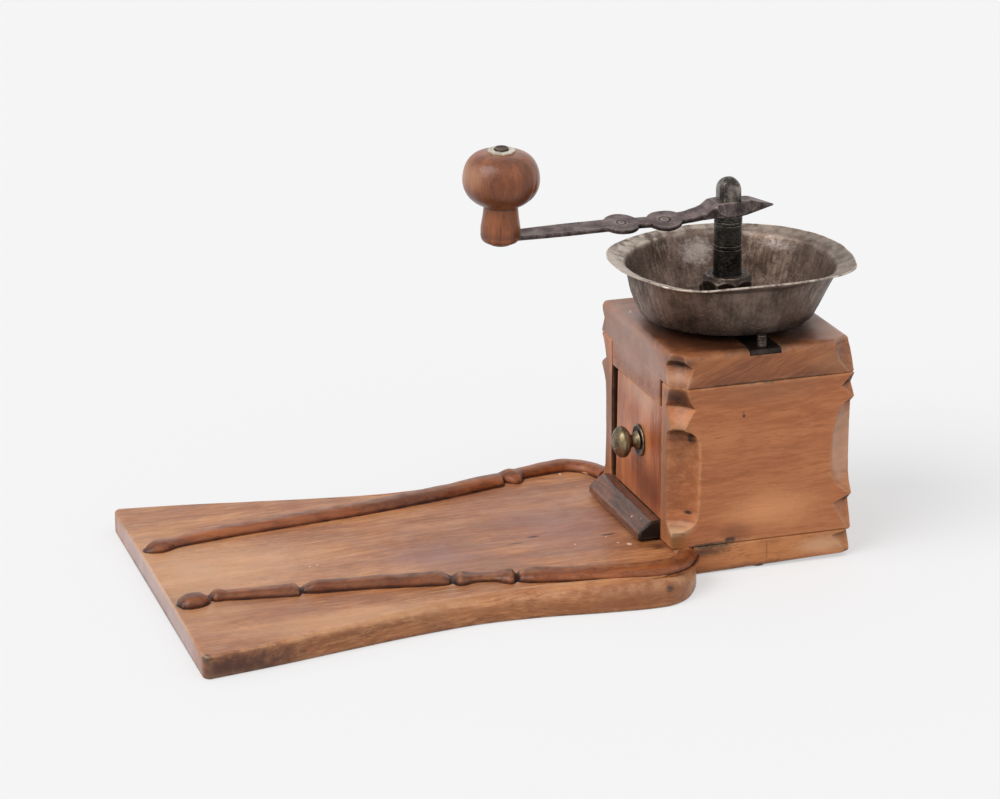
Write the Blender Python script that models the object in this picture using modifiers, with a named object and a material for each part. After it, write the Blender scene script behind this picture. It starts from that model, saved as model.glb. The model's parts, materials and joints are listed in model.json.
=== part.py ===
"""A manual coffee grinder with a seat board, as separate solids.

The user sits on the long board, so that the box stays put while the crank is turned. Beans go
in at the iron hopper, fall past the bearing into the burrs in the head block, and come out as
grounds in the drawer. Lengths are in metres. The origin is on the crank's axis at table level,
+Z is up, and the board reaches towards -X.
"""

import math

import bmesh
import bpy
from mathutils import Matrix, Vector

# Fits between pieces
FIT_GAP = 0.0003
CUT_OVERRUN = 0.004
UNION_OVERLAP = 0.002

# Box that holds the mill and the drawer
BODY_LENGTH = 0.112
BODY_WIDTH = 0.1224
BASE_LIFT = 0.0015
BASE_THICKNESS = 0.0155
CARCASS_HEIGHT = 0.096
SIDE_THICKNESS = 0.0195
BACK_THICKNESS = 0.014
HEAD_THICKNESS = 0.020
ARRIS = 0.0006

# Rail that hangs from the head block over the drawer
RAIL_DEPTH = 0.018
RAIL_DROP = 0.0155
RAIL_NEAR_SLIT = 0.003

# Scoops carved into the upright corners of the box
NEAR_FRONT_SIDE_REACH = 0.017
NEAR_FRONT_END_REACH = 0.0055
FAR_FRONT_SIDE_REACH = 0.014
FAR_FRONT_END_REACH = 0.010
BACK_SIDE_REACH = 0.014
BACK_END_REACH = 0.0065
SCOOP_END_ROUND = 0.008
SCOOP_RELIEF = 0.001
SCOOP_CENTRE_SHARE = 0.3
SMALL_SCOOP_SHARE = 0.72
FRONT_SCOOP_SHARES = ((0.039, 0.726, False), (0.737, 0.882, True), (0.882, 0.990, True))
BACK_SCOOP_SHARES = ((0.010, 0.216, True), (0.247, 0.830, False), (0.865, 0.995, True))
HEAD_FRONT_SCOOP_SHARES = (0.02, 0.95)
HEAD_BACK_SCOOP_SHARES = (0.12, 0.97)
BASE_SCOOP_SHARES = (0.16, 0.97)

# Seat board
BOARD_REACH = 0.2900
BOARD_OVERLAP = 0.013
BOARD_TIP_THICKNESS = 0.0133
BOARD_ROOT_THICKNESS = 0.017
BOARD_END_HALF_WIDTH = 0.1205
BOARD_WAIST_HALF_WIDTH = 0.093
BOARD_SHOULDER_HALF_WIDTH = 0.102
BOARD_ARRIS = 0.0015
BOARD_CORNER_RADIUS = 0.0035
WAIST_SHARE = 0.584
SHOULDER_SHARE = 0.914
FLARE_SHARES = ((0.23, 0.77), (0.50, 0.44), (0.76, 0.15))
RISE_SHARES = ((0.34, 0.18), (0.70, 0.72))
SHOULDER_TURN_SHARES = ((0.29, 0.975), (0.55, 0.84), (0.76, 0.61), (0.91, 0.36), (0.99, 0.12))
OUTLINE_STEPS = 2

# Raised beads carved on the board
BEAD_RADIUS = 0.0075
BEAD_SINK = 0.0033
BEAD_STEPS = 3
NEAR_BEAD_SHARES = (
    (0.044, 0.359, 1.05), (0.060, 0.345, 0.95), (0.080, 0.333, 0.62), (0.150, 0.372, 0.72),
    (0.238, 0.420, 0.86), (0.400, 0.513, 0.92), (0.543, 0.638, 0.98), (0.671, 0.733, 1.0),
    (0.844, 0.813, 1.0), (0.931, 0.842, 1.0), (0.979, 0.846, 1.0), (1.007, 0.836, 0.95),
    (1.021, 0.815, 0.85),
)
FAR_BEAD_SHARES = (
    (0.014, 0.3625, 0.50), (0.035, 0.385, 0.84), (0.0575, 0.408, 0.95), (0.172, 0.4955, 0.92),
    (0.335, 0.598, 0.88), (0.508, 0.710, 0.92), (0.688, 0.809, 0.96), (0.813, 0.862, 1.0),
    (0.879, 0.896, 1.0), (0.951, 0.931, 1.0), (0.993, 0.941, 1.0), (1.012, 0.915, 0.95),
    (1.021, 0.865, 0.85),
)

# Tongue of the board in the base, and its screws
TONGUE_LENGTH = 0.059
TONGUE_HALF_WIDTH = 0.030
TONGUE_THICKNESS = 0.0078
TONGUE_RISE = 0.005
TONGUE_SCREW_SETBACK = 0.023
TONGUE_SCREW_SPREAD = 0.016
TONGUE_SCREW_LENGTH = 0.0095

# Wood screws
SCREW_RADIUS = 0.002
SCREW_HEAD_RADIUS = 0.004
SCREW_HEAD_DEPTH = 0.0022
SCREW_TIP = 0.003
SIDE_SCREW_LENGTH = 0.042
SIDE_SCREW_INSET = 0.018

# Domed studs that the base stands on
FOOT_RADIUS = 0.00475
FOOT_SHANK_RADIUS = 0.0015
FOOT_SHANK_LENGTH = 0.009
FOOT_SINK = 0.0006
FOOT_INSET = 0.0058
FOOT_OFFSET = -0.0013

# Sill in front of the drawer and strips under it
SILL_LENGTH = 0.086
SILL_SHIFT = 0.002
SILL_DEPTH = 0.011
SILL_HEIGHT = 0.011
SILL_TOP_DEPTH = 0.0035
SILL_FRONT_HEIGHT = 0.0045
SILL_SETBACK = 0.002
RUNNER_WIDTH = 0.011

# Drawer
DRAWER_FRONT_THICKNESS = 0.010
DRAWER_NEAR_CLEARANCE = 0.0006
DRAWER_FAR_GAP_TOP = 0.0072
DRAWER_FAR_GAP_BOTTOM = 0.0042
DRAWER_SIDE_THICKNESS = 0.006
DRAWER_SIDE_HEIGHT = 0.044
DRAWER_BOTTOM_THICKNESS = 0.004
DRAWER_BACK_CLEARANCE = 0.004

# Brass knob on the drawer
BRASS_KNOB_HEIGHT = 0.066
BRASS_KNOB_SHIFT = 0.005
ROSE_RADIUS = 0.0096
ROSE_THICKNESS = 0.0012
BRASS_NECK_RADIUS = 0.0038
BRASS_BALL_RADIUS = 0.0095
BRASS_BALL_THICKNESS = 0.0095
BRASS_REACH = 0.016
BRASS_SHANK_RADIUS = 0.002
BRASS_SWEEP_SHARE = 0.86
BRASS_FOOT_SHARE = 1.4

# Iron plate let into the head block, with its studs
PLATE_HALF_WIDTH = 0.0094
PLATE_THICKNESS = 0.003
PLATE_INSET = 0.0004
PLATE_RING_MARGIN = 0.0015
PLATE_STUD_RADIUS = 0.0023
PLATE_STUD_INSET = 0.0068
PLATE_STUD_RISE = 0.0065
PLATE_STUD_DEPTH = 0.030

# Burrs, whose width follows from the opening between the side panels
HOUSING_OPENING_SHARE = 0.6955
FLANGE_HOUSING_SHARE = 1.19
THROAT_HOUSING_SHARE = 0.862
BURR_WAIST_SHARE = 0.816
CONE_TOP_SHARE = 0.46
SHAFT_FOOT_SHARE = 0.24
HOUSING_DEPTH = 0.034
BURR_TOOTH = 0.0008
BURR_RUNNING_GAP = 0.0007
BURR_TEETH = 8
BURR_TWIST = math.radians(40)
CONE_HEIGHT = 0.026
CONE_RISE = 0.0005

# Hopper
HOPPER_LIFT = 0.0075
HOPPER_FLOOR_RADIUS = 0.0465
HOPPER_WALL_FOOT_RADIUS = 0.0512
HOPPER_WALL_FOOT_RISE = 0.0050
HOPPER_MOUTH_RADIUS = 0.0635
HOPPER_MOUTH_RISE = 0.0275
HOPPER_RIM_RADIUS = 0.0713
HOPPER_RIM_RISE = 0.0305
HOPPER_WALL = 0.0009

# Bearing in the hopper
BEARING_CORNER_RADIUS = 0.0156
BEARING_HEIGHT = 0.0191
BEARING_CHAMFER = 0.0020
BEARING_SIDES = 8
BRIDGE_HALF_WIDTH = 0.005
BRIDGE_THICKNESS = 0.004
BRIDGE_END_MARGIN = 0.0037
BRIDGE_SCREW_RADIUS = 0.0016
BRIDGE_SCREW_HEAD_RADIUS = 0.003
BRIDGE_SCREW_HEAD_HEIGHT = 0.0016

# Strap under the burrs
STRAP_HALF_WIDTH = 0.007
STRAP_THICKNESS = 0.003
STRAP_CLEARANCE = 0.008
STRAP_SIDE_GAP = 0.0009
STRAP_SCREW_LENGTH = 0.014

# Adjusting screw
ADJUSTER_RADIUS = 0.004
ADJUSTER_WING_RADIUS = 0.010
ADJUSTER_WING_HEIGHT = 0.005
ADJUSTER_WING_THICKNESS = 0.003
ADJUSTER_TAIL = 0.009
ADJUSTER_STANDOUT = 0.001

# Shaft
SHAFT_RADIUS = 0.0083
SHAFT_TOP_RADIUS = 0.0075
SHAFT_FLAT = 0.0064
SHAFT_BEARING_GAP = 0.0005
SHAFT_TOP_RISE = 0.0219
SHAFT_ARRIS = 0.0006

# Crank
CRANK_SEAT_HEIGHT = 0.0640
ARM_LENGTH = 0.1391
ARM_END_HALF_WIDTH = 0.0062
ARM_HALF_WIDTH = 0.0056
ARM_NECK_HALF_WIDTH = 0.0049
ARM_THICKNESS = 0.0028
ARM_EDGE = 0.0006
ARM_ROLL = math.radians(12)
DISC_RADIUS = 0.0107
DISC_SHARES = (0.476, 0.284)
DISC_STATIONS = 5
HEAD_HALF_WIDTH = 0.0118
HEAD_HEIGHT = 0.0084
BEAK_LENGTH = 0.0279
BEAK_TIP_HALF_WIDTH = 0.0008
BEAK_CHAMFER = 0.0045
INNER_DISC_DROP = 0.0027
OUTER_DISC_DROP = 0.0020
KNOB_END_DROP = 0.0029

ARM_STATION_SHARES = (0.86, 0.70, 0.60, 0.38)
HEAD_STATION_SHARES = (2.2, 1.9, 1.6, 1.3, 1.0, 0.75, 0.5, 0.25, 0.0)
BEAK_STATION_SHARES = (0.15, 0.30, 0.45, 0.60, 0.75, 0.88, 1.0)
EYE_SPREAD_SHARES = ((-2.2, 0.0), (-1.6, 0.10), (-1.0, 0.55), (-0.5, 0.95), (0.0, 1.0))
HEAD_RISE_SHARES = ((-2.2, 0.0), (-1.3, 0.30), (-0.75, 0.92), (-0.4, 1.0), (0.0, 1.0))
HEAD_CHAMFER_SHARES = ((-1.0, 0.0), (0.2, 1.0), (1.0, 1.0))
BEAK_WIDTH_SHARES = ((0.0, 1.0), (0.3, 0.82), (0.6, 0.48), (0.88, 0.16), (1.0, 0.0))
BEAK_TOP_SHARES = ((0.0, 1.0), (0.45, 0.98), (1.0, 0.40))
BEAK_CURL_SHARE = 0.28
CHAMFER_ACROSS_SHARE = 0.45
CHAMFER_DOWN_SHARE = 0.7

# Wooden knob and its spindle
KNOB_LEAN = math.radians(3)
KNOB_BALL_RADIUS = 0.0220
KNOB_BALL_HEIGHT = 0.0325
KNOB_NECK_TOP_RADIUS = 0.0099
KNOB_NECK_BOTTOM_RADIUS = 0.01145
KNOB_NECK_HEIGHT = 0.0163
KNOB_FOOT_RADIUS = 0.0085
KNOB_FOOT_ROUND = 0.002
SPINDLE_RADIUS = 0.003
SPINDLE_HEAD_RADIUS = 0.0074
SPINDLE_HEAD_HEIGHT = 0.0024
SPINDLE_ROUND_SHARE = 0.7
BALL_START_SHARE = 0.10
BALL_STOP_SHARE = 0.86
BALL_FULLNESS_SHARE = 0.85
RIVET_RADIUS = 0.0042
RIVET_HEIGHT = 0.0016
WASHER_RADIUS = 0.0080
WASHER_THICKNESS = 0.0010

# Steps round a circle or along a curve
ROUND_STEPS = 28
FINE_STEPS = 40
HOPPER_STEPS = 42
SCOOP_STEPS = 60
SCOOP_END_STEPS = 4
CORNER_STEPS = 3
SCREW_SIDES = 12
FOOT_SIDES = 14
FOOT_STEPS = 3
SPINDLE_SIDES = 16
BURR_STEPS = 4
DOME_STEPS = 6
BALL_STEPS = 10
BRASS_STEPS = 6
END_STEPS = 3
MERGE = 0.00001

# Levels and faces that follow from the sizes
FRONT_X = -BODY_LENGTH / 2
BACK_X = BODY_LENGTH / 2
HALF_WIDTH = BODY_WIDTH / 2
OPENING_HALF = HALF_WIDTH - SIDE_THICKNESS
HOUSING_RADIUS = OPENING_HALF * HOUSING_OPENING_SHARE
HOUSING_FLANGE_RADIUS = HOUSING_RADIUS * FLANGE_HOUSING_SHARE
THROAT_RADIUS = HOUSING_RADIUS * THROAT_HOUSING_SHARE
BURR_WAIST_RADIUS = THROAT_RADIUS * BURR_WAIST_SHARE
CONE_TOP_RADIUS = THROAT_RADIUS * CONE_TOP_SHARE
SHAFT_LOWER_RADIUS = THROAT_RADIUS * SHAFT_FOOT_SHARE
PLATE_RING_RADIUS = HOUSING_FLANGE_RADIUS + PLATE_RING_MARGIN
BASE_TOP = BASE_LIFT + BASE_THICKNESS
CARCASS_BOTTOM = BASE_TOP + FIT_GAP
CARCASS_TOP = CARCASS_BOTTOM + CARCASS_HEIGHT
HEAD_BOTTOM = CARCASS_TOP + FIT_GAP
HEAD_TOP = HEAD_BOTTOM + HEAD_THICKNESS
RAIL_BOTTOM = HEAD_BOTTOM - RAIL_DROP
BOARD_END_X = FRONT_X + BOARD_OVERLAP
BOARD_TIP_X = FRONT_X - BOARD_REACH
RUNNER_TOP = CARCASS_BOTTOM + SILL_HEIGHT
PLATE_TOP = HEAD_TOP - PLATE_INSET
PLATE_BOTTOM = PLATE_TOP - PLATE_THICKNESS
HOPPER_BOTTOM = HEAD_TOP + HOPPER_LIFT
HOPPER_FLOOR = HOPPER_BOTTOM + HOPPER_WALL
FLANGE_BOTTOM = PLATE_TOP + FIT_GAP
FLANGE_TOP = HOPPER_BOTTOM - FIT_GAP
HOUSING_BOTTOM = FLANGE_BOTTOM - HOUSING_DEPTH
BRIDGE_BOTTOM = HOPPER_FLOOR + FIT_GAP
BRIDGE_TOP = BRIDGE_BOTTOM + BRIDGE_THICKNESS
BRIDGE_SCREW_OFFSET = (THROAT_RADIUS + HOUSING_FLANGE_RADIUS) / 2
BRIDGE_REACH = BRIDGE_SCREW_OFFSET + BRIDGE_END_MARGIN
CRANK_SEAT = HEAD_TOP + CRANK_SEAT_HEIGHT
STRAP_TOP = HOUSING_BOTTOM - STRAP_CLEARANCE
STRAP_BOTTOM = STRAP_TOP - STRAP_THICKNESS
STRAP_INNER = HOUSING_RADIUS + STRAP_SIDE_GAP
STRAP_OUTER = STRAP_INNER + STRAP_THICKNESS
STRAP_END = OPENING_HALF - FIT_GAP * 2
STRAP_SCREW_OFFSET = (STRAP_OUTER + STRAP_END) / 2
STRAP_SCREW_HEAD_RADIUS = (STRAP_END - STRAP_OUTER) / 2 - FIT_GAP
ADJUSTER_TOP = STRAP_TOP + ADJUSTER_STANDOUT
SHAFT_BOTTOM = ADJUSTER_TOP + FIT_GAP
CONE_BOTTOM = HOUSING_BOTTOM + CONE_RISE
CONE_TOP = CONE_BOTTOM + CONE_HEIGHT
KNOB_SEAT = CRANK_SEAT + ARM_THICKNESS - KNOB_END_DROP
CORNERS = (("near", "front"), ("near", "back"), ("far", "front"), ("far", "back"))


def clear_scene():
    """Remove what the startup file left in the scene."""
    for obj in list(bpy.data.objects):
        bpy.data.objects.remove(obj, do_unlink=True)


def new_collection(name, hidden):
    """Add a collection to the scene."""
    collection = bpy.data.collections.new(name)
    collection.hide_render = hidden
    bpy.context.scene.collection.children.link(collection)
    return collection


def new_finish(name, colour, roughness, metallic):
    """Make a Principled material."""
    finish = bpy.data.materials.new(name)
    finish.use_nodes = True
    shader = finish.node_tree.nodes["Principled BSDF"]
    shader.inputs["Base Color"].default_value = (*colour, 1.0)
    shader.inputs["Roughness"].default_value = roughness
    shader.inputs["Metallic"].default_value = metallic
    finish.diffuse_color = (*colour, 1.0)
    return finish


clear_scene()
PARTS = new_collection("manual_coffee_grinder", False)
CUTTERS = new_collection("cutters", True)

BODY_WOOD = new_finish("body_wood", (0.36, 0.16, 0.07), 0.5, 0.0)
BOARD_WOOD = new_finish("board_wood", (0.30, 0.13, 0.06), 0.5, 0.0)
DRAWER_WOOD = new_finish("drawer_wood", (0.33, 0.11, 0.05), 0.5, 0.0)
KNOB_WOOD = new_finish("knob_wood", (0.30, 0.11, 0.05), 0.4, 0.0)
PLAIN_WOOD = new_finish("plain_wood", (0.42, 0.26, 0.13), 0.7, 0.0)
DARK_WOOD = new_finish("dark_wood", (0.05, 0.035, 0.03), 0.5, 0.0)
TINNED_IRON = new_finish("tinned_iron", (0.20, 0.18, 0.16), 0.45, 0.9)
FORGED_IRON = new_finish("forged_iron", (0.10, 0.085, 0.08), 0.5, 0.8)
BLACK_IRON = new_finish("black_iron", (0.02, 0.02, 0.02), 0.45, 0.7)
SCREW_STEEL = new_finish("screw_steel", (0.25, 0.24, 0.22), 0.4, 0.9)
OLD_BRASS = new_finish("old_brass", (0.33, 0.26, 0.14), 0.35, 0.9)


def place(obj, finish, parent=None, collection=PARTS):
    """Link an object, give it its finish and hang it on its parent."""
    collection.objects.link(obj)
    obj.parent = parent
    if finish is not None:
        obj.data.materials.append(finish)
    if collection is CUTTERS:
        obj.hide_render = True
        obj.display_type = "WIRE"
    return obj


def object_from(name, bm, finish, parent=None, collection=PARTS):
    """Turn a bmesh into an object with smooth round faces and sharp edges."""
    mesh = bpy.data.meshes.new(name)
    bm.to_mesh(mesh)
    bm.free()
    mesh.shade_smooth()
    mesh.set_sharp_from_angle(angle=math.radians(35))
    return place(bpy.data.objects.new(name, mesh), finish, parent, collection)


def block(name, low, high, finish=None, parent=None, collection=PARTS, arris=0.0):
    """A box between two corners, its edges softened by arris."""
    low, high = Vector(low), Vector(high)
    size = Matrix.Diagonal((*(high - low), 1))
    bm = bmesh.new()
    bmesh.ops.create_cube(bm, size=1, matrix=Matrix.Translation((low + high) / 2) @ size)
    obj = object_from(name, bm, finish, parent, collection)
    if arris > 0:
        soften(obj, arris, 1)
    return obj


def soften(obj, width, segments):
    """Round the sharp edges of an object."""
    bevel = obj.modifiers.new("arris", "BEVEL")
    bevel.width = width
    bevel.segments = segments
    bevel.limit_method = "ANGLE"
    bevel.angle_limit = math.radians(40)


def cylinder(name, radius, low, high, centre=(0, 0), finish=None, parent=None,
             collection=PARTS, sides=ROUND_STEPS):
    """An upright cylinder or prism between two levels."""
    bm = bmesh.new()
    middle = Matrix.Translation((*centre, (low + high) / 2))
    bmesh.ops.create_cone(bm, cap_ends=True, segments=sides, radius1=radius, radius2=radius,
                          depth=high - low, matrix=middle)
    return object_from(name, bm, finish, parent, collection)


def turned(name, outline, finish=None, parent=None, collection=PARTS, at=(0, 0, 0),
           closed=False, steps=ROUND_STEPS):
    """Turn an outline of (radius, height) points, listed down the outside, about Z."""
    bm = bmesh.new()
    rim = [bm.verts.new((radius, 0, height)) for radius, height in outline]
    for first, second in zip(rim, rim[1:]):
        bm.edges.new((first, second))
    if closed:
        bm.edges.new((rim[-1], rim[0]))
    obj = object_from(name, bm, finish, parent, collection)
    obj.location = at
    screw = obj.modifiers.new("turn", "SCREW")
    screw.steps = steps
    screw.render_steps = steps
    screw.use_merge_vertices = True
    screw.merge_threshold = MERGE
    screw.use_smooth_shade = True
    return obj


def ring_outline(inner, outer, low, high):
    """The section of a plain ring."""
    return [(inner, high), (outer, high), (outer, low), (inner, low)]


def flat_shape(name, points, thickness, finish=None, parent=None, collection=PARTS):
    """A flat outline given thickness on both sides of its plane, made a mesh."""
    curve = bpy.data.curves.new(name, "CURVE")
    curve.dimensions = "2D"
    curve.fill_mode = "BOTH"
    curve.extrude = thickness / 2
    spline = curve.splines.new("POLY")
    spline.points.add(len(points) - 1)
    for point, (across, along) in zip(spline.points, points):
        point.co = (across, along, 0, 1)
    spline.use_cyclic_u = True
    return mesh_of_curve(name, curve, finish, parent, collection)


def mesh_of_curve(name, curve, finish, parent, collection):
    """Replace a curve by its welded mesh."""
    guide = bpy.data.objects.new(name + "_guide", curve)
    CUTTERS.objects.link(guide)
    bpy.context.view_layer.update()
    graph = bpy.context.evaluated_depsgraph_get()
    mesh = bpy.data.meshes.new_from_object(guide.evaluated_get(graph))
    bpy.data.objects.remove(guide, do_unlink=True)
    bm = bmesh.new()
    bm.from_mesh(mesh)
    bpy.data.meshes.remove(mesh)
    bmesh.ops.remove_doubles(bm, verts=bm.verts, dist=MERGE)
    bmesh.ops.recalc_face_normals(bm, faces=bm.faces)
    return object_from(name, bm, finish, parent, collection)


def loft(name, rings, finish=None, parent=None, collection=PARTS, closed=False):
    """Join rings of points into a skin, capped at both ends or closed on itself."""
    bm = bmesh.new()
    loops = [[bm.verts.new(point) for point in ring] for ring in rings]
    pairs = list(zip(loops, loops[1:]))
    if closed:
        pairs.append((loops[-1], loops[0]))
    else:
        bm.faces.new(loops[0])
        bm.faces.new(list(reversed(loops[-1])))
    for upper, lower in pairs:
        for i, corner in enumerate(upper):
            bm.faces.new((corner, upper[i - 1], lower[i - 1], lower[i]))
    bmesh.ops.recalc_face_normals(bm, faces=bm.faces)
    return object_from(name, bm, finish, parent, collection)


def combine(target, other, operation):
    """Cut another solid from a piece, or join it on."""
    boolean = target.modifiers.new(other.name, "BOOLEAN")
    boolean.operation = operation
    boolean.solver = "EXACT"
    boolean.object = other


def cut(target, cutter):
    """Cut a solid from a piece."""
    combine(target, cutter, "DIFFERENCE")


def join(target, other):
    """Join a solid onto a piece."""
    combine(target, other, "UNION")


def bore(target, name, radius, low, high, centre=(0, 0), sides=ROUND_STEPS):
    """Drill an upright hole between two levels."""
    cut(target, cylinder(name, radius, low, high, centre, collection=CUTTERS, sides=sides))


def pivot(name, location, lean=0.0):
    """An empty on a joint's axis, which its pieces hang on."""
    empty = bpy.data.objects.new(name, None)
    empty.empty_display_size = BODY_LENGTH / 4
    empty.location = location
    empty.rotation_euler = (lean, 0, 0)
    PARTS.objects.link(empty)
    return empty


def smooth_through(points, steps):
    """Points on a Catmull-Rom curve through the given ones, all with as many numbers."""
    points = [Vector(point) for point in points]
    guides = [points[0] * 2 - points[1], *points, points[-1] * 2 - points[-2]]
    found = []
    for before, start, end, after in zip(guides, guides[1:], guides[2:], guides[3:]):
        for step in range(steps):
            t = step / steps
            found.append((start * 2 + (end - before) * t
                          + (before * 2 - start * 5 + end * 4 - after) * t ** 2
                          + (start * 3 - before - end * 3 + after) * t ** 3) / 2)
    return [*found, points[-1]]


def screw_outline(radius, head_radius, head_depth, length, tip):
    """A countersunk screw with its head down, from its tip to its head."""
    return [
        (0, length),
        (radius, length - tip),
        (radius, head_depth),
        (head_radius, 0),
        (0, 0),
    ]


def side_sign(side):
    """-1 on the near side and 1 on the far side."""
    return -1 if side == "near" else 1


def end_sign(end):
    """-1 at the front and 1 at the back."""
    return -1 if end == "front" else 1


def scoop_reaches(side, end, small):
    """How far a corner's scoop reaches along the side face and along the end face."""
    if end == "back":
        reaches = (BACK_SIDE_REACH, BACK_END_REACH)
    elif side == "near":
        reaches = (NEAR_FRONT_SIDE_REACH, NEAR_FRONT_END_REACH)
    else:
        reaches = (FAR_FRONT_SIDE_REACH, FAR_FRONT_END_REACH)
    share = SMALL_SCOOP_SHARE if small else 1
    return reaches[0] * share, reaches[1] * share


def scoop(target, name, side, end, low, high, small):
    """Carve a hollow in an upright corner with a round-ended drum that stands outside it."""
    along, across = scoop_reaches(side, end, small)
    outside_x = along * SCOOP_CENTRE_SHARE
    outside_y = (along ** 2 + 2 * along * outside_x - across ** 2) / (2 * across)
    radius = math.hypot(along + outside_x, outside_y)
    depth = radius - math.hypot(outside_x, outside_y) + SCOOP_RELIEF
    middle, half = (low + high) / 2, (high - low) / 2
    round_length = min(SCOOP_END_ROUND, half)
    outline = []
    for step in range(SCOOP_END_STEPS + 1):
        swing = math.pi / 2 * step / SCOOP_END_STEPS
        outline.append((radius - depth * (1 - math.sin(swing)),
                        half - round_length * (1 - math.cos(swing))))
    below = [(reach, -level) for reach, level in reversed(outline)]
    outline = [(0, half), *outline, *below[1 if round_length == half else 0:], (0, -half)]
    at = (end_sign(end) * (BACK_X + outside_x), side_sign(side) * (HALF_WIDTH + outside_y), middle)
    cut(target, turned(name, outline, collection=CUTTERS, at=at, steps=SCOOP_STEPS))


def carve_corners(target, name, side, ends_and_shares, low, height):
    """Carve a list of scoops, given as shares of a piece's height, at one side's corners."""
    for end, shares in ends_and_shares:
        for number, (start, stop, small) in enumerate(shares):
            scoop(target, f"{name}_{side}_{end}_scoop_{number}", side, end,
                  low + height * start, low + height * stop, small)


def board_half_width(x):
    """Half the board's width at x, from its flared tip past its waist to its shoulders."""
    edge = board_edge_points()
    for (x0, y0), (x1, y1) in zip(edge, edge[1:]):
        if x0 <= x <= x1:
            return y0 + (y1 - y0) * (x - x0) / (x1 - x0)
    return edge[0][1] if x < BOARD_TIP_X else edge[-1][1]


def board_edge_points():
    """The board's edge on its far side, from the tip to where it meets the box."""
    waist_x = BOARD_TIP_X + BOARD_REACH * WAIST_SHARE
    shoulder_x = BOARD_TIP_X + BOARD_REACH * SHOULDER_SHARE
    flare = BOARD_END_HALF_WIDTH - BOARD_WAIST_HALF_WIDTH
    rise = BOARD_SHOULDER_HALF_WIDTH - BOARD_WAIST_HALF_WIDTH
    turn = BOARD_SHOULDER_HALF_WIDTH - HALF_WIDTH
    points = [(BOARD_TIP_X, BOARD_END_HALF_WIDTH)]
    points += [(BOARD_TIP_X + (waist_x - BOARD_TIP_X) * along, BOARD_WAIST_HALF_WIDTH + flare * out)
               for along, out in FLARE_SHARES]
    points.append((waist_x, BOARD_WAIST_HALF_WIDTH))
    points += [(waist_x + (shoulder_x - waist_x) * along, BOARD_WAIST_HALF_WIDTH + rise * out)
               for along, out in RISE_SHARES]
    points.append((shoulder_x, BOARD_SHOULDER_HALF_WIDTH))
    points += [(shoulder_x + (BOARD_END_X - shoulder_x) * along, HALF_WIDTH + turn * out)
               for along, out in SHOULDER_TURN_SHARES]
    points.append((BOARD_END_X, HALF_WIDTH))
    return [tuple(point) for point in smooth_through(points, OUTLINE_STEPS)]


def board_top(x):
    """The level of the board's top at x: it is a wedge, thinnest at the tip."""
    slope = (BOARD_ROOT_THICKNESS - BOARD_TIP_THICKNESS) / (BOARD_END_X - BOARD_TIP_X)
    return BOARD_TIP_THICKNESS + slope * (x - BOARD_TIP_X)


def board_outline():
    """The board's plan, with its two corners at the tip rounded."""
    edge = board_edge_points()
    corner = []
    centre = Vector((BOARD_TIP_X + BOARD_CORNER_RADIUS, BOARD_END_HALF_WIDTH - BOARD_CORNER_RADIUS))
    for step in range(CORNER_STEPS + 1):
        swing = math.pi - math.pi / 2 * step / CORNER_STEPS
        corner.append((centre.x + BOARD_CORNER_RADIUS * math.cos(swing),
                       centre.y + BOARD_CORNER_RADIUS * math.sin(swing)))
    far = corner + [point for point in edge if point[0] > centre.x + BOARD_CORNER_RADIUS]
    near = [(x, -y) for x, y in reversed(far)]
    return far + near


def bead(name, side, shares):
    """A round moulding that stands half out of the board's top."""
    route = []
    for along, out, size in shares:
        x = BOARD_TIP_X + BOARD_REACH * along
        y = side_sign(side) * out * board_half_width(x)
        route.append((x, y, board_top(x) - BEAD_SINK * size, size))
    curve = bpy.data.curves.new(name, "CURVE")
    curve.dimensions = "3D"
    curve.bevel_depth = BEAD_RADIUS
    curve.bevel_resolution = 2
    curve.use_fill_caps = True
    route = smooth_through(route, BEAD_STEPS)
    spline = curve.splines.new("POLY")
    spline.points.add(len(route) - 1)
    for point, (x, y, z, size) in zip(spline.points, route):
        point.co = (x, y, z, 1)
        point.radius = size
    return mesh_of_curve(name, curve, None, None, CUTTERS)


def make_seat_board():
    """The plank that the user sits on, with its beads and its tongue."""
    board = flat_shape("seat_board", board_outline(), BOARD_ROOT_THICKNESS, BOARD_WOOD)
    board.data.transform(Matrix.Translation((0, 0, BOARD_ROOT_THICKNESS / 2)))
    length = BOARD_END_X - BOARD_TIP_X
    wedge = block("board_wedge", (-CUT_OVERRUN, -BOARD_END_HALF_WIDTH - CUT_OVERRUN, 0),
                  (length + CUT_OVERRUN, BOARD_END_HALF_WIDTH + CUT_OVERRUN, BOARD_ROOT_THICKNESS),
                  collection=CUTTERS)
    wedge.location = (BOARD_TIP_X, 0, BOARD_TIP_THICKNESS)
    wedge.rotation_euler = (0, -math.atan2(BOARD_ROOT_THICKNESS - BOARD_TIP_THICKNESS, length), 0)
    cut(board, wedge)
    soften(board, BOARD_ARRIS, 1)
    join(board, bead("near_bead", "near", NEAR_BEAD_SHARES))
    join(board, bead("far_bead", "far", FAR_BEAD_SHARES))
    side = HALF_WIDTH + FIT_GAP
    cut(board, block("bead_end_cutter", (FRONT_X, -side, BOARD_ROOT_THICKNESS),
                     (BOARD_END_X + CUT_OVERRUN, side, HEAD_BOTTOM), collection=CUTTERS))
    join(board, block("tongue", (BOARD_END_X - BOARD_OVERLAP, -TONGUE_HALF_WIDTH, TONGUE_RISE),
                      (BOARD_END_X + TONGUE_LENGTH, TONGUE_HALF_WIDTH, TONGUE_RISE + TONGUE_THICKNESS),
                      collection=CUTTERS))
    return board


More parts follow.
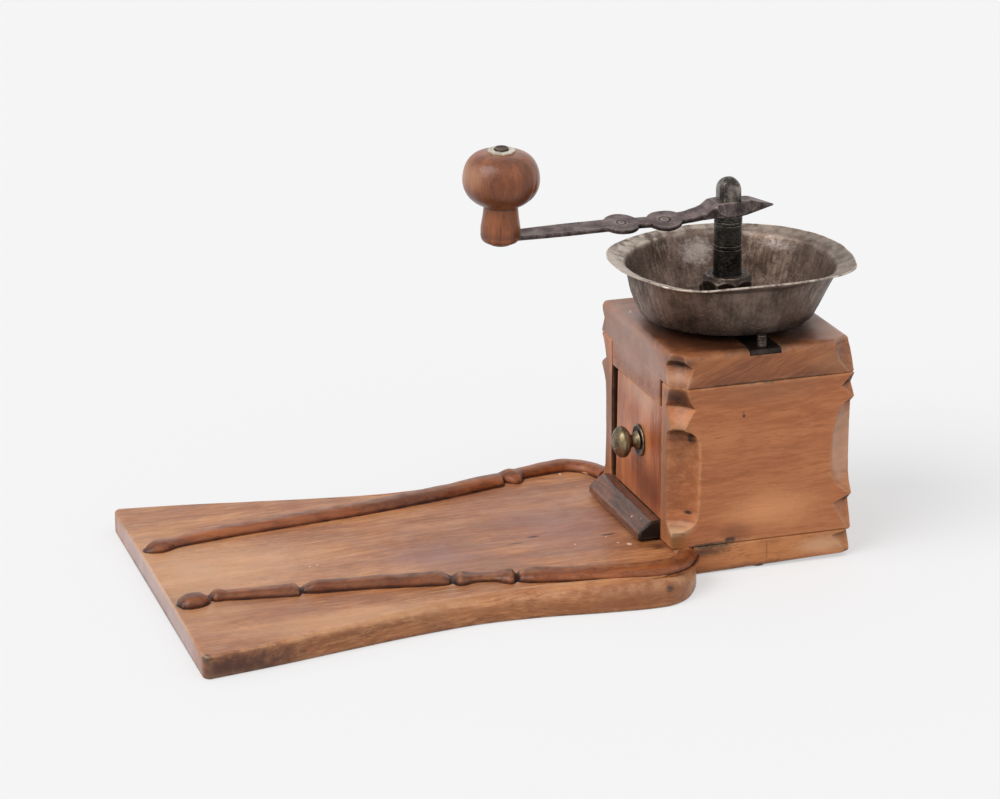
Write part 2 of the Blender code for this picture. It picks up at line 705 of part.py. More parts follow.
def make_base(board):
    """The block under the box, its two domed studs and the screws that hold the board."""
    base = block("base_block", (BOARD_END_X + FIT_GAP, -HALF_WIDTH, BASE_LIFT),
                 (BACK_X, HALF_WIDTH, BASE_TOP), BODY_WOOD, arris=ARRIS)
    cut(base, block("mortise", (BOARD_END_X - CUT_OVERRUN, -TONGUE_HALF_WIDTH - FIT_GAP,
                                TONGUE_RISE - FIT_GAP),
                    (BOARD_END_X + TONGUE_LENGTH + FIT_GAP, TONGUE_HALF_WIDTH + FIT_GAP,
                     TONGUE_RISE + TONGUE_THICKNESS + FIT_GAP), collection=CUTTERS))
    for side in ("near", "far"):
        y = side_sign(side) * (HALF_WIDTH - FOOT_INSET)
        make_foot(base, side, y)
        carve_corners(base, "base", side, (("back", ((*BASE_SCOOP_SHARES, True),)),),
                      BASE_LIFT, BASE_THICKNESS)
        centre = (BOARD_END_X + TONGUE_SCREW_SETBACK, side_sign(side) * TONGUE_SCREW_SPREAD)
        wood_screw(f"{side}_tongue_screw", centre, BASE_LIFT + FIT_GAP, TONGUE_SCREW_LENGTH,
                   (base, board))
    return base


def make_foot(base, side, y):
    """A domed stud driven into the base near its edge."""
    seat = BASE_LIFT + FOOT_SINK - FIT_GAP
    outline = [(0, seat + FOOT_SHANK_LENGTH), (FOOT_SHANK_RADIUS, seat + FOOT_SHANK_LENGTH),
               (FOOT_SHANK_RADIUS, seat)]
    for step in range(FOOT_STEPS, -1, -1):
        swing = math.pi / 2 * step / FOOT_STEPS
        outline.append((FOOT_RADIUS * math.sin(swing), seat * (1 - math.cos(swing))))
    turned(f"{side}_foot_stud", outline, BLACK_IRON, at=(FOOT_OFFSET, y, 0), steps=FOOT_SIDES)
    centre = (FOOT_OFFSET, y)
    bore(base, f"{side}_foot_hole", FOOT_SHANK_RADIUS + FIT_GAP, -CUT_OVERRUN,
         seat + FOOT_SHANK_LENGTH + FIT_GAP, centre, sides=FOOT_SIDES)
    bore(base, f"{side}_foot_seat", FOOT_RADIUS + FIT_GAP, -CUT_OVERRUN, BASE_LIFT + FOOT_SINK,
         centre, sides=FOOT_SIDES)


def wood_screw(name, centre, level, length, holders, head_radius=SCREW_HEAD_RADIUS):
    """A countersunk screw driven upwards, and its hole in each piece that it holds."""
    turned(name, screw_outline(SCREW_RADIUS, head_radius, SCREW_HEAD_DEPTH, length, SCREW_TIP),
           SCREW_STEEL, at=(*centre, level), steps=SCREW_SIDES)
    hole = screw_outline(SCREW_RADIUS + FIT_GAP, head_radius + FIT_GAP, SCREW_HEAD_DEPTH,
                         length + FIT_GAP, SCREW_TIP)
    mouth = (head_radius + FIT_GAP, -CUT_OVERRUN)
    hole = [*hole[:-1], mouth, (0, -CUT_OVERRUN)]
    cutter = turned(name + "_hole", hole, collection=CUTTERS, at=(*centre, level),
                    steps=SCREW_SIDES)
    for holder in holders:
        cut(holder, cutter)


def make_sides(base):
    """The two side panels with their carved corners, screwed up from the base."""
    panels = {}
    for side in ("near", "far"):
        sign = side_sign(side)
        low_y, high_y = sorted((sign * HALF_WIDTH, sign * OPENING_HALF))
        panel = block(f"{side}_side_panel", (FRONT_X, low_y, CARCASS_BOTTOM),
                      (BACK_X, high_y, CARCASS_TOP), BODY_WOOD, arris=ARRIS)
        for end in ("front", "back"):
            x = end_sign(end) * (BACK_X - SIDE_SCREW_INSET)
            wood_screw(f"{side}_{end}_base_screw", (x, sign * (HALF_WIDTH - SIDE_THICKNESS / 2)),
                       BASE_LIFT + FIT_GAP, SIDE_SCREW_LENGTH, (base, panel))
        carve_corners(panel, "side", side,
                      (("front", FRONT_SCOOP_SHARES), ("back", BACK_SCOOP_SHARES)),
                      CARCASS_BOTTOM, CARCASS_HEIGHT)
        panels[side] = panel
    return panels


def make_inner_carcass():
    """The back panel, the strips that the drawer runs on and the sill in front of it."""
    inside = OPENING_HALF - FIT_GAP
    back_front = BACK_X - BACK_THICKNESS
    block("back_panel", (back_front, -inside, CARCASS_BOTTOM), (BACK_X, inside, CARCASS_TOP),
          BODY_WOOD, arris=ARRIS)
    for side in ("near", "far"):
        sign = side_sign(side)
        low_y, high_y = sorted((sign * inside, sign * (inside - RUNNER_WIDTH)))
        block(f"{side}_runner", (FRONT_X + ARRIS, low_y, CARCASS_BOTTOM),
              (back_front - FIT_GAP, high_y, RUNNER_TOP), PLAIN_WOOD)
    section = [(0, 0), (SILL_DEPTH, 0), (SILL_DEPTH, SILL_FRONT_HEIGHT),
               (SILL_TOP_DEPTH, SILL_HEIGHT), (0, SILL_HEIGHT)]
    sill = flat_shape("drawer_sill", section, SILL_LENGTH, DARK_WOOD)
    upright = Matrix.Rotation(math.pi, 4, "Z") @ Matrix.Rotation(math.pi / 2, 4, "X")
    sill.data.transform(Matrix.Translation((FRONT_X - SILL_SETBACK, SILL_SHIFT, CARCASS_BOTTOM))
                        @ upright)


def make_head(panels):
    """The block that closes the box and holds the burrs, with the rail over the drawer."""
    head = block("head_block", (FRONT_X, -HALF_WIDTH, HEAD_BOTTOM), (BACK_X, HALF_WIDTH, HEAD_TOP),
                 BODY_WOOD, arris=ARRIS)
    join(head, block("rail", (FRONT_X + ARRIS, -OPENING_HALF + RAIL_NEAR_SLIT, RAIL_BOTTOM),
                     (FRONT_X + RAIL_DEPTH, OPENING_HALF - FIT_GAP, HEAD_BOTTOM + UNION_OVERLAP),
                     collection=CUTTERS))
    bore(head, "housing_bore", HOUSING_RADIUS + FIT_GAP, HEAD_BOTTOM - CUT_OVERRUN,
         HEAD_TOP + CUT_OVERRUN, sides=FINE_STEPS)
    recess = block("plate_recess_bar",
                   (-PLATE_HALF_WIDTH - FIT_GAP, -HALF_WIDTH - CUT_OVERRUN, PLATE_BOTTOM - FIT_GAP),
                   (PLATE_HALF_WIDTH + FIT_GAP, HALF_WIDTH + CUT_OVERRUN, HEAD_TOP + CUT_OVERRUN),
                   collection=CUTTERS)
    cut(head, recess)
    bore(head, "plate_recess_ring", PLATE_RING_RADIUS + FIT_GAP, PLATE_BOTTOM - FIT_GAP,
         HEAD_TOP + CUT_OVERRUN, sides=FINE_STEPS)
    for side in ("near", "far"):
        carve_corners(head, "head", side,
                      (("front", ((*HEAD_FRONT_SCOOP_SHARES, True),)),
                       ("back", ((*HEAD_BACK_SCOOP_SHARES, True),))),
                      HEAD_BOTTOM, HEAD_THICKNESS)
        y = side_sign(side) * (HALF_WIDTH - PLATE_STUD_INSET)
        for holder, label in ((head, "head"), (panels[side], "panel")):
            bore(holder, f"{side}_{label}_stud_hole", PLATE_STUD_RADIUS + FIT_GAP,
                 PLATE_BOTTOM - PLATE_STUD_DEPTH - FIT_GAP, HEAD_TOP + CUT_OVERRUN, (0, y),
                 sides=SCREW_SIDES)
    return head


def make_plate():
    """The iron plate let into the head, and the stud at each of its ends."""
    end = HALF_WIDTH - PLATE_INSET
    plate = block("mounting_plate", (-PLATE_HALF_WIDTH, -end, PLATE_BOTTOM),
                  (PLATE_HALF_WIDTH, end, PLATE_TOP), FORGED_IRON)
    join(plate, cylinder("plate_ring", PLATE_RING_RADIUS, PLATE_BOTTOM, PLATE_TOP,
                         collection=CUTTERS, sides=FINE_STEPS))
    bore(plate, "plate_bore", HOUSING_RADIUS + FIT_GAP, PLATE_BOTTOM - CUT_OVERRUN,
         PLATE_TOP + CUT_OVERRUN, sides=FINE_STEPS)
    for side in ("near", "far"):
        y = side_sign(side) * (HALF_WIDTH - PLATE_STUD_INSET)
        bore(plate, f"{side}_plate_hole", PLATE_STUD_RADIUS + FIT_GAP, PLATE_BOTTOM - CUT_OVERRUN,
             PLATE_TOP + CUT_OVERRUN, (0, y), sides=SCREW_SIDES)
        cylinder(f"{side}_plate_stud", PLATE_STUD_RADIUS, PLATE_BOTTOM - PLATE_STUD_DEPTH,
                 PLATE_TOP + PLATE_STUD_RISE, (0, y), SCREW_STEEL, sides=SCREW_SIDES)


def toothed_ring(radius, level, tooth, phase):
    """A ring of points whose radius swings in and out once for each tooth."""
    ring = []
    for step in range(FINE_STEPS):
        swing = 2 * math.pi * step / FINE_STEPS
        reach = radius + tooth * math.cos(BURR_TEETH * (swing + phase))
        ring.append((reach * math.cos(swing), reach * math.sin(swing), level))
    return ring


def make_burrs(crank):
    """The housing with teeth inside it, and the toothed cone that turns in it."""
    rings = []
    outer = ((THROAT_RADIUS, FLANGE_TOP), (HOUSING_FLANGE_RADIUS, FLANGE_TOP),
             (HOUSING_FLANGE_RADIUS, FLANGE_BOTTOM), (HOUSING_RADIUS, FLANGE_BOTTOM),
             (HOUSING_RADIUS, HOUSING_BOTTOM))
    for radius, level in outer:
        rings.append(toothed_ring(radius, level, 0, 0))
    for step in range(BURR_STEPS + 1):
        share = step / BURR_STEPS
        radius = BURR_WAIST_RADIUS + BURR_TOOTH
        radius += (THROAT_RADIUS - radius) * share
        rings.append(toothed_ring(radius, HOUSING_BOTTOM + CONE_HEIGHT * share,
                                  BURR_TOOTH * (1 - share), -BURR_TWIST * share))
    housing = loft("burr_housing", rings, BLACK_IRON, closed=True)
    rings = [toothed_ring(SHAFT_LOWER_RADIUS + FIT_GAP, CONE_TOP, 0, 0)]
    for step in range(BURR_STEPS + 1):
        share = step / BURR_STEPS
        widest = BURR_WAIST_RADIUS - BURR_RUNNING_GAP - BURR_TOOTH
        radius = CONE_TOP_RADIUS + (widest - CONE_TOP_RADIUS) * share
        rings.append(toothed_ring(radius, CONE_TOP - CONE_HEIGHT * share, BURR_TOOTH,
                                  BURR_TWIST * share))
    rings.append(toothed_ring(SHAFT_LOWER_RADIUS + FIT_GAP, CONE_BOTTOM, 0, 0))
    loft("inner_burr", rings, BLACK_IRON, parent=crank, closed=True)
    return housing


def make_hopper():
    """The sheet iron bowl that the beans go in."""
    shell = [
        (HOPPER_RIM_RADIUS, HOPPER_BOTTOM + HOPPER_RIM_RISE),
        (HOPPER_MOUTH_RADIUS + HOPPER_WALL, HOPPER_BOTTOM + HOPPER_MOUTH_RISE + HOPPER_WALL),
        (HOPPER_MOUTH_RADIUS, HOPPER_BOTTOM + HOPPER_MOUTH_RISE - HOPPER_WALL),
        (HOPPER_WALL_FOOT_RADIUS, HOPPER_BOTTOM + HOPPER_WALL_FOOT_RISE),
        ((HOPPER_WALL_FOOT_RADIUS * 2 + HOPPER_FLOOR_RADIUS) / 3,
         HOPPER_BOTTOM + HOPPER_WALL_FOOT_RISE / 4),
        (HOPPER_FLOOR_RADIUS, HOPPER_BOTTOM),
        (THROAT_RADIUS, HOPPER_BOTTOM),
    ]
    hopper = turned("hopper_bowl", shell, TINNED_IRON, steps=HOPPER_STEPS)
    wall = hopper.modifiers.new("wall", "SOLIDIFY")
    wall.thickness = HOPPER_WALL
    wall.offset = -1
    wall.use_even_offset = True
    return hopper


def make_bearing(housing, hopper):
    """The eight-sided bearing on its two arms, screwed down through the hopper's floor."""
    top = BRIDGE_BOTTOM + BEARING_HEIGHT
    bearing = cylinder("bearing_bridge", BEARING_CORNER_RADIUS, BRIDGE_BOTTOM, top,
                       finish=FORGED_IRON, sides=BEARING_SIDES)
    outside = BEARING_CORNER_RADIUS + BEARING_CHAMFER
    crown = [(0, top), (BEARING_CORNER_RADIUS - BEARING_CHAMFER, top),
             (outside, top - BEARING_CHAMFER * 2), (outside, BRIDGE_BOTTOM - CUT_OVERRUN),
             (0, BRIDGE_BOTTOM - CUT_OVERRUN)]
    combine(bearing, turned("bearing_crown", crown, collection=CUTTERS), "INTERSECT")
    join(bearing, block("bearing_arms", (-BRIDGE_HALF_WIDTH, -BRIDGE_REACH, BRIDGE_BOTTOM),
                        (BRIDGE_HALF_WIDTH, BRIDGE_REACH, BRIDGE_TOP), collection=CUTTERS))
    bore(bearing, "bearing_bore", SHAFT_RADIUS + SHAFT_BEARING_GAP, BRIDGE_BOTTOM - CUT_OVERRUN,
         top + CUT_OVERRUN)
    foot = FLANGE_BOTTOM + FIT_GAP
    outline = [(0, BRIDGE_TOP + FIT_GAP + BRIDGE_SCREW_HEAD_HEIGHT),
               (BRIDGE_SCREW_HEAD_RADIUS, BRIDGE_TOP + FIT_GAP + BRIDGE_SCREW_HEAD_HEIGHT),
               (BRIDGE_SCREW_HEAD_RADIUS, BRIDGE_TOP + FIT_GAP),
               (BRIDGE_SCREW_RADIUS, BRIDGE_TOP + FIT_GAP), (BRIDGE_SCREW_RADIUS, foot), (0, foot)]
    for side in ("near", "far"):
        y = side_sign(side) * BRIDGE_SCREW_OFFSET
        turned(f"{side}_bearing_screw", outline, SCREW_STEEL, at=(0, y, 0), steps=SCREW_SIDES)
        for holder, label in ((housing, "housing"), (hopper, "hopper"), (bearing, "arm")):
            bore(holder, f"{side}_{label}_screw_hole", BRIDGE_SCREW_RADIUS + FIT_GAP,
                 foot - FIT_GAP / 2, BRIDGE_TOP + CUT_OVERRUN, (0, y), sides=SCREW_SIDES)


def make_strap(head):
    """The strap under the burrs, which carries the adjusting screw, and its two screws."""
    top = HEAD_BOTTOM - FIT_GAP
    half = [(STRAP_INNER, STRAP_TOP), (STRAP_INNER, top), (STRAP_END, top),
            (STRAP_END, top - STRAP_THICKNESS), (STRAP_OUTER, top - STRAP_THICKNESS),
            (STRAP_OUTER, STRAP_BOTTOM)]
    outline = half + [(-across, level) for across, level in reversed(half)]
    strap = flat_shape("lower_bridge", outline, STRAP_HALF_WIDTH * 2, FORGED_IRON)
    strap.data.transform(Matrix.Rotation(math.pi / 2, 4, "Z") @ Matrix.Rotation(math.pi / 2, 4, "X"))
    bore(strap, "adjuster_hole", ADJUSTER_RADIUS + FIT_GAP, STRAP_BOTTOM - CUT_OVERRUN,
         STRAP_TOP + CUT_OVERRUN)
    for side in ("near", "far"):
        centre = (0, side_sign(side) * STRAP_SCREW_OFFSET)
        level = top - STRAP_THICKNESS - SCREW_HEAD_DEPTH + FIT_GAP
        wood_screw(f"{side}_bridge_screw", centre, level, STRAP_SCREW_LENGTH, (strap, head),
                   STRAP_SCREW_HEAD_RADIUS)
    adjuster = pivot("adjuster_axis", (0, 0, 0))
    tail = STRAP_BOTTOM - ADJUSTER_TAIL
    screw = cylinder("adjusting_screw", ADJUSTER_RADIUS, tail, ADJUSTER_TOP,
                     finish=SCREW_STEEL, parent=adjuster)
    join(screw, block("adjuster_wing", (-ADJUSTER_WING_RADIUS, -ADJUSTER_WING_THICKNESS / 2, tail),
                      (ADJUSTER_WING_RADIUS, ADJUSTER_WING_THICKNESS / 2,
                       tail + ADJUSTER_WING_HEIGHT), collection=CUTTERS))


def make_shaft(crank):
    """The shaft, round in its bearing and squared off under its domed top."""
    seat = CRANK_SEAT - FIT_GAP
    top = CRANK_SEAT + SHAFT_TOP_RISE
    dome = []
    for step in range(DOME_STEPS + 1):
        swing = math.pi / 2 * step / DOME_STEPS
        dome.append((SHAFT_TOP_RADIUS * math.sin(swing),
                     top - SHAFT_TOP_RADIUS * (1 - math.cos(swing))))
    outline = dome + [
        (SHAFT_TOP_RADIUS, seat),
        (SHAFT_RADIUS - SHAFT_ARRIS, seat),
        (SHAFT_RADIUS, seat - SHAFT_ARRIS),
        (SHAFT_RADIUS, CONE_TOP + SHAFT_RADIUS),
        (SHAFT_LOWER_RADIUS, CONE_TOP + SHAFT_LOWER_RADIUS),
        (SHAFT_LOWER_RADIUS, SHAFT_BOTTOM),
        (0, SHAFT_BOTTOM),
    ]
    shaft = turned("drive_shaft", outline, BLACK_IRON, parent=crank)
    for number, turn in enumerate(math.pi / 2 * quarter for quarter in range(4)):
        flat = block(f"shaft_flat_{number}", (SHAFT_FLAT, -SHAFT_RADIUS, seat),
                     (SHAFT_RADIUS + CUT_OVERRUN, SHAFT_RADIUS, top + CUT_OVERRUN),
                     collection=CUTTERS)
        flat.rotation_euler = (0, 0, turn)
        cut(shaft, flat)


def crank_stations():
    """Stations along the crank from the knob's end to the beak, as distances from the shaft."""
    discs = []
    for share in DISC_SHARES:
        centre = -ARM_LENGTH * share
        discs += [centre + DISC_RADIUS * math.sin(math.pi / 2 * step / DISC_STATIONS)
                  for step in range(-DISC_STATIONS, DISC_STATIONS + 1)]
    tip = ARM_LENGTH + ARM_END_HALF_WIDTH
    end = [-ARM_LENGTH - ARM_END_HALF_WIDTH * math.cos(math.pi / 2 * step / END_STEPS)
           for step in range(1, END_STEPS + 1)]
    arm = [-ARM_LENGTH * share for share in ARM_STATION_SHARES]
    head = [-HEAD_HALF_WIDTH * share for share in HEAD_STATION_SHARES]
    beak = [BEAK_LENGTH * share for share in BEAK_STATION_SHARES]
    return sorted([-tip + FIT_GAP, *end, *arm, *discs, *head, *beak])


def between(table, value):
    """Read a table of pairs at a value, in straight steps."""
    for (x0, y0), (x1, y1) in zip(table, table[1:]):
        if value <= x1:
            return y0 + (y1 - y0) * max(value - x0, 0) / (x1 - x0)
    return table[-1][1]


def crank_half_width(x):
    """Half the crank's width at x: a round end, an arm with two discs, an eye and a beak."""
    if x > 0:
        share = between(BEAK_WIDTH_SHARES, x / BEAK_LENGTH)
        return BEAK_TIP_HALF_WIDTH + (HEAD_HALF_WIDTH - BEAK_TIP_HALF_WIDTH) * share
    if x < -ARM_LENGTH:
        past = min(-ARM_LENGTH - x, ARM_END_HALF_WIDTH)
        return math.sqrt(ARM_END_HALF_WIDTH ** 2 - past ** 2)
    outer_disc, inner_disc = (-ARM_LENGTH * share for share in DISC_SHARES)
    if x > inner_disc:
        width = ARM_HALF_WIDTH + (HEAD_HALF_WIDTH - ARM_HALF_WIDTH) * between(
            EYE_SPREAD_SHARES, x / HEAD_HALF_WIDTH)
    elif x > outer_disc:
        width = ARM_NECK_HALF_WIDTH
    else:
        along = (outer_disc - x) / (outer_disc + ARM_LENGTH)
        width = ARM_HALF_WIDTH + (ARM_END_HALF_WIDTH - ARM_HALF_WIDTH) * along
    for centre in (outer_disc, inner_disc):
        off = abs(x - centre)
        if off < DISC_RADIUS:
            width = max(width, math.sqrt(DISC_RADIUS ** 2 - off ** 2))
    return width


def crank_levels(x):
    """The crank's underside and top at x."""
    outer_disc, inner_disc = (-ARM_LENGTH * share for share in DISC_SHARES)
    drop = between(((-ARM_LENGTH, KNOB_END_DROP), (outer_disc, OUTER_DISC_DROP),
                    (inner_disc, INNER_DISC_DROP), (-HEAD_HALF_WIDTH, 0)), x)
    bottom = CRANK_SEAT - drop
    if x > 0:
        lift = HEAD_HEIGHT * BEAK_CURL_SHARE * x / BEAK_LENGTH
        return bottom + lift, CRANK_SEAT + HEAD_HEIGHT * between(BEAK_TOP_SHARES, x / BEAK_LENGTH)
    rise = (HEAD_HEIGHT - ARM_THICKNESS) * between(HEAD_RISE_SHARES, x / HEAD_HALF_WIDTH)
    return bottom, bottom + ARM_THICKNESS + rise


def crank_roll(x):
    """How far the flat of the arm is rolled about its length at x."""
    outer_disc = -ARM_LENGTH * DISC_SHARES[0]
    table = ((-ARM_LENGTH, KNOB_LEAN), ((outer_disc - ARM_LENGTH) / 2, ARM_ROLL),
             (-HEAD_HALF_WIDTH * 2, ARM_ROLL), (-HEAD_HALF_WIDTH, 0))
    return between(table, x)


def crank_section(x):
    """The crank's section at x, a flat bar whose upper edges are chamfered."""
    half = crank_half_width(x)
    low, high = crank_levels(x)
    chamfer = BEAK_CHAMFER * between(HEAD_CHAMFER_SHARES, x / HEAD_HALF_WIDTH)
    across = min(max(chamfer, ARM_EDGE), half * CHAMFER_ACROSS_SHARE)
    down = min(max(chamfer, ARM_EDGE), (high - low) * CHAMFER_DOWN_SHARE)
    lower = min(ARM_EDGE, half * CHAMFER_ACROSS_SHARE)
    points = [(-half, low + lower), (-half, high - down), (-half + across, high),
              (half - across, high), (half, high - down), (half, low + lower),
              (half - lower, low), (-half + lower, low)]
    roll = crank_roll(x)
    middle = (low + low + ARM_THICKNESS) / 2
    return [(x, y * math.cos(roll) - (z - middle) * math.sin(roll),
             middle + y * math.sin(roll) + (z - middle) * math.cos(roll)) for y, z in points]


def make_crank(crank):
    """The forged crank, with a square eye on the shaft and a hole for the knob's spindle."""
    arm = loft("crank_arm", [crank_section(x) for x in crank_stations()], FORGED_IRON,
               parent=crank)
    eye = SHAFT_FLAT + FIT_GAP
    cut(arm, block("crank_eye", (-eye, -eye, CRANK_SEAT - CUT_OVERRUN),
                   (eye, eye, CRANK_SEAT + HEAD_HEIGHT + CUT_OVERRUN), collection=CUTTERS))
    return arm


def make_knob(crank, arm):
    """The wooden knob, which turns freely on a spindle riveted through the crank's end."""
    post = pivot("knob_axis", (-ARM_LENGTH, 0, KNOB_SEAT), KNOB_LEAN)
    bottom = FIT_GAP
    neck_top = bottom + KNOB_NECK_HEIGHT
    ball_top = neck_top + KNOB_BALL_HEIGHT
    swell = KNOB_BALL_HEIGHT / 2
    hole = SPINDLE_RADIUS + FIT_GAP
    ball = []
    for step in range(BALL_STEPS + 1):
        swing = math.pi * (BALL_START_SHARE + (BALL_STOP_SHARE - BALL_START_SHARE) * step / BALL_STEPS)
        ball.append((KNOB_BALL_RADIUS * math.sin(swing) ** BALL_FULLNESS_SHARE,
                     neck_top + swell + swell * math.cos(swing)))
    outline = [(hole, ball_top)] + ball + [
        (KNOB_NECK_TOP_RADIUS, neck_top),
        (KNOB_NECK_TOP_RADIUS + (KNOB_NECK_BOTTOM_RADIUS - KNOB_NECK_TOP_RADIUS) / 3,
         bottom + KNOB_NECK_HEIGHT / 2),
        (KNOB_NECK_BOTTOM_RADIUS, bottom + KNOB_FOOT_ROUND),
        (KNOB_FOOT_RADIUS, bottom),
        (hole, bottom),
    ]
    turned("wooden_knob", outline, KNOB_WOOD, parent=post, closed=True)
    washer_low = ball_top + FIT_GAP
    washer_high = washer_low + WASHER_THICKNESS
    turned("knob_washer", ring_outline(hole, WASHER_RADIUS, washer_low, washer_high), OLD_BRASS,
           parent=post, closed=True)
    rivet = washer_high + FIT_GAP
    head_top = -ARM_THICKNESS - FIT_GAP * 2
    spindle = [(0, rivet + RIVET_HEIGHT), (RIVET_RADIUS * SPINDLE_ROUND_SHARE, rivet + RIVET_HEIGHT),
               (RIVET_RADIUS, rivet + RIVET_HEIGHT / 2), (RIVET_RADIUS, rivet),
               (SPINDLE_RADIUS, rivet), (SPINDLE_RADIUS, head_top),
               (SPINDLE_HEAD_RADIUS, head_top),
               (SPINDLE_HEAD_RADIUS, head_top - SPINDLE_HEAD_HEIGHT / 2),
               (SPINDLE_HEAD_RADIUS * SPINDLE_ROUND_SHARE, head_top - SPINDLE_HEAD_HEIGHT),
               (0, head_top - SPINDLE_HEAD_HEIGHT)]
    turned("knob_spindle", spindle, SCREW_STEEL, parent=post, steps=SPINDLE_SIDES)
    cut(arm, cylinder("spindle_hole", hole, -ARM_THICKNESS - CUT_OVERRUN, ARM_THICKNESS + CUT_OVERRUN,
                      parent=post, collection=CUTTERS, sides=SPINDLE_SIDES))


def make_drawer():
    """The drawer that catches the grounds, with its brass knob."""
    drawer = pivot("drawer_slide", (0, 0, 0))
    near = -OPENING_HALF + DRAWER_NEAR_CLEARANCE
    far_top = OPENING_HALF - DRAWER_FAR_GAP_TOP
    far_bottom = OPENING_HALF - DRAWER_FAR_GAP_BOTTOM
    low = RUNNER_TOP + FIT_GAP
    high = RAIL_BOTTOM - FIT_GAP
    front = flat_shape("drawer_front", [(near, low), (far_bottom, low), (far_top, high), (near, high)],
                       DRAWER_FRONT_THICKNESS, DRAWER_WOOD, parent=drawer)
    face = FRONT_X + ARRIS
    front.data.transform(Matrix.Translation((face + DRAWER_FRONT_THICKNESS / 2, 0, 0))
                         @ Matrix.Rotation(math.pi / 2, 4, "Z") @ Matrix.Rotation(math.pi / 2, 4, "X"))
    box_front = face + DRAWER_FRONT_THICKNESS + FIT_GAP
    box_back = BACK_X - BACK_THICKNESS - DRAWER_BACK_CLEARANCE
    side_top = low + DRAWER_SIDE_HEIGHT
    far = far_top - FIT_GAP
    for side, edge, inner in (("near", near, near + DRAWER_SIDE_THICKNESS),
                              ("far", far, far - DRAWER_SIDE_THICKNESS)):
        low_y, high_y = sorted((edge, inner))
        block(f"drawer_{side}_side", (box_front, low_y, low), (box_back, high_y, side_top),
              PLAIN_WOOD, parent=drawer)
    inside_near = near + DRAWER_SIDE_THICKNESS + FIT_GAP
    inside_far = far - DRAWER_SIDE_THICKNESS - FIT_GAP
    back_front = box_back - DRAWER_SIDE_THICKNESS
    block("drawer_back", (back_front, inside_near, low), (box_back, inside_far, side_top),
          PLAIN_WOOD, parent=drawer)
    block("drawer_bottom", (box_front, inside_near, low),
          (back_front - FIT_GAP, inside_far, low + DRAWER_BOTTOM_THICKNESS), PLAIN_WOOD,
          parent=drawer)
    make_brass_knob(drawer, front, face)


def make_brass_knob(drawer, front, face):
    """The turned knob on its rose, its shank run into the drawer's front."""
    at = (face - FIT_GAP, -BRASS_KNOB_SHIFT, BRASS_KNOB_HEIGHT)
    hole = BRASS_SHANK_RADIUS + FIT_GAP
    facing = (0, -math.pi / 2, 0)
    rose = turned("knob_rose", ring_outline(hole, ROSE_RADIUS, 0, ROSE_THICKNESS), OLD_BRASS,
                  parent=drawer, at=at, closed=True)
    rose.rotation_euler = facing
    middle = BRASS_REACH - BRASS_BALL_THICKNESS / 2
    ball = []
    for step in range(BRASS_STEPS + 1):
        swing = math.pi * BRASS_SWEEP_SHARE * step / BRASS_STEPS
        ball.append((BRASS_BALL_RADIUS * math.sin(swing),
                     middle + BRASS_BALL_THICKNESS / 2 * math.cos(swing)))
    seat = ROSE_THICKNESS + FIT_GAP
    shank = -DRAWER_FRONT_THICKNESS + FIT_GAP * 2
    outline = ball + [(BRASS_NECK_RADIUS, (middle + seat) / 2),
                      (BRASS_NECK_RADIUS * BRASS_FOOT_SHARE, seat), (BRASS_SHANK_RADIUS, seat),
                      (BRASS_SHANK_RADIUS, shank), (0, shank)]
    knob = turned("drawer_knob", outline, OLD_BRASS, parent=drawer, at=at)
    knob.rotation_euler = facing
    drill = cylinder("knob_drill", hole, -DRAWER_FRONT_THICKNESS - CUT_OVERRUN, CUT_OVERRUN,
                     collection=CUTTERS, parent=drawer, sides=SCREW_SIDES)
    drill.location = at
    drill.rotation_euler = facing
    cut(front, drill)


def main():
    """Build every piece."""
    crank = pivot("crank_axis", (0, 0, 0))
    board = make_seat_board()
    base = make_base(board)
    panels = make_sides(base)
    make_inner_carcass()
    head = make_head(panels)
    make_plate()
    housing = make_burrs(crank)
    hopper = make_hopper()
    make_bearing(housing, hopper)
    make_strap(head)
    make_shaft(crank)
    arm = make_crank(crank)
    make_knob(crank, arm)
    make_drawer()
    bpy.context.view_layer.update()


main()
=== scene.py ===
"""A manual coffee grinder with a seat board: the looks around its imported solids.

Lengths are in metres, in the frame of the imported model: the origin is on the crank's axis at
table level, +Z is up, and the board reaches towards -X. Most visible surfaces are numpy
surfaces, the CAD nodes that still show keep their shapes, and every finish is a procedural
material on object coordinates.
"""

import json
import logging
import math
from collections.abc import Sequence
from dataclasses import dataclass
from enum import Enum

import bmesh
import bpy
import numpy as np
from mathutils import Matrix, Vector

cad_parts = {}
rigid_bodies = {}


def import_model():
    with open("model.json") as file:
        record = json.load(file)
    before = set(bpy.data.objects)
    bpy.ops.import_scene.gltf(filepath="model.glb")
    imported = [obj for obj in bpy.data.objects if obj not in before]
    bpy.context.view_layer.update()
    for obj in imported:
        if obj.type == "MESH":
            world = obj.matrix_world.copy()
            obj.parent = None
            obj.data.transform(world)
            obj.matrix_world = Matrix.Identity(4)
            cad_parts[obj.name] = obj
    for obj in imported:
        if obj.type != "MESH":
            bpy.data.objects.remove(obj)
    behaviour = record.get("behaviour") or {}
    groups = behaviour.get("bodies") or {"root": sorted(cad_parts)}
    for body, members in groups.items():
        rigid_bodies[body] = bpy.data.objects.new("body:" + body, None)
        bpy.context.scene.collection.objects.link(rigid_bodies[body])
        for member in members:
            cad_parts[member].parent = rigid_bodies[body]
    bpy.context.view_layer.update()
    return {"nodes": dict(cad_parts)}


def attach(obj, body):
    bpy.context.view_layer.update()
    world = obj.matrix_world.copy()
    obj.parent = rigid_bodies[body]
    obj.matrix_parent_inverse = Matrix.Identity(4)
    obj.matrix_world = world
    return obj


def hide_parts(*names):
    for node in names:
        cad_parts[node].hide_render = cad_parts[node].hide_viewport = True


Array = np.ndarray
Point = tuple[float, float, float]
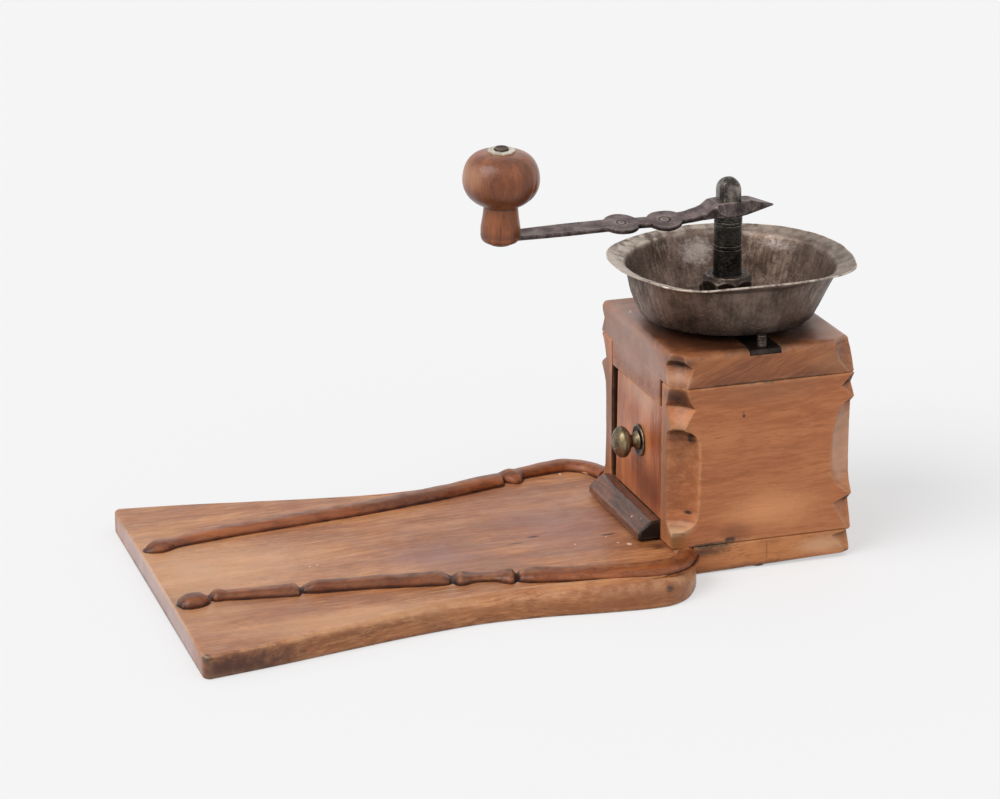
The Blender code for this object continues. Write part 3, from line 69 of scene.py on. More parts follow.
Keys = tuple[tuple[float, ...], ...]
Colour = tuple[float, float, float, float]
Material = bpy.types.Material
Mesh = bpy.types.Mesh
Socket = bpy.types.NodeSocket
Source = Socket | float | tuple

LOG = logging.getLogger("coffee_grinder")
MM = 0.001
WELD = 2e-6
WAVES = 8


def clear_startup() -> None:
    """Remove what Blender's startup file holds."""
    for obj in list(bpy.data.objects):
        bpy.data.objects.remove(obj, do_unlink=True)


clear_startup()
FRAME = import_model()


class Body(Enum):
    """The bodies that pieces ride on."""

    MILL = "mill"
    CRANK = "crank"
    KNOB = "knob"
    DRAWER = "drawer"


class Grain(Enum):
    """Which way the wood's grain runs, as the turn that lays it along X."""

    ALONG_X = (0.0, 0.0, 0.0)
    ALONG_Y = (0.0, 0.0, -math.pi / 2)
    ALONG_Z = (0.0, math.pi / 2, 0.0)


# ---------------------------------------------------------------- numbers


def smooth_step(low: float, high: float, value: Array | float) -> Array:
    """Rise from 0 at low to 1 at high with level ends: t squared times 3 minus 2t."""
    share = np.clip((np.asarray(value, float) - low) / (high - low), 0.0, 1.0)
    return share * share * (3.0 - 2.0 * share)


def hump(value: Array | float, centre: float, reach: float) -> Array:
    """A smooth bump of height 1, e to the minus of the squared distance over reach."""
    return np.exp(-(((np.asarray(value, float) - centre) / reach) ** 2))


def smooth_curve(keys: Sequence[Sequence[float]], at: Array) -> Array:
    """Read a smooth curve through keys, by cubic Hermite steps with averaged slopes.

    Args:
        keys: rows of a position and its values, in rising order of position.
        at: the positions to read.

    Returns:
        One row of values for each position.
    """
    table = np.asarray(keys, float)
    spot, value = table[:, 0], table[:, 1:]
    slope = np.gradient(value, spot, axis=0)
    step = np.diff(value, axis=0) / np.diff(spot)[:, None]
    turns = np.zeros(value.shape, bool)
    turns[1:-1] = step[:-1] * step[1:] <= 0
    slope[turns] = 0.0
    at = np.clip(at, spot[0], spot[-1])
    cell = np.clip(np.searchsorted(spot, at, side="right") - 1, 0, len(spot) - 2)
    gap = (spot[cell + 1] - spot[cell])[:, None]
    t = (at - spot[cell])[:, None] / gap
    return (value[cell] * (1 + 2 * t) * (1 - t) ** 2 + slope[cell] * gap * t * (1 - t) ** 2
            + value[cell + 1] * t * t * (3 - 2 * t) + slope[cell + 1] * gap * t * t * (t - 1))


def ripple(points: Array, wavelength: float, seed: int) -> Array:
    """Irregular waves from about -1 to 1: a mean of sines that run in random directions."""
    draw = np.random.default_rng(seed)
    heading = draw.normal(size=(WAVES, 3))
    heading /= np.linalg.norm(heading, axis=1, keepdims=True)
    pace = 2 * math.pi / wavelength * draw.uniform(0.6, 1.6, WAVES)
    phase = draw.uniform(0, 2 * math.pi, WAVES)
    return np.sin(points @ (heading * pace[:, None]).T + phase).mean(axis=-1) * 1.8


def spaced(count: int, crowding: float = 2.0) -> Array:
    """Shares from 0 to 1 that crowd towards both ends, as a sine does."""
    t = np.linspace(-1.0, 1.0, count)
    return (np.sign(t) * (1 - (1 - np.abs(t)) ** crowding) + 1) / 2


def run_length(points: Array) -> Array:
    """How far along a line of points each of them lies."""
    return np.concatenate([[0], np.cumsum(np.linalg.norm(np.diff(points, axis=0), axis=1))])


def evenly(points: Array, count: int) -> Array:
    """A plane line of points, read again at even steps along its length."""
    length = run_length(points)
    even = np.linspace(0, length[-1], count)
    return np.stack([np.interp(even, length, points[:, i]) for i in range(2)], axis=-1)


def turned_grid(radius: Array, level: Array, steps: int, centre: tuple[float, float] = (0, 0)) -> Array:
    """Carry an outline of radii and levels round Z: x and y are radius times cos and sin."""
    swing = np.linspace(0, 2 * math.pi, steps, endpoint=False)
    radius = np.broadcast_to(np.asarray(radius, float).reshape(len(level), -1), (len(level), steps))
    grid = np.empty((len(level), steps, 3))
    grid[..., 0] = centre[0] + radius * np.cos(swing)
    grid[..., 1] = centre[1] + radius * np.sin(swing)
    grid[..., 2] = np.asarray(level, float)[:, None]
    return grid


def rounded_outline(corners: Sequence[Sequence[float]], radii: Sequence[float], steps: int,
                    spacing: float) -> Array:
    """A closed outline whose corners are quadratic arcs and whose sides have even points.

    Args:
        corners: the outline's corners, two numbers each.
        radii: how far each corner's arc reaches along its two sides.
        steps: points on each arc.
        spacing: the widest step along a side.

    Returns:
        The outline's points, without a repeat at its end.
    """
    corners = np.asarray(corners, float)
    parts = []
    for i, corner in enumerate(corners):
        to_last = corners[i - 1] - corner
        to_next = corners[(i + 1) % len(corners)] - corner
        start = corner + to_last / np.linalg.norm(to_last) * radii[i]
        stop = corner + to_next / np.linalg.norm(to_next) * radii[i]
        t = np.linspace(0, 1, steps)[:, None]
        parts.append(start * (1 - t) ** 2 + corner * 2 * t * (1 - t) + stop * t * t)
        following = corners[(i + 1) % len(corners)]
        side_end = following - to_next / np.linalg.norm(to_next) * radii[(i + 1) % len(corners)]
        count = max(int(np.linalg.norm(side_end - stop) / spacing), 1)
        t = np.linspace(0, 1, count + 1)[1:-1, None]
        parts.append(stop * (1 - t) + side_end * t)
    return np.concatenate(parts)


def rectangle(half_x: float, half_y: float) -> list[tuple[float, float]]:
    """The corners of a rectangle about the origin."""
    return [(-half_x, -half_y), (half_x, -half_y), (half_x, half_y), (-half_x, half_y)]


def stacked(plan: Array, rows: Sequence[tuple[float, float]]) -> Array:
    """A plan carried up Z: each row is a level and the plan's scale there."""
    return np.array([np.column_stack([plan * scale, np.full(len(plan), level)])
                     for level, scale in rows])


# ---------------------------------------------------------------- meshes


class Skin:
    """Grids of points that together make the surface of one piece."""

    def __init__(self) -> None:
        """Start with no points."""
        self.points: list[Array] = []
        self.quads: list[Array] = []
        self.marks: list[Array] = []
        self.count = 0

    def sheet(self, grid: Array, around: bool = False, mark: Array | float = 0.0) -> None:
        """Add a grid of points as faces.

        Args:
            grid: points by row and column.
            around: whether the last column joins the first.
            mark: how dark each point is, up to 1, from soiling and painted shade, or how pale, down to
                -1, from worn places and painted light.
        """
        rows, columns = grid.shape[:2]
        index = np.arange(rows * columns).reshape(rows, columns) + self.count
        if around:
            index = np.concatenate([index, index[:, :1]], axis=1)
        quads = np.stack([index[:-1, :-1], index[:-1, 1:], index[1:, 1:], index[1:, :-1]], axis=-1)
        self.points.append(grid.reshape(-1, 3))
        self.quads.append(quads.reshape(-1, 4))
        self.marks.append(np.broadcast_to(np.asarray(mark, float), (rows, columns)).ravel())
        self.count += rows * columns

    def lid(self, ring: Array, steps: int = 4) -> None:
        """Close a ring with rings that shrink to its middle, closest together at its edge."""
        share = (np.linspace(0, 1, steps + 1) ** 1.7)[:, None, None]
        self.sheet(ring[None] * (1 - share) + ring.mean(axis=0) * share, around=True)

    def tube(self, grid: Array, steps: int = 4, mark: Array | float = 0.0) -> None:
        """Add a grid that closes round its columns, with a lid on its first and last row."""
        self.sheet(grid, around=True, mark=mark)
        self.lid(grid[0], steps)
        self.lid(grid[-1], steps)

    def mesh(self, name: str) -> Mesh:
        """Make the mesh, with its seams and poles welded and its faces outwards."""
        made = bpy.data.meshes.new(name)
        made.from_pydata(np.concatenate(self.points).tolist(), [],
                         np.concatenate(self.quads).tolist())
        made.attributes.new("mark", "FLOAT", "POINT").data.foreach_set(
            "value", np.concatenate(self.marks).astype(np.float32))
        bm = bmesh.new()
        bm.from_mesh(made)
        bmesh.ops.remove_doubles(bm, verts=bm.verts, dist=WELD)
        bmesh.ops.dissolve_degenerate(bm, edges=bm.edges, dist=WELD)
        bmesh.ops.recalc_face_normals(bm, faces=bm.faces)
        bm.to_mesh(made)
        bm.free()
        return made


def new_object(name: str, data: bpy.types.ID) -> bpy.types.Object:
    """Make an object of some data and link it into the scene."""
    made = bpy.data.objects.new(name, data)
    bpy.context.scene.collection.objects.link(made)
    return made


def cut_from(mesh: Mesh, cutters: Sequence[Mesh]) -> Mesh:
    """Cut solids from a mesh with exact Booleans, and return the mesh that is left."""
    target = new_object(mesh.name, mesh)
    helpers = [new_object(cutter.name, cutter) for cutter in cutters]
    for helper in helpers:
        boolean = target.modifiers.new(helper.name, "BOOLEAN")
        boolean.operation = "DIFFERENCE"
        boolean.solver = "EXACT"
        boolean.object = helper
    bpy.context.view_layer.update()
    graph = bpy.context.evaluated_depsgraph_get()
    left = bpy.data.meshes.new_from_object(target.evaluated_get(graph))
    left.name = mesh.name
    for obj in [target, *helpers]:
        bpy.data.objects.remove(obj, do_unlink=True)
    return left


def box_mesh(name: str, low: Point, high: Point) -> Mesh:
    """A plain box between two corners, for cutting."""
    bm = bmesh.new()
    size = Vector(high) - Vector(low)
    middle = (Vector(high) + Vector(low)) / 2
    bmesh.ops.create_cube(bm, size=1, matrix=Matrix.Translation(middle) @ Matrix.Diagonal((*size, 1)))
    made = bpy.data.meshes.new(name)
    bm.to_mesh(made)
    bm.free()
    return made


def drum_mesh(name: str, radius: float, low: float, high: float, centre: tuple[float, float],
              steps: int = 48) -> Mesh:
    """A plain upright cylinder between two levels, for cutting."""
    skin = Skin()
    skin.tube(turned_grid(np.array([radius, radius]), np.array([low, high]), steps, centre), 1)
    return skin.mesh(name)


def edge_masks(mesh: Mesh, passes: int) -> tuple[Array, Array]:
    """Find how sharply the surface bends at each vertex.

    The bend along an edge is the neighbour's height over the tangent plane, divided by the
    edge's squared length; the mean over a vertex's edges is averaged with its neighbours.

    Args:
        mesh: the mesh to read.
        passes: how many times the values are averaged with those next to them.

    Returns:
        A pale mask, high on outward edges, and a dark mask, high in inward corners, both from 0 to 1.
        The dark mask is soiling and painted shade, standing in for occlusion.
    """
    count = len(mesh.vertices)
    place, normal = np.empty(count * 3), np.empty(count * 3)
    mesh.vertices.foreach_get("co", place)
    mesh.vertex_normals.foreach_get("vector", normal)
    place, normal = place.reshape(-1, 3), normal.reshape(-1, 3)
    pairs = np.empty(len(mesh.edges) * 2, np.int32)
    mesh.edges.foreach_get("vertices", pairs)
    first, second = pairs.reshape(-1, 2).T
    step = place[second] - place[first]
    squared = np.maximum((step ** 2).sum(axis=1), (0.35 * MM) ** 2)
    lift = (step * normal[first]).sum(axis=1) / squared, -(step * normal[second]).sum(axis=1) / squared
    share = np.maximum(np.bincount(first, minlength=count) + np.bincount(second, minlength=count), 1)
    bend = (np.bincount(first, lift[0], count) + np.bincount(second, lift[1], count)) / share * MM
    bend = np.clip(bend * 3.0, -1.0, 1.0)
    for _ in range(passes):
        near = np.bincount(first, bend[second], count) + np.bincount(second, bend[first], count)
        bend = bend * 0.5 + near / share * 0.5
    return np.clip(-bend * 1.6, 0, 1), np.clip(bend * 1.6, 0, 1)


def finish_mesh(mesh: Mesh, sharp: float, passes: int) -> None:
    """Shade a mesh smooth up to an angle in degrees, and write its pale edge mask and its dark corner
    mask, which is soiling and painted shade.
    """
    mesh.shade_smooth()
    mesh.set_sharp_from_angle(angle=math.radians(sharp))
    mark = np.zeros(len(mesh.vertices), np.float32)
    if "mark" in mesh.attributes:
        mesh.attributes["mark"].data.foreach_get("value", mark)
    wear, grime = edge_masks(mesh, passes)
    # Marks above 0 join the dark mask, as soiling and at some pieces painted shade; marks below 0 join
    # the pale mask, as worn places and at some pieces painted light.
    shown = {"wear": wear + np.maximum(-mark, 0), "grime": grime + np.maximum(mark, 0)}
    for label, values in shown.items():
        mesh.attributes.new(label, "FLOAT", "POINT").data.foreach_set(
            "value", np.clip(values, 0, 1).astype(np.float32))


def add_piece(mesh: Mesh, finish: Material, body: Body,
              stands_for: Sequence[str] = (), sharp: float = 40.0, passes: int = 2) -> bpy.types.Object:
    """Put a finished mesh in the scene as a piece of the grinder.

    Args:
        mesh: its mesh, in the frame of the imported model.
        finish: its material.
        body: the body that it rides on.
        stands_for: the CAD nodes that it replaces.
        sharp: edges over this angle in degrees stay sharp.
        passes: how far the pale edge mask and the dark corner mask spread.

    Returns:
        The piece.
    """
    finish_mesh(mesh, sharp, passes)
    mesh.materials.clear()
    mesh.materials.append(finish)
    piece = new_object(mesh.name, mesh)
    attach(piece, body.value)
    if stands_for:
        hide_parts(*stands_for)
    LOG.info("%s: %d faces on %s", piece.name, len(mesh.polygons), body.value)
    return piece


# ---------------------------------------------------------------- nodes


def tint(code: str) -> Colour:
    """A colour written as six hex digits, made linear."""
    parts = [int(code[i:i + 2], 16) / 255 for i in (0, 2, 4)]
    linear = [c / 12.92 if c <= 0.04045 else ((c + 0.055) / 1.055) ** 2.4 for c in parts]
    return (*linear, 1.0)


class Recipe:
    """A node tree, with short ways to add nodes and to join their sockets."""

    def __init__(self, tree: bpy.types.NodeTree) -> None:
        """Work on a tree."""
        self.tree = tree

    def feed(self, socket: Socket, value: Source) -> None:
        """Link a socket to another, or set its constant."""
        if isinstance(value, Socket):
            self.tree.links.new(value, socket)
        else:
            socket.default_value = value

    def node(self, kind: str, inputs: dict[str | int, Source] | None = None,
             **settings: object) -> bpy.types.Node:
        """Add a node.

        Args:
            kind: the node's type after ShaderNode.
            inputs: values or sockets by input name or number.
            settings: the node's own settings.

        Returns:
            The node.
        """
        made = self.tree.nodes.new("ShaderNode" + kind)
        for label, value in settings.items():
            setattr(made, label, value)
        for label, value in (inputs or {}).items():
            self.feed(made.inputs[label], value)
        return made

    def maths(self, operation: str, a: Source, b: Source = 0.0, clamp: bool = False) -> Socket:
        """Work out one number from two."""
        return self.node("Math", {0: a, 1: b}, operation=operation, use_clamp=clamp).outputs[0]

    def vector(self, operation: str, a: Source, b: Source = (0.0, 0.0, 0.0)) -> Socket:
        """Work out one vector from two, or its length."""
        made = self.node("VectorMath", {0: a, 1: b}, operation=operation)
        return made.outputs["Value" if operation == "LENGTH" else "Vector"]

    def blend(self, share: Source, a: Source, b: Source) -> Socket:
        """Mix two colours by a share."""
        made = self.node("Mix", data_type="RGBA")
        for label, value in ((0, share), (6, a), (7, b)):
            self.feed(made.inputs[label], value)
        return made.outputs[2]

    def spread(self, value: Source, low: float, high: float, to_low: float = 0.0,
               to_high: float = 1.0) -> Socket:
        """Take a value from one range smoothly to another, clamped at its ends."""
        return self.node("MapRange", {"Value": value, "From Min": low, "From Max": high,
                                      "To Min": to_low, "To Max": to_high},
                         interpolation_type="SMOOTHSTEP").outputs[0]

    def noise(self, vector: Source, scale: Source, detail: float = 4.0, rough: float = 0.5,
              bend: float = 0.0) -> Socket:
        """Read a noise texture's value."""
        return self.node("TexNoise", {"Vector": vector, "Scale": scale, "Detail": detail,
                                      "Roughness": rough, "Distortion": bend}).outputs[0]

    def place(self) -> Socket:
        """The object's own coordinates."""
        return self.node("TexCoord").outputs["Object"]

    def laid(self, vector: Source, turn: Point = (0, 0, 0), scale: Point = (1, 1, 1)) -> Socket:
        """Turn and stretch coordinates."""
        return self.node("Mapping", {"Vector": vector, "Rotation": turn, "Scale": scale}).outputs[0]

    def ramp(self, value: Source, stops: Sequence[tuple[float, Colour]]) -> Socket:
        """Read a row of colours by a value from 0 to 1."""
        made = self.node("ValToRGB", {0: value})
        line = made.color_ramp.elements
        while len(line) < len(stops):
            line.new(0.5)
        for element, (spot, colour) in zip(line, stops):
            element.position = spot
            element.color = colour
        return made.outputs[0]

    def group(self, effect: "Effect", inputs: dict[str, Source]) -> bpy.types.Node:
        """Place an effect in this tree."""
        made = self.tree.nodes.new("ShaderNodeGroup")
        made.node_tree = effect.tree
        for label, value in inputs.items():
            self.feed(made.inputs[label], value)
        return made


class Effect(Recipe):
    """A shader effect that several materials use, as a node group."""

    def __init__(self, name: str, inputs: dict[str, float | Point | Colour],
                 outputs: dict[str, str]) -> None:
        """Make an empty group.

        Args:
            name: the group's name.
            inputs: each input's default, a number, a vector of three or a colour of four.
            outputs: each output's kind, Float, Color or Vector.
        """
        super().__init__(bpy.data.node_groups.new(name, "ShaderNodeTree"))
        for label, value in inputs.items():
            size = len(value) if isinstance(value, tuple) else 1
            kind = {1: "Float", 3: "Vector", 4: "Color"}[size]
            made = self.tree.interface.new_socket(label, in_out="INPUT",
                                                  socket_type="NodeSocket" + kind)
            made.default_value = value
        for label, kind in outputs.items():
            self.tree.interface.new_socket(label, in_out="OUTPUT", socket_type="NodeSocket" + kind)
        self.given = self.tree.nodes.new("NodeGroupInput").outputs
        self.result = self.tree.nodes.new("NodeGroupOutput").inputs

    def put(self, label: str, value: Source) -> None:
        """Join a value to one of the group's outputs."""
        self.tree.links.new(value, self.result[label])


def wood_figure() -> Effect:
    """Grain that runs along X: broad bands, fine fibres and short dark pores."""
    made = Effect("wood_figure", {"Vector": (0.0, 0.0, 0.0), "Band": 1.0, "Fibre": 1.0},
                  {"Tone": "Float", "Fibre": "Float", "Pore": "Float", "Height": "Float"})
    given = made.given["Vector"]
    wander = made.node("TexNoise", {"Vector": made.laid(given, scale=(11.0, 16.0, 16.0)), "Scale": 1.0,
                                    "Detail": 2.0}).outputs["Color"]
    bent = made.vector("ADD", given, made.vector(
        "MULTIPLY", made.vector("SUBTRACT", wander, (0.5, 0.5, 0.5)), (0.0, 0.016, 0.016)))
    band = made.noise(made.laid(bent, scale=(9.0, 60.0, 60.0)), made.given["Band"], 5.0, 0.62, 0.5)
    fine = made.noise(made.laid(bent, scale=(75.0, 900.0, 900.0)), made.given["Fibre"], 3.0, 0.65)
    line = made.noise(made.laid(bent, scale=(26.0, 330.0, 330.0)), made.given["Fibre"], 3.0, 0.6)
    pore = made.noise(made.laid(bent, scale=(210.0, 1500.0, 1500.0)), made.given["Fibre"], 1.0, 0.5)
    where = made.noise(made.laid(given, scale=(40.0, 70.0, 70.0)), 1.0, 3.0, 0.6)
    fibre = made.maths("ADD", made.maths("MULTIPLY", fine, 0.5), made.maths("MULTIPLY", line, 0.5))
    pore = made.maths("MULTIPLY", made.spread(pore, 0.56, 0.66), made.spread(where, 0.38, 0.62))
    made.put("Tone", made.spread(band, 0.3, 0.7))
    made.put("Fibre", made.spread(fibre, 0.36, 0.64))
    made.put("Pore", pore)
    made.put("Height", made.maths("SUBTRACT", fibre, made.maths("MULTIPLY", pore, 0.6)))
    return made


def edge_wear_and_shading() -> Effect:
    """Colour made paler on outward edges, by worn places and painted light, and darker in corners, by
    soiling and painted shade, from the piece's attributes.
    """
    made = Effect("edge_wear_and_shading", {"Vector": (0.0, 0.0, 0.0), "Colour": (0.5, 0.5, 0.5, 1.0),
                                "RubbedAndLit": (0.5, 0.5, 0.5, 1.0), "DirtAndShade": (0.0, 0.0, 0.0, 1.0),
                                "WearAndLight": 0.5, "GrimeAndShade": 0.8},
                  {"Colour": "Color", "WornAndLit": "Float", "Darkening": "Float"})
    patch = made.noise(made.given["Vector"], 140.0, 4.0, 0.65)
    # The pale mask is worn places with painted light; the dark mask below is soiling with painted shade.
    worn = made.node("Attribute", attribute_name="wear").outputs["Fac"]
    darkening = made.node("Attribute", attribute_name="grime").outputs["Fac"]
    worn = made.maths("MULTIPLY", worn, made.spread(patch, 0.36, 0.62, 0.15, 1.3))
    worn = made.maths("MULTIPLY", worn, made.given["WearAndLight"], clamp=True)
    darkening = made.maths("MULTIPLY", darkening, made.spread(patch, 0.3, 0.6, 1.3, 0.7))
    darkening = made.maths("MULTIPLY", darkening, made.given["GrimeAndShade"], clamp=True)
    shade = made.blend(worn, made.given["Colour"], made.given["RubbedAndLit"])
    made.put("Colour", made.blend(darkening, shade, made.given["DirtAndShade"]))
    made.put("WornAndLit", worn)
    made.put("Darkening", darkening)
    return made


def soft_spot() -> Effect:
    """A spot about a point, for stains and for painted highlights and shade: 1 inside an ellipsoid and 0
    outside, with a ragged edge.
    """
    made = Effect("soft_spot", {"Vector": (0.0, 0.0, 0.0), "Centre": (0.0, 0.0, 0.0),
                                "Reach": (1.0, 1.0, 1.0), "Ragged": 0.3, "Soft": 0.6},
                  {"Mask": "Float"})
    off = made.vector("SUBTRACT", made.given["Vector"], made.given["Centre"])
    far = made.vector("LENGTH", made.vector("DIVIDE", off, made.given["Reach"]))
    torn = made.maths("SUBTRACT", made.noise(made.given["Vector"], 260.0, 3.0, 0.6), 0.5)
    far = made.maths("ADD", far, made.maths("MULTIPLY", torn, made.given["Ragged"]))
    inner = made.maths("SUBTRACT", 1.0, made.given["Soft"])
    mask = made.node("MapRange", {"Value": far, "From Min": 1.0, "From Max": inner},
                     interpolation_type="SMOOTHSTEP").outputs[0]
    made.put("Mask", mask)
    return made


def pitting() -> Effect:
    """Forged or rusted iron: shallow pits, hammered unevenness and mottling."""
    made = Effect("pitting", {"Vector": (0.0, 0.0, 0.0), "Scale": 1.0},
                  {"Mottle": "Float", "Pit": "Float", "Height": "Float"})
    vector = made.node("VectorMath", {0: made.given["Vector"], "Scale": made.given["Scale"]},
                       operation="SCALE").outputs["Vector"]
    mottle = made.noise(vector, 120.0, 6.0, 0.65)
    broad = made.noise(vector, 45.0, 3.0, 0.5)
    grit = made.noise(vector, 700.0, 3.0, 0.6)
    pit = made.spread(grit, 0.36, 0.52, 1.0, 0.0)
    made.put("Mottle", made.spread(mottle, 0.32, 0.68))
    made.put("Pit", pit)
    height = made.maths("ADD", made.maths("MULTIPLY", broad, 1.2), made.maths("MULTIPLY", mottle, 0.7))
    made.put("Height", made.maths("SUBTRACT", height, made.maths("MULTIPLY", pit, 0.35)))
    return made


def wall_streaks() -> Effect:
    """Streaks down a wall of revolution about Z, read by direction from the axis and level."""
    made = Effect("wall_streaks", {"Vector": (0.0, 0.0, 0.0), "Fine": 40.0, "Drop": 9.0},
                  {"Streak": "Float", "Broad": "Float"})
    heading = made.vector("NORMALIZE", made.vector("MULTIPLY", made.given["Vector"], (1.0, 1.0, 0.0)))
    level = made.node("SeparateXYZ", {0: made.given["Vector"]}).outputs["Z"]
    drop = made.node("CombineXYZ", {"Z": made.maths("MULTIPLY", level, made.given["Drop"])}).outputs[0]
    around = made.vector("ADD", heading, drop)
    made.put("Streak", made.spread(made.noise(around, made.given["Fine"], 4.0, 0.6), 0.3, 0.7))
    made.put("Broad", made.spread(made.noise(around, 2.2, 3.0, 0.5), 0.32, 0.68))
    return made


class Effects:
    """The effects that materials share, each built once."""

    def __init__(self) -> None:
        """Build every group."""
        self.figure = wood_figure()
        self.wear = edge_wear_and_shading()
        self.spot = soft_spot()
        self.pitting = pitting()
        self.streaks = wall_streaks()


EFFECTS = Effects()


# ---------------------------------------------------------------- finishes


@dataclass(frozen=True)
class Spot:
    """A stain, scratch, chip, painted highlight or painted shade at a place on a piece, in millimetres.
    """

    centre: Point
    reach: Point
    colour: str
    share: float = 0.7
    soft: float = 0.6
    ragged: float = 0.3


BOARD_SPOTS = (
    # Painted sheen on the tip's end grain; the next spot darkens that end towards its foot.
    Spot((-346.8, 0, 6), (3, 140, 16), "B49E9C", share=0.72, soft=0.4),
    Spot((-346.5, 0, -1), (3, 130, 6), "5E4440", share=0.6, ragged=0.5),
    Spot((-335, 0, 13.5), (55, 130, 3), "DCAC80", share=0.35, soft=0.9),
    Spot((-295, 5, 14), (75, 60, 4), "DCA880", share=0.5, soft=0.9, ragged=0.5),
    Spot((-250, -95, 14.5), (110, 22, 4), "DCA478", share=0.5, soft=0.8),
    Spot((-188, -20, 15.5), (60, 35, 3), "8E6868", share=0.5, soft=0.9, ragged=0.5),
    Spot((-105, 0, 16), (60, 70, 3), "90625A", share=0.6, soft=0.9, ragged=0.4),
    Spot((-95, -108, 10), (110, 22, 14), "804420", share=0.9, soft=0.9),
    Spot((-190, -126, 4), (50, 16, 13), "E4A074", share=0.55, soft=0.9),
    Spot((-98, -106, 15), (70, 10, 5), "74360C", share=0.65, soft=0.9),
    Spot((-300, -124, 4), (88, 16, 15), "46241E", share=0.9, soft=0.5, ragged=0.6),
    Spot((-315.5, -121.5, 8.5), (4, 3, 2.6), "35211C", share=0.8, ragged=0.6),
    Spot((-319.5, -121.5, 3.5), (3, 3, 2.2), "35211C", share=0.8, ragged=0.6),
    Spot((-345, -119, 12), (5, 5, 4), "2B1B17", share=0.9, ragged=0.8),
    Spot((-71.2, -103.5, 11), (4.4, 7, 3.6), "2C1A16", share=0.95, soft=0.5),
    Spot((-74.5, -40.3, 16), (1.8, 2.6, 3), "E8C4B0", share=0.9, soft=0.5),
    Spot((-79.9, -36, 16), (1, 1.6, 3), "E0B8A0", share=0.8, soft=0.5),
    Spot((-83.2, -24.6, 16), (0.8, 1.2, 3), "E0B8A0", share=0.8, soft=0.5),
    Spot((-104.1, -29.5, 16), (0.9, 1.2, 3), "E0B8A0", share=0.8, soft=0.5),
    Spot((-258.5, -10.8, 15), (0.9, 1.4, 3), "E8C8A8", share=0.8, soft=0.5),
    Spot((-253.8, -9.9, 15), (0.8, 1, 3), "E8C8A8", share=0.8, soft=0.5),
    Spot((-73.9, 85.5, 17), (1.2, 1.8, 3), "E8D0BC", share=0.9, soft=0.5),
    Spot((-123, -9.4, 15.5), (6, 1.8, 4), "2C1A16", share=0.95, soft=0.7),
    Spot((-136, -16, 15.5), (7, 1.6, 4), "4A2E28", share=0.8, soft=0.7),
    Spot((-81, -21.5, 15.5), (6.6, 1.8, 4), "2C1A16", share=0.95, soft=0.7),
    Spot((-60, -50, 16.5), (8, 8, 4), "3E241C", soft=0.9, ragged=0.6),
)

SIDE_SPOTS = (
    # A greenish tint over the long scoop: its own colour, darkened with painted shade.
    Spot((-60, -66, 57), (21.8, 17.8, 58), "80643C", share=0.62, soft=0.3, ragged=0.05),
    # Painted light: paler at the long scoop's lower end, which faces up.
    Spot((-60, -66, 29.5), (22.2, 18, 7), "E6BE98", share=0.5, soft=0.5, ragged=0.1),
    Spot((-44.5, -56, 37.2), (3.4, 4, 1.6), "2E1C14", share=0.95),
    # Painted shade under the notch's overhang, where the cut faces down.
    Spot((-51, -54, 107.8), (13, 12, 6.2), "3E261D"),
    Spot((-12.8, -61.2, 94.3), (1.4, 4, 1.4), "3E221A", share=0.85),
    Spot((-13.2, -61.2, 96.2), (1.2, 4, 2), "7E4A34", share=0.5, ragged=0.6),
    # Painted shade on the two panels' front faces, this spot and the next.
    Spot((-57, 52, 65), (2.4, 12, 64), "7A5644", share=0.75, soft=0.4, ragged=0.1),
    Spot((-57, -50, 65), (2.4, 10, 64), "84604A", soft=0.4, ragged=0.1),
    Spot((-20.1, -61.2, 19.2), (4.8, 4, 3), "2E1812", share=0.95, ragged=0.8),
    Spot((-16, -61.2, 24), (16, 4, 8), "6E3A26", share=0.6, soft=0.9, ragged=0.6),
    Spot((-30, -61.2, 17.8), (21, 4, 1.7), "22130E", share=0.95, ragged=0.9),
    Spot((2.2, -61.2, 113), (4, 4, 1.3), "22130E", share=0.95, ragged=0.8),
    Spot((-8, -61.2, 113.2), (3, 4, 0.9), "22130E", share=0.9, ragged=0.8),
    Spot((0, -61.2, 108), (60, 4, 12), "8E5E44", share=0.45, soft=0.9),
    Spot((5, -61.2, 35), (42, 4, 17), "ECA470", share=0.6, soft=0.9),
    Spot((50, -56, 70), (11, 7.5, 30), "DCB094", share=0.6, soft=0.4),
    # Painted shadow on the far panel's inner face.
    Spot((-50, 41.2, 65), (11, 2.4, 62), "1A110C", share=0.95, soft=0.25, ragged=0.05),
    # Painted shade in the gap beside the drawer's top.
    Spot((-56.3, -41.7, 107), (3, 1.4, 6.4), "100A08", share=1, soft=0.3, ragged=0.1),
)

BASE_SPOTS = (
    Spot((-35, -61.2, 13.5), (22, 4, 5), "3A241B", share=0.75, soft=0.9, ragged=1),
    Spot((3, -61.2, 10), (0.8, 4, 10), "8A5238", share=0.6, soft=0.8),
    # Painted contact shadow along the base's lower edge.
    Spot((0, -60, 0.4), (80, 6, 4.4), "3E241C", share=0.85, soft=0.8, ragged=0.4),
    Spot((-30, -61.2, 16.6), (20, 4, 1.4), "22130E", share=0.9, ragged=0.9),
    Spot((38, -61.2, 9.5), (24, 4, 8), "DDB08C", share=0.6, soft=0.9, ragged=0.4),
)

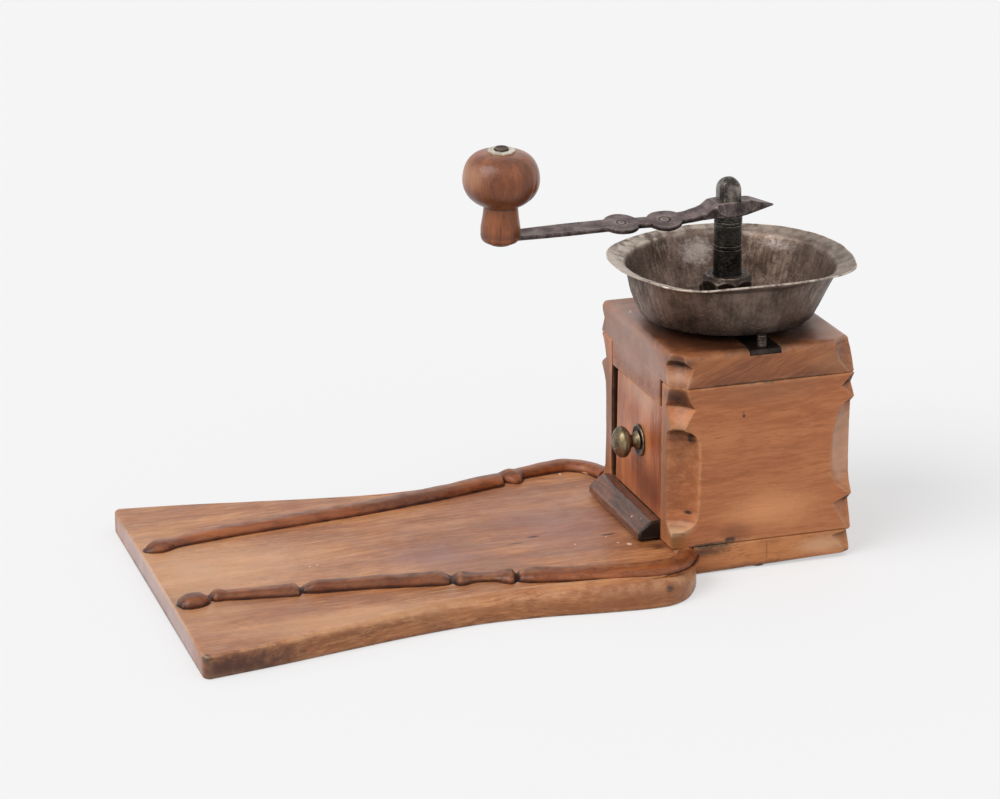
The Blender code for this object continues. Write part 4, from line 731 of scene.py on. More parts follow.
HEAD_SPOTS = (
    Spot((-2, -13, 134), (64, 64, 7), "3C2012", share=0.9, soft=0.35, ragged=0.25),
    # Painted sheen on the front part of the top.
    Spot((-54, 30, 133), (16, 50, 6), "BE9C90", share=0.5, soft=0.9, ragged=0.5),
    Spot((52, -38, 134), (22, 38, 6), "DCAC92", share=0.65, soft=0.9, ragged=0.4),
    Spot((-44, -40, 134), (12, 11, 6), "5A3424", share=0.4, soft=0.8),
    # Painted sheen on the head's front face.
    Spot((-56.4, 5, 121), (3, 70, 20), "AC8E82", share=0.5, soft=0.5),
    Spot((-49.1, 30.4, 134), (1, 1.6, 2), "EAD6C6", share=0.9, soft=0.5),
    Spot((-47.8, 33, 134), (0.7, 1, 2), "EAD6C6", share=0.9, soft=0.5),
    # Painted shade under the notch's overhang at the near-front corner; the next spot is painted light
    # on the cut below, which faces up.
    Spot((-53, -56, 129), (15, 15, 4.4), "38221B"),
    Spot((-52, -55, 119), (15, 15, 5.2), "D2A284", share=0.5, soft=0.8, ragged=0.8),
    Spot((0, -56, 133), (15, 13, 5), "241611", soft=0.5, ragged=0.8),
    Spot((0, -61.2, 114), (65, 3, 1.2), "22130E", ragged=1),
    Spot((45, -61.2, 122), (28, 4, 11), "B88258", share=0.5, soft=0.9),
)

DRAWER_SPOTS = (
    # Painted sheen on the upper front, painted shade on the lower front, and a darker strip along the
    # near edge.
    Spot((-55.4, -6, 96), (3, 42, 16), "CCA88E", share=0.45, soft=0.9, ragged=0.4),
    Spot((-55.4, -20, 42), (3, 42, 21), "662A12", share=0.85, soft=0.9, ragged=0.4),
    Spot((-55.4, -40, 70), (3, 4, 40), "5A2A18", share=0.6, soft=0.9, ragged=0.4),
)

KNOB_SPOTS = (
    # Painted shade on the ball's lower half, then a painted highlight on its upper left side; the last
    # spot is the neck's own colour.
    Spot((-139.1, 0, 221.5), (34, 34, 8.5), "421C0C", share=0.75),
    Spot((-160, -8, 235), (12, 20, 10), "BC8C6C", share=0.5, soft=0.8, ragged=0.4),
    Spot((-139.1, 0, 209), (20, 20, 9), "A05E30", share=0.6, soft=0.9, ragged=0.4),
)

SILL_SPOTS = (
    Spot((-63, -41.2, 22), (11, 2.2, 11), "0E0907", share=1, soft=0.3, ragged=0.1),
    Spot((-66, -20, 25), (1.2, 1.2, 1.2), "C8B8A0", share=0.8),
    Spot((-64, -30, 27), (1, 1.6, 1), "C8B8A0"),
)

TIN_SPOTS = (
    Spot((-45.6, -34.3, 157.5), (9, 9, 6), "2E2620", share=0.6, soft=0.9),
    Spot((-56, 0, 156), (8, 9, 10), "7A5A3E", share=0.5, soft=0.8, ragged=0.5),
    # Painted reflections: bright streaks on the inner wall, this spot and the next.
    Spot((3, 58, 159), (14, 12, 12), "D8CAC2", share=0.55, soft=0.8, ragged=1.2),
    Spot((48.9, 38.2, 164), (18, 18, 4), "C8BEB8", share=0.3, soft=0.9, ragged=1.2),
    # Painted light on the left part of the lip, then painted shade on its right part.
    Spot((-69, 6, 172), (12, 56, 9), "E4D2C8", share=0.9, ragged=0.5),
    Spot((70, 0, 172), (13, 50, 7), "6E625A", share=0.6, soft=0.8, ragged=0.5),
    # Painted shadow at the bowl's foot.
    Spot((30, -44, 142), (20, 10, 4), "1E1814", soft=0.8, ragged=0.9),
)


def new_material(name: str) -> tuple[Material, Recipe, bpy.types.Node]:
    """Make a material, and return it with its recipe and its Principled shader."""
    made = bpy.data.materials.new(name)
    made.use_nodes = True
    return made, Recipe(made.node_tree), made.node_tree.nodes["Principled BSDF"]


def set_shader(recipe: Recipe, shader: bpy.types.Node, inputs: dict[str, Source]) -> None:
    """Set or link several of a shader's inputs."""
    for label, value in inputs.items():
        recipe.feed(shader.inputs[label], value)


def bump(recipe: Recipe, height: Source, depth: float, under: Source | None = None) -> Socket:
    """Turn a height from 0 to 1 into a normal, at a depth in metres, over another normal if given."""
    inputs = {"Height": height, "Distance": depth, "Strength": 1.0}
    return recipe.node("Bump", inputs if under is None else inputs | {"Normal": under}).outputs[0]


def add_spots(recipe: Recipe, place: Source, colour: Source, spots: Sequence[Spot]) -> Source:
    """Lay a row of spots over a colour."""
    for spot in spots:
        centre, reach = (tuple(value * MM for value in row) for row in (spot.centre, spot.reach))
        mask = recipe.group(EFFECTS.spot, {"Vector": place, "Centre": centre, "Reach": reach,
                                           "Soft": spot.soft, "Ragged": spot.ragged}).outputs["Mask"]
        colour = recipe.blend(recipe.maths("MULTIPLY", mask, spot.share), colour, tint(spot.colour))
    return colour


@dataclass(frozen=True)
class WoodFinish:
    """Waxed walnut, darkened by use."""

    name: str
    dark: str
    middle: str
    light: str
    stain: str
    rubbed: str
    dirt: str = "1E1410"
    grain: Grain = Grain.ALONG_X
    lean: Point = (0.0, 0.0, 0.0)
    band: float = 1.0
    fibre_share: float = 0.5
    pore_share: float = 0.5
    stain_share: float = 0.5
    stain_scale: float = 24.0
    roughness: float = 0.42
    wear: float = 0.3
    grime: float = 0.9
    bump_depth: float = 0.0001
    coat: float = 0.4
    sheen: float = 0.3
    spots: tuple[Spot, ...] = ()

    def make(self) -> Material:
        """Build the material."""
        made, recipe, shader = new_material(self.name)
        place = recipe.place()
        turn = tuple(a + b for a, b in zip(self.grain.value, self.lean))
        along = recipe.laid(place, turn=turn)
        figure = recipe.group(EFFECTS.figure, {"Vector": along, "Band": self.band})
        colour = recipe.ramp(figure.outputs["Tone"], [(0.0, tint(self.dark)), (0.5, tint(self.middle)),
                                                     (1.0, tint(self.light))])
        fibre = recipe.maths("SUBTRACT", figure.outputs["Fibre"], 0.5)
        deep = recipe.maths("MULTIPLY", fibre, self.fibre_share * 1.6, clamp=True)
        pale = recipe.maths("MULTIPLY", fibre, self.fibre_share * -1.6, clamp=True)
        colour = recipe.blend(deep, colour, tint(self.dark))
        colour = recipe.blend(pale, colour, tint(self.light))
        patch = recipe.noise(along, self.stain_scale, 5.0, 0.6, 0.4)
        patch = recipe.maths("MULTIPLY", recipe.spread(patch, 0.42, 0.68), self.stain_share)
        colour = recipe.blend(patch, colour, tint(self.stain))
        pore = recipe.maths("MULTIPLY", figure.outputs["Pore"], self.pore_share)
        colour = recipe.blend(pore, colour, tint(self.dirt))
        colour = add_spots(recipe, place, colour, self.spots)
        edges = recipe.group(EFFECTS.wear, {"Vector": place, "Colour": colour, "WearAndLight": self.wear,
                                            "RubbedAndLit": tint(self.rubbed), "DirtAndShade": tint(self.dirt),
                                            "GrimeAndShade": self.grime})
        gloss = recipe.noise(place, 60.0, 4.0, 0.6)
        rough = recipe.spread(gloss, 0.3, 0.7, self.roughness - 0.07, self.roughness + 0.09)
        rough = recipe.maths("ADD", rough, recipe.maths("MULTIPLY", edges.outputs["Darkening"], 0.25),
                             clamp=True)
        broad = bump(recipe, recipe.noise(along, 90.0, 2.0), self.bump_depth * 3)
        normal = bump(recipe, figure.outputs["Height"], self.bump_depth, broad)
        set_shader(recipe, shader, {"Base Color": edges.outputs["Colour"], "Roughness": rough,
                                    "Normal": normal, "Specular IOR Level": self.sheen,
                                    "Coat Weight": self.coat, "Coat Roughness": 0.32})
        return made


@dataclass(frozen=True)
class IronFinish:
    """Old iron: dark scale, brown rust and brighter edges where the metal is worn bare."""

    name: str
    dark: str
    light: str
    rust: str
    rubbed: str
    rust_share: float = 0.4
    scale: float = 1.0
    roughness: float = 0.45
    metallic: float = 0.85
    wear: float = 0.8
    bump_depth: float = 0.00025
    spots: tuple[Spot, ...] = ()

    def make(self) -> Material:
        """Build the material."""
        made, recipe, shader = new_material(self.name)
        place = recipe.place()
        pits = recipe.group(EFFECTS.pitting, {"Vector": place, "Scale": self.scale})
        colour = recipe.ramp(pits.outputs["Mottle"], [(0.0, tint(self.dark)), (1.0, tint(self.light))])
        rust = recipe.spread(recipe.noise(place, 75.0 * self.scale, 5.0, 0.65), 0.45, 0.68)
        rust = recipe.maths("MULTIPLY", rust, self.rust_share)
        colour = recipe.blend(rust, colour, tint(self.rust))
        pit = recipe.maths("MULTIPLY", pits.outputs["Pit"], 0.45)
        colour = recipe.blend(pit, colour, tint(self.dark))
        colour = add_spots(recipe, place, colour, self.spots)
        edges = recipe.group(EFFECTS.wear, {"Vector": place, "Colour": colour, "WearAndLight": self.wear,
                                            "RubbedAndLit": tint(self.rubbed), "DirtAndShade": tint("120E0C"),
                                            "GrimeAndShade": 0.8})
        rough = recipe.spread(pits.outputs["Mottle"], 0.0, 1.0, self.roughness + 0.08,
                              self.roughness - 0.06)
        rough = recipe.maths("ADD", rough, recipe.maths("MULTIPLY", rust, 0.4), clamp=True)
        metal = recipe.maths("SUBTRACT", self.metallic, recipe.maths("MULTIPLY", rust, 0.5), clamp=True)
        set_shader(recipe, shader, {"Base Color": edges.outputs["Colour"], "Roughness": rough,
                                    "Metallic": metal,
                                    "Normal": bump(recipe, pits.outputs["Height"], self.bump_depth)})
        return made


@dataclass(frozen=True)
class TinFinish:
    """An old tinned sheet, worn thin: brown-grey with streaks down its walls, brighter at its worn
    places and where painted light is marked, with painted glints along the streaks.
    """

    name: str
    dark: str
    light: str
    bright: str
    rust: str
    rim: str
    spots: tuple[Spot, ...] = ()

    def make(self) -> Material:
        """Build the material."""
        made, recipe, shader = new_material(self.name)
        place = recipe.place()
        lines = recipe.group(EFFECTS.streaks, {"Vector": place, "Fine": 26.0, "Drop": 5.0})
        level = recipe.node("SeparateXYZ", {0: place}).outputs["Z"]
        wall = recipe.spread(level, 0.1665, 0.1685, 1.0, 0.0)
        streak = recipe.maths("ADD", 0.5, recipe.maths("MULTIPLY", wall, recipe.maths(
            "SUBTRACT", lines.outputs["Streak"], 0.5)))
        pits = recipe.group(EFFECTS.pitting, {"Vector": place, "Scale": 0.6})
        cloud = recipe.spread(recipe.noise(place, 34.0, 6.0, 0.62), 0.3, 0.7)
        tone = recipe.maths("ADD", recipe.maths("MULTIPLY", streak, 0.25),
                            recipe.maths("MULTIPLY", cloud, 0.45))
        tone = recipe.maths("ADD", tone, recipe.maths("MULTIPLY", pits.outputs["Mottle"], 0.28))
        colour = recipe.ramp(tone, [(0.2, tint(self.dark)), (0.8, tint(self.light))])
        rust = recipe.spread(recipe.noise(place, 42.0, 6.0, 0.68), 0.5, 0.72)
        colour = recipe.blend(recipe.maths("MULTIPLY", rust, 0.4), colour, tint(self.rust))
        # Painted glints: bright patches along the streaks, standing in for reflections on the wall.
        glint = recipe.spread(recipe.noise(place, 26.0, 2.0), 0.56, 0.74)
        glint = recipe.maths("MULTIPLY", glint, recipe.spread(streak, 0.45, 0.8))
        colour = recipe.blend(recipe.maths("MULTIPLY", glint, 0.22), colour, tint(self.bright))
        colour = add_spots(recipe, place, colour, self.spots)
        edges = recipe.group(EFFECTS.wear, {"Vector": place, "Colour": colour, "WearAndLight": 0.8,
                                            "RubbedAndLit": tint(self.rim), "DirtAndShade": tint("1C1512"),
                                            "GrimeAndShade": 0.6})
        rough = recipe.spread(streak, 0.0, 1.0, 0.56, 0.4)
        rough = recipe.maths("ADD", rough, recipe.maths("MULTIPLY", rust, 0.2), clamp=True)
        set_shader(recipe, shader, {"Base Color": edges.outputs["Colour"], "Roughness": rough,
                                    "Metallic": 0.8,
                                    "Normal": bump(recipe, pits.outputs["Height"], 0.0003)})
        return made


@dataclass(frozen=True)
class Finishes:
    """Every finish of the grinder."""

    board: WoodFinish = WoodFinish("waxed_board", "925C36", "AE6E44", "CA8E5E", "85523C", "DCB088",
                                   band=0.8, fibre_share=0.85, pore_share=0.35, stain_scale=14.0,
                                   stain_share=0.5, coat=0.25, spots=BOARD_SPOTS)
    # The beads are carved in the board; this darker copy of its walnut is partly painted shade on their
    # sides.
    bead: WoodFinish = WoodFinish("darker_bead_wood", "52230A", "783812", "A05626", "48200C", "CC9060",
                                  band=0.8, stain_scale=18.0, stain_share=0.4, roughness=0.38,
                                  coat=0.25)
    side: WoodFinish = WoodFinish("orange_side_wood", "A6623A", "B87044", "C47E50", "A05E3C", "DCAC80",
                                  band=0.9, fibre_share=0.9, pore_share=0.12, stain_share=0.25,
                                  roughness=0.46, coat=0.2, spots=SIDE_SPOTS)
    head: WoodFinish = WoodFinish("stained_head_wood", "784226", "965834", "AE6C40", "603420", "CC9C74",
                                  lean=(0.0, 0.35, 0.0), fibre_share=0.7, pore_share=0.3,
                                  stain_share=0.4, coat=0.3,
                                  spots=HEAD_SPOTS)
    base: WoodFinish = WoodFinish("base_wood", "A26036", "BE7646", "CC8652", "86502E", "DCA878",
                                  pore_share=0.35, stain_share=0.4, roughness=0.46, coat=0.2,
                                  spots=BASE_SPOTS)
    drawer: WoodFinish = WoodFinish("red_drawer_wood", "8C4A2A", "B0643A", "C87E50", "80402A", "D09468",
                                    grain=Grain.ALONG_Z, pore_share=0.3, stain_share=0.35, coat=0.25,
                                    spots=DRAWER_SPOTS)
    knob: WoodFinish = WoodFinish("polished_knob_wood", "63321A", "8A4A26", "A66238", "5A2C14", "B87C52",
                                  grain=Grain.ALONG_Z, band=1.2, pore_share=0.35, stain_share=0.35,
                                  roughness=0.36, wear=0.2, coat=0.4, spots=KNOB_SPOTS)
    plain: WoodFinish = WoodFinish("plain_inner_wood", "8A6240", "A47C54", "B89068", "7C5A3C", "C8A880",
                                   roughness=0.7, stain_share=0.3, wear=0.2)
    sill: WoodFinish = WoodFinish("dark_sill_wood", "35201A", "60392A", "84523A", "281711", "8C7060",
                                  grain=Grain.ALONG_Y, fibre_share=1.0, roughness=0.4, stain_share=0.4,
                                  wear=0.6, coat=0.25, spots=SILL_SPOTS)
    tin: TinFinish = TinFinish("worn_tinned_iron", "4A3B33", "836F63", "C4B6AC", "54402E", "C8BAAC",
                               spots=TIN_SPOTS)
    forged: IronFinish = IronFinish("forged_iron", "55484A", "8A7A76", "5E4A42", "AA9A92",
                                    rust_share=0.35)
    black: IronFinish = IronFinish("blackened_iron", "1A1614", "443832", "33221A", "8A7C70",
                                   rust_share=0.3, roughness=0.42, metallic=0.8)
    shaft: IronFinish = IronFinish("oiled_shaft_iron", "181715", "2A2926", "2E2018", "8A8078",
                                   rust_share=0.2, roughness=0.3, metallic=0.9, wear=0.9,
                                   spots=(Spot((7, -4.6, 186), (1.3, 1.3, 13), "C8B4A0", share=0.8),))
    bearing: IronFinish = IronFinish("bearing_iron", "1D1512", "342823", "382821", "86766A",
                                     rust_share=0.45, roughness=0.44)
    steel: IronFinish = IronFinish("screw_steel", "4A443E", "80786E", "5A4032", "B8AEA4",
                                   rust_share=0.4, scale=1.6)
    rusty: IronFinish = IronFinish("rusty_spindle_iron", "2A1E18", "4C3A30", "5A3622", "8A7A6C",
                                   rust_share=0.7, scale=1.6, roughness=0.6, metallic=0.6)
    brass: IronFinish = IronFinish("tarnished_brass", "443924", "846F50", "3C3022", "D0C2A4",
                                   rust_share=0.35, roughness=0.34, metallic=0.9, scale=1.4,
                                   bump_depth=0.0001)
    rose: IronFinish = IronFinish("dark_rose_brass", "221913", "453729", "2B1F17", "9C8C72",
                                  rust_share=0.4, roughness=0.42, metallic=0.85, scale=1.4,
                                  bump_depth=0.0001)
    washer: IronFinish = IronFinish("pale_washer_brass", "A89E88", "E2DBCA", "7A6A52", "EEE8DA",
                                    rust_share=0.25, roughness=0.38, metallic=0.7, scale=1.6,
                                    bump_depth=0.0001)


# ---------------------------------------------------------------- stage


@dataclass(frozen=True)
class Studio:
    """The camera of the photograph, the pale floor and soft lamps."""

    place: Point = (-0.6920116569, -1.7163021155, 0.7050549353)
    target: Point = (-0.1399, 0.0, 0.09858)
    lens: float = 118.477402
    roll: float = math.radians(-0.314)
    backdrop: float = 0.913
    ambient: float = 0.54
    floor_glow: float = 0.55
    floor_matt: float = 0.55
    floor_faint: float = 0.89
    floor_reach: float = 6.0
    floor_level: float = -0.0002
    lamps: tuple[tuple[str, Point, float, float], ...] = (
        ("key_lamp", (-0.75, -0.25, 0.75), 45.0, 1.9),
        ("fill_lamp", (0.35, -0.55, 0.75), 70.0, 0.3))

    def make_camera(self) -> None:
        """Stand the camera where the photograph was taken."""
        lens = bpy.data.cameras.new("photograph_camera")
        lens.lens = self.lens
        lens.sensor_width = 36.0
        lens.clip_start = 0.05
        lens.clip_end = 30.0
        camera = new_object("photograph_camera", lens)
        back = (Vector(self.place) - Vector(self.target)).normalized()
        right = Vector((0, 0, 1)).cross(back).normalized()
        up = back.cross(right)
        across = right * math.cos(self.roll) + up * math.sin(self.roll)
        upward = up * math.cos(self.roll) - right * math.sin(self.roll)
        camera.matrix_world = Matrix.Translation(self.place) @ Matrix(
            (across, upward, back)).transposed().to_4x4()
        bpy.context.scene.camera = camera

    def seen(self, recipe: Recipe) -> Socket:
        """1 on rays that see the backdrop: from the camera, a gloss or through glass."""
        path = recipe.node("LightPath").outputs
        seen = recipe.maths("MAXIMUM", path["Is Camera Ray"], path["Is Glossy Ray"])
        return recipe.maths("MAXIMUM", seen, path["Is Transmission Ray"])

    def make_world(self) -> None:
        """Light the object evenly, and show a pale backdrop."""
        world = bpy.data.worlds.new("studio")
        world.use_nodes = True
        bpy.context.scene.world = world
        recipe = Recipe(world.node_tree)
        shader = world.node_tree.nodes["Background"]
        shown = self.seen(recipe)
        level = recipe.node("MapRange", {"Value": shown, "To Min": self.ambient,
                                         "To Max": self.backdrop})
        recipe.feed(shader.inputs["Color"], (1.0, 1.0, 1.0, 1.0))
        recipe.feed(shader.inputs["Strength"], level.outputs[0])

    def make_floor(self) -> None:
        """Lay a floor that shows the backdrop's white under a soft shadow."""
        skin = Skin()
        side = np.linspace(-self.floor_reach, self.floor_reach, 3)
        grid = np.stack([*np.meshgrid(side, side), np.full((3, 3), self.floor_level)], axis=-1)
        skin.sheet(grid)
        mesh = bpy.data.meshes.new("floor")
        mesh.from_pydata(np.concatenate(skin.points).tolist(), [], np.concatenate(skin.quads).tolist())
        floor = new_object("floor", mesh)
        made = bpy.data.materials.new("pale_floor")
        made.use_nodes = True
        mesh.materials.append(made)
        recipe = Recipe(made.node_tree)
        made.node_tree.nodes.remove(made.node_tree.nodes["Principled BSDF"])
        matt = recipe.node("BsdfDiffuse", {"Color": (*[self.floor_matt] * 3, 1.0)})
        grey = (1.0 - self.floor_glow) * self.floor_faint
        faint = recipe.node("BsdfDiffuse", {"Color": (grey, grey, grey * 1.01, 1.0)})
        glow = recipe.node("Emission", {"Color": (1.0, 1.0, 1.0, 1.0),
                                        "Strength": self.backdrop * self.floor_glow})
        white = recipe.node("AddShader", {0: faint.outputs[0], 1: glow.outputs[0]})
        choice = recipe.node("MixShader", {0: self.seen(recipe), 1: matt.outputs[0],
                                           2: white.outputs[0]})
        recipe.feed(made.node_tree.nodes["Material Output"].inputs["Surface"], choice.outputs[0])

    def make_lamp(self, name: str, towards: Point, spread: float, strength: float) -> None:
        """Hang a wide soft lamp far away.

        Args:
            name: the lamp's name.
            towards: the direction from the object to the lamp.
            spread: how wide the lamp looks, in degrees.
            strength: its power on a surface that faces it.
        """
        data = bpy.data.lights.new(name, "SUN")
        data.angle = math.radians(spread)
        data.energy = strength
        lamp = new_object(name, data)
        lamp.matrix_world = Vector(towards).to_track_quat("Z", "Y").to_matrix().to_4x4()

    def make(self) -> None:
        """Set up the whole studio."""
        bpy.context.scene.view_settings.view_transform = "Standard"
        self.make_camera()
        self.make_world()
        self.make_floor()
        for lamp in self.lamps:
            self.make_lamp(*lamp)


# ---------------------------------------------------------------- board


@dataclass(frozen=True)
class SeatBoard:
    """The plank that the user sits on: a thin wedge with a waist, and two raised beads."""

    reach: float = 0.29
    tip_x: float = -0.346
    end_x: float = -0.043
    tip_top: float = 0.0133
    end_top: float = 0.017
    tip_half: float = 0.1205
    waist_half: float = 0.093
    shoulder_half: float = 0.102
    end_half: float = 0.0612
    waist_share: float = 0.584
    shoulder_share: float = 0.914
    flare: Keys = ((0.23, 0.77), (0.5, 0.44), (0.76, 0.15))
    rise: Keys = ((0.34, 0.18), (0.7, 0.72))
    turn: Keys = ((0.29, 0.975), (0.55, 0.84), (0.76, 0.61), (0.91, 0.36),
                                             (0.99, 0.12))
    corner: float = 0.0055
    tray_depth_mm: float = 0.8
    tray_fade_mm: float = 8.0
    margin_drop_mm: float = 1.0
    rows: int = 200
    columns: int = 130
    near_round_mm: Keys = (
        (-346, 1.4), (-320, 1.7), (-290, 2.6), (-250, 4.4), (-215, 6.8), (-180, 9.0), (-140, 10.5),
        (-100, 11.4), (-43, 11.8))
    far_round_mm: Keys = (
        (-346, 1.2), (-300, 2.0), (-240, 4.0), (-180, 6.5), (-120, 8.0), (-43, 8.5))

    def top(self, x: Array | float) -> Array:
        """The level of the top at x: a straight wedge."""
        share = (np.asarray(x, float) - self.tip_x) / (self.end_x - self.tip_x)
        return self.tip_top + (self.end_top - self.tip_top) * share

    def fine_side(self) -> Array:
        """The far side's plan as a smooth curve through its named shares, tip to box."""
        waist = self.tip_x + self.reach * self.waist_share
        shoulder = self.tip_x + self.reach * self.shoulder_share
        stretches = (
            (self.tip_x, waist, self.waist_half, self.tip_half, (*self.flare, (1, 0))),
            (waist, shoulder, self.waist_half, self.shoulder_half, (*self.rise, (1, 1))),
            (shoulder, self.end_x, self.end_half, self.shoulder_half, (*self.turn, (1, 0))))
        keys = np.array([(self.tip_x, self.tip_half)] + [
            (start + (stop - start) * along, narrow + (wide - narrow) * out)
            for start, stop, narrow, wide, shares in stretches for along, out in shares])
        run = run_length(keys)
        return smooth_curve(np.column_stack([run, keys]), np.linspace(0, run[-1], 1200))

    def half_width(self, x: Array) -> Array:
        """Half the board's width at x."""
        fine = self.fine_side()
        return np.interp(x, np.maximum.accumulate(fine[:, 0]), fine[:, 1])

    def side(self) -> Array:
        """The far side's plan, evenly spaced along its length."""
        return evenly(self.fine_side(), self.rows)

    def outline(self) -> Array:
        """The whole plan: far side, box end, near side and tip, each corner in two sides."""
        far = self.side()
        near = far * (1, -1)
        across = spaced(self.columns, 1.15)[1:-1, None]
        end = far[-1] * (1 - across) + near[-1] * across
        tip = near[0] * (1 - across) + far[0] * across
        ring = np.concatenate([far, end, near[::-1], tip])
        off = np.abs(ring[:, 0] - self.tip_x)
        side = np.abs(np.abs(ring[:, 1]) - far[0, 1])
        reach = np.maximum(self.corner - off, 0), np.maximum(self.corner - side, 0)
        both = (reach[0] > 0) & (reach[1] > 0)
        gap = np.hypot(*reach)
        pull = np.where(both & (gap > self.corner), 1 - self.corner / np.maximum(gap, 1e-9), 0.0)
        ring[:, 0] += reach[0] * pull
        ring[:, 1] -= np.sign(ring[:, 1]) * reach[1] * pull
        return ring

    def patch(self, ring: Array) -> Array:
        """Fill a ring by a Coons patch: the sum of both pairs of sides less the corners' blend."""
        rows, columns = self.rows, self.columns
        far = ring[:rows]
        near = ring[rows + columns - 2:2 * rows + columns - 2][::-1]
        end = np.concatenate([far[-1:], ring[rows:rows + columns - 2], near[-1:]])
        tip = np.concatenate([near[:1], ring[2 * rows + columns - 2:], far[:1]])[::-1]
        u = np.linspace(0, 1, rows)[:, None, None]
        v = spaced(columns, 1.15)[None, :, None]
        sides = far[:, None] * (1 - v) + near[:, None] * v
        ends = tip[None] * (1 - u) + end[None] * u
        corners = (far[0] * (1 - u) * (1 - v) + near[0] * (1 - u) * v
                   + far[-1] * u * (1 - v) + near[-1] * u * v)
        return sides + ends - corners

    def make(self, finish: Material) -> None:
        """Build the plank: an upright wall, a rounded upper edge and a softly uneven top."""
        ring = self.outline()
        forward = np.roll(ring, -1, axis=0) - np.roll(ring, 1, axis=0)
        forward /= np.linalg.norm(forward, axis=1, keepdims=True)
        inward = np.stack([forward[:, 1], -forward[:, 0]], axis=-1)
        to_middle = np.array([(self.tip_x + self.end_x) / 2, 0.0]) - ring
        inward *= np.sign((inward * to_middle).sum(axis=1))[:, None]
        x_mm = ring[:, 0] / MM
        radius = np.where(ring[:, 1] < 0, smooth_curve(self.near_round_mm, x_mm)[:, 0],
                          smooth_curve(self.far_round_mm, x_mm)[:, 0]) * MM
        at_tip = smooth_step(3.0, 0.0, (ring[:, 0] - self.tip_x) / MM)
        at_end = smooth_step(1.5, 0.2, (self.end_x - ring[:, 0]) / MM)
        at_end = at_end * (np.abs(ring[:, 1]) < self.end_half - MM)
        radius = radius * (1 - at_tip) + 1.4 * MM * at_tip
        radius = radius * (1 - at_end) + 0.5 * MM * at_end
        top = self.top(ring[:, 0])
        skin = Skin()
        under = 0.7 * MM
        levels = [(under, 0.0), (under * 0.3, under * 0.3), (0.0, under)]
        rows = [np.concatenate([ring + inward * off, np.full((len(ring), 1), level)], axis=1)
                for off, level in levels]
        for share in np.linspace(0.1, 1.0, 7):
            level = under + (top - radius - under) * share
            rows.append(np.concatenate([ring, level[:, None]], axis=1))
        for swing in np.linspace(0, math.pi / 2, 11)[1:]:
            off = radius * (1 - math.cos(swing))
            level = top - radius + radius * math.sin(swing)
            rows.append(np.concatenate([ring + inward * off[:, None], level[:, None]], axis=1))
        wall = np.array(rows)
        worn = (ripple(wall, 0.045, 5) * 0.25 + ripple(wall, 0.014, 6) * 0.1)[..., None] * MM
        flat_inward = np.concatenate([inward, np.zeros((len(ring), 1))], axis=1)
        lifted = smooth_step(0.0, 0.004, wall[..., 2])[..., None]
        wall += flat_inward * (np.abs(worn) + worn) * 0.5 * lifted
        # A pale line along the near top rounding, worn and a painted highlight; the mark below also
        # darkens the wall's lowest 2 mm, painted contact shade.
        rubbed = hump(np.arange(len(wall)), 14, 2.2)[:, None] * (ring[:, 1] < 0) * 0.7
        skin.sheet(wall, around=True, mark=smooth_step(0.0022, 0.0004, wall[..., 2]) * 0.5 - rubbed)
        upper = self.patch(wall[-1])
        upper[..., 2] = np.where(self.rim_mask(), upper[..., 2], self.surface(upper))
        skin.sheet(upper)
        skin.sheet(self.patch(wall[0]))
        add_piece(skin.mesh("seat_board_dressed"), finish, Body.MILL, ["seat_board"],
                  sharp=50, passes=3)

    def rim_mask(self) -> Array:
        """True on the border of the top's grid."""
        mask = np.zeros((self.rows, self.columns), bool)
        mask[[0, -1]] = True
        mask[:, [0, -1]] = True
        return mask

    def surface(self, grid: Array) -> Array:
        """The level of the dressed top: the wedge, slow waves and a tray hollowed between the beads."""
        x, y = grid[..., 0] / MM, grid[..., 1] / MM
        half = self.half_width(grid[..., 0]) / MM
        near = -half * np.interp(x, (-346, -320, -200, -100, -60), (0.34, 0.36, 0.55, 0.8, 0.84))
        far = half * np.interp(x, (-346, -320, -200, -100, -60), (0.37, 0.43, 0.69, 0.88, 0.93))
        fade = self.tray_fade_mm
        inside = smooth_step(0.0, fade, y - near) * smooth_step(0.0, fade, far - y)
        deep = smooth_step(-346, -150, x) * 0.9 + 0.1
        outside = smooth_step(0.0, fade, near - y) * smooth_step(-300, -120, x)
        wave = (ripple(grid * (0.4, 1.0, 0.0), 0.06, 11) * 0.18
                + ripple(grid * (0.5, 1.0, 0.0), 0.02, 12) * 0.07)
        hollow = inside * deep * self.tray_depth_mm + outside * self.margin_drop_mm
        return self.top(grid[..., 0]) + (wave - hollow) * MM


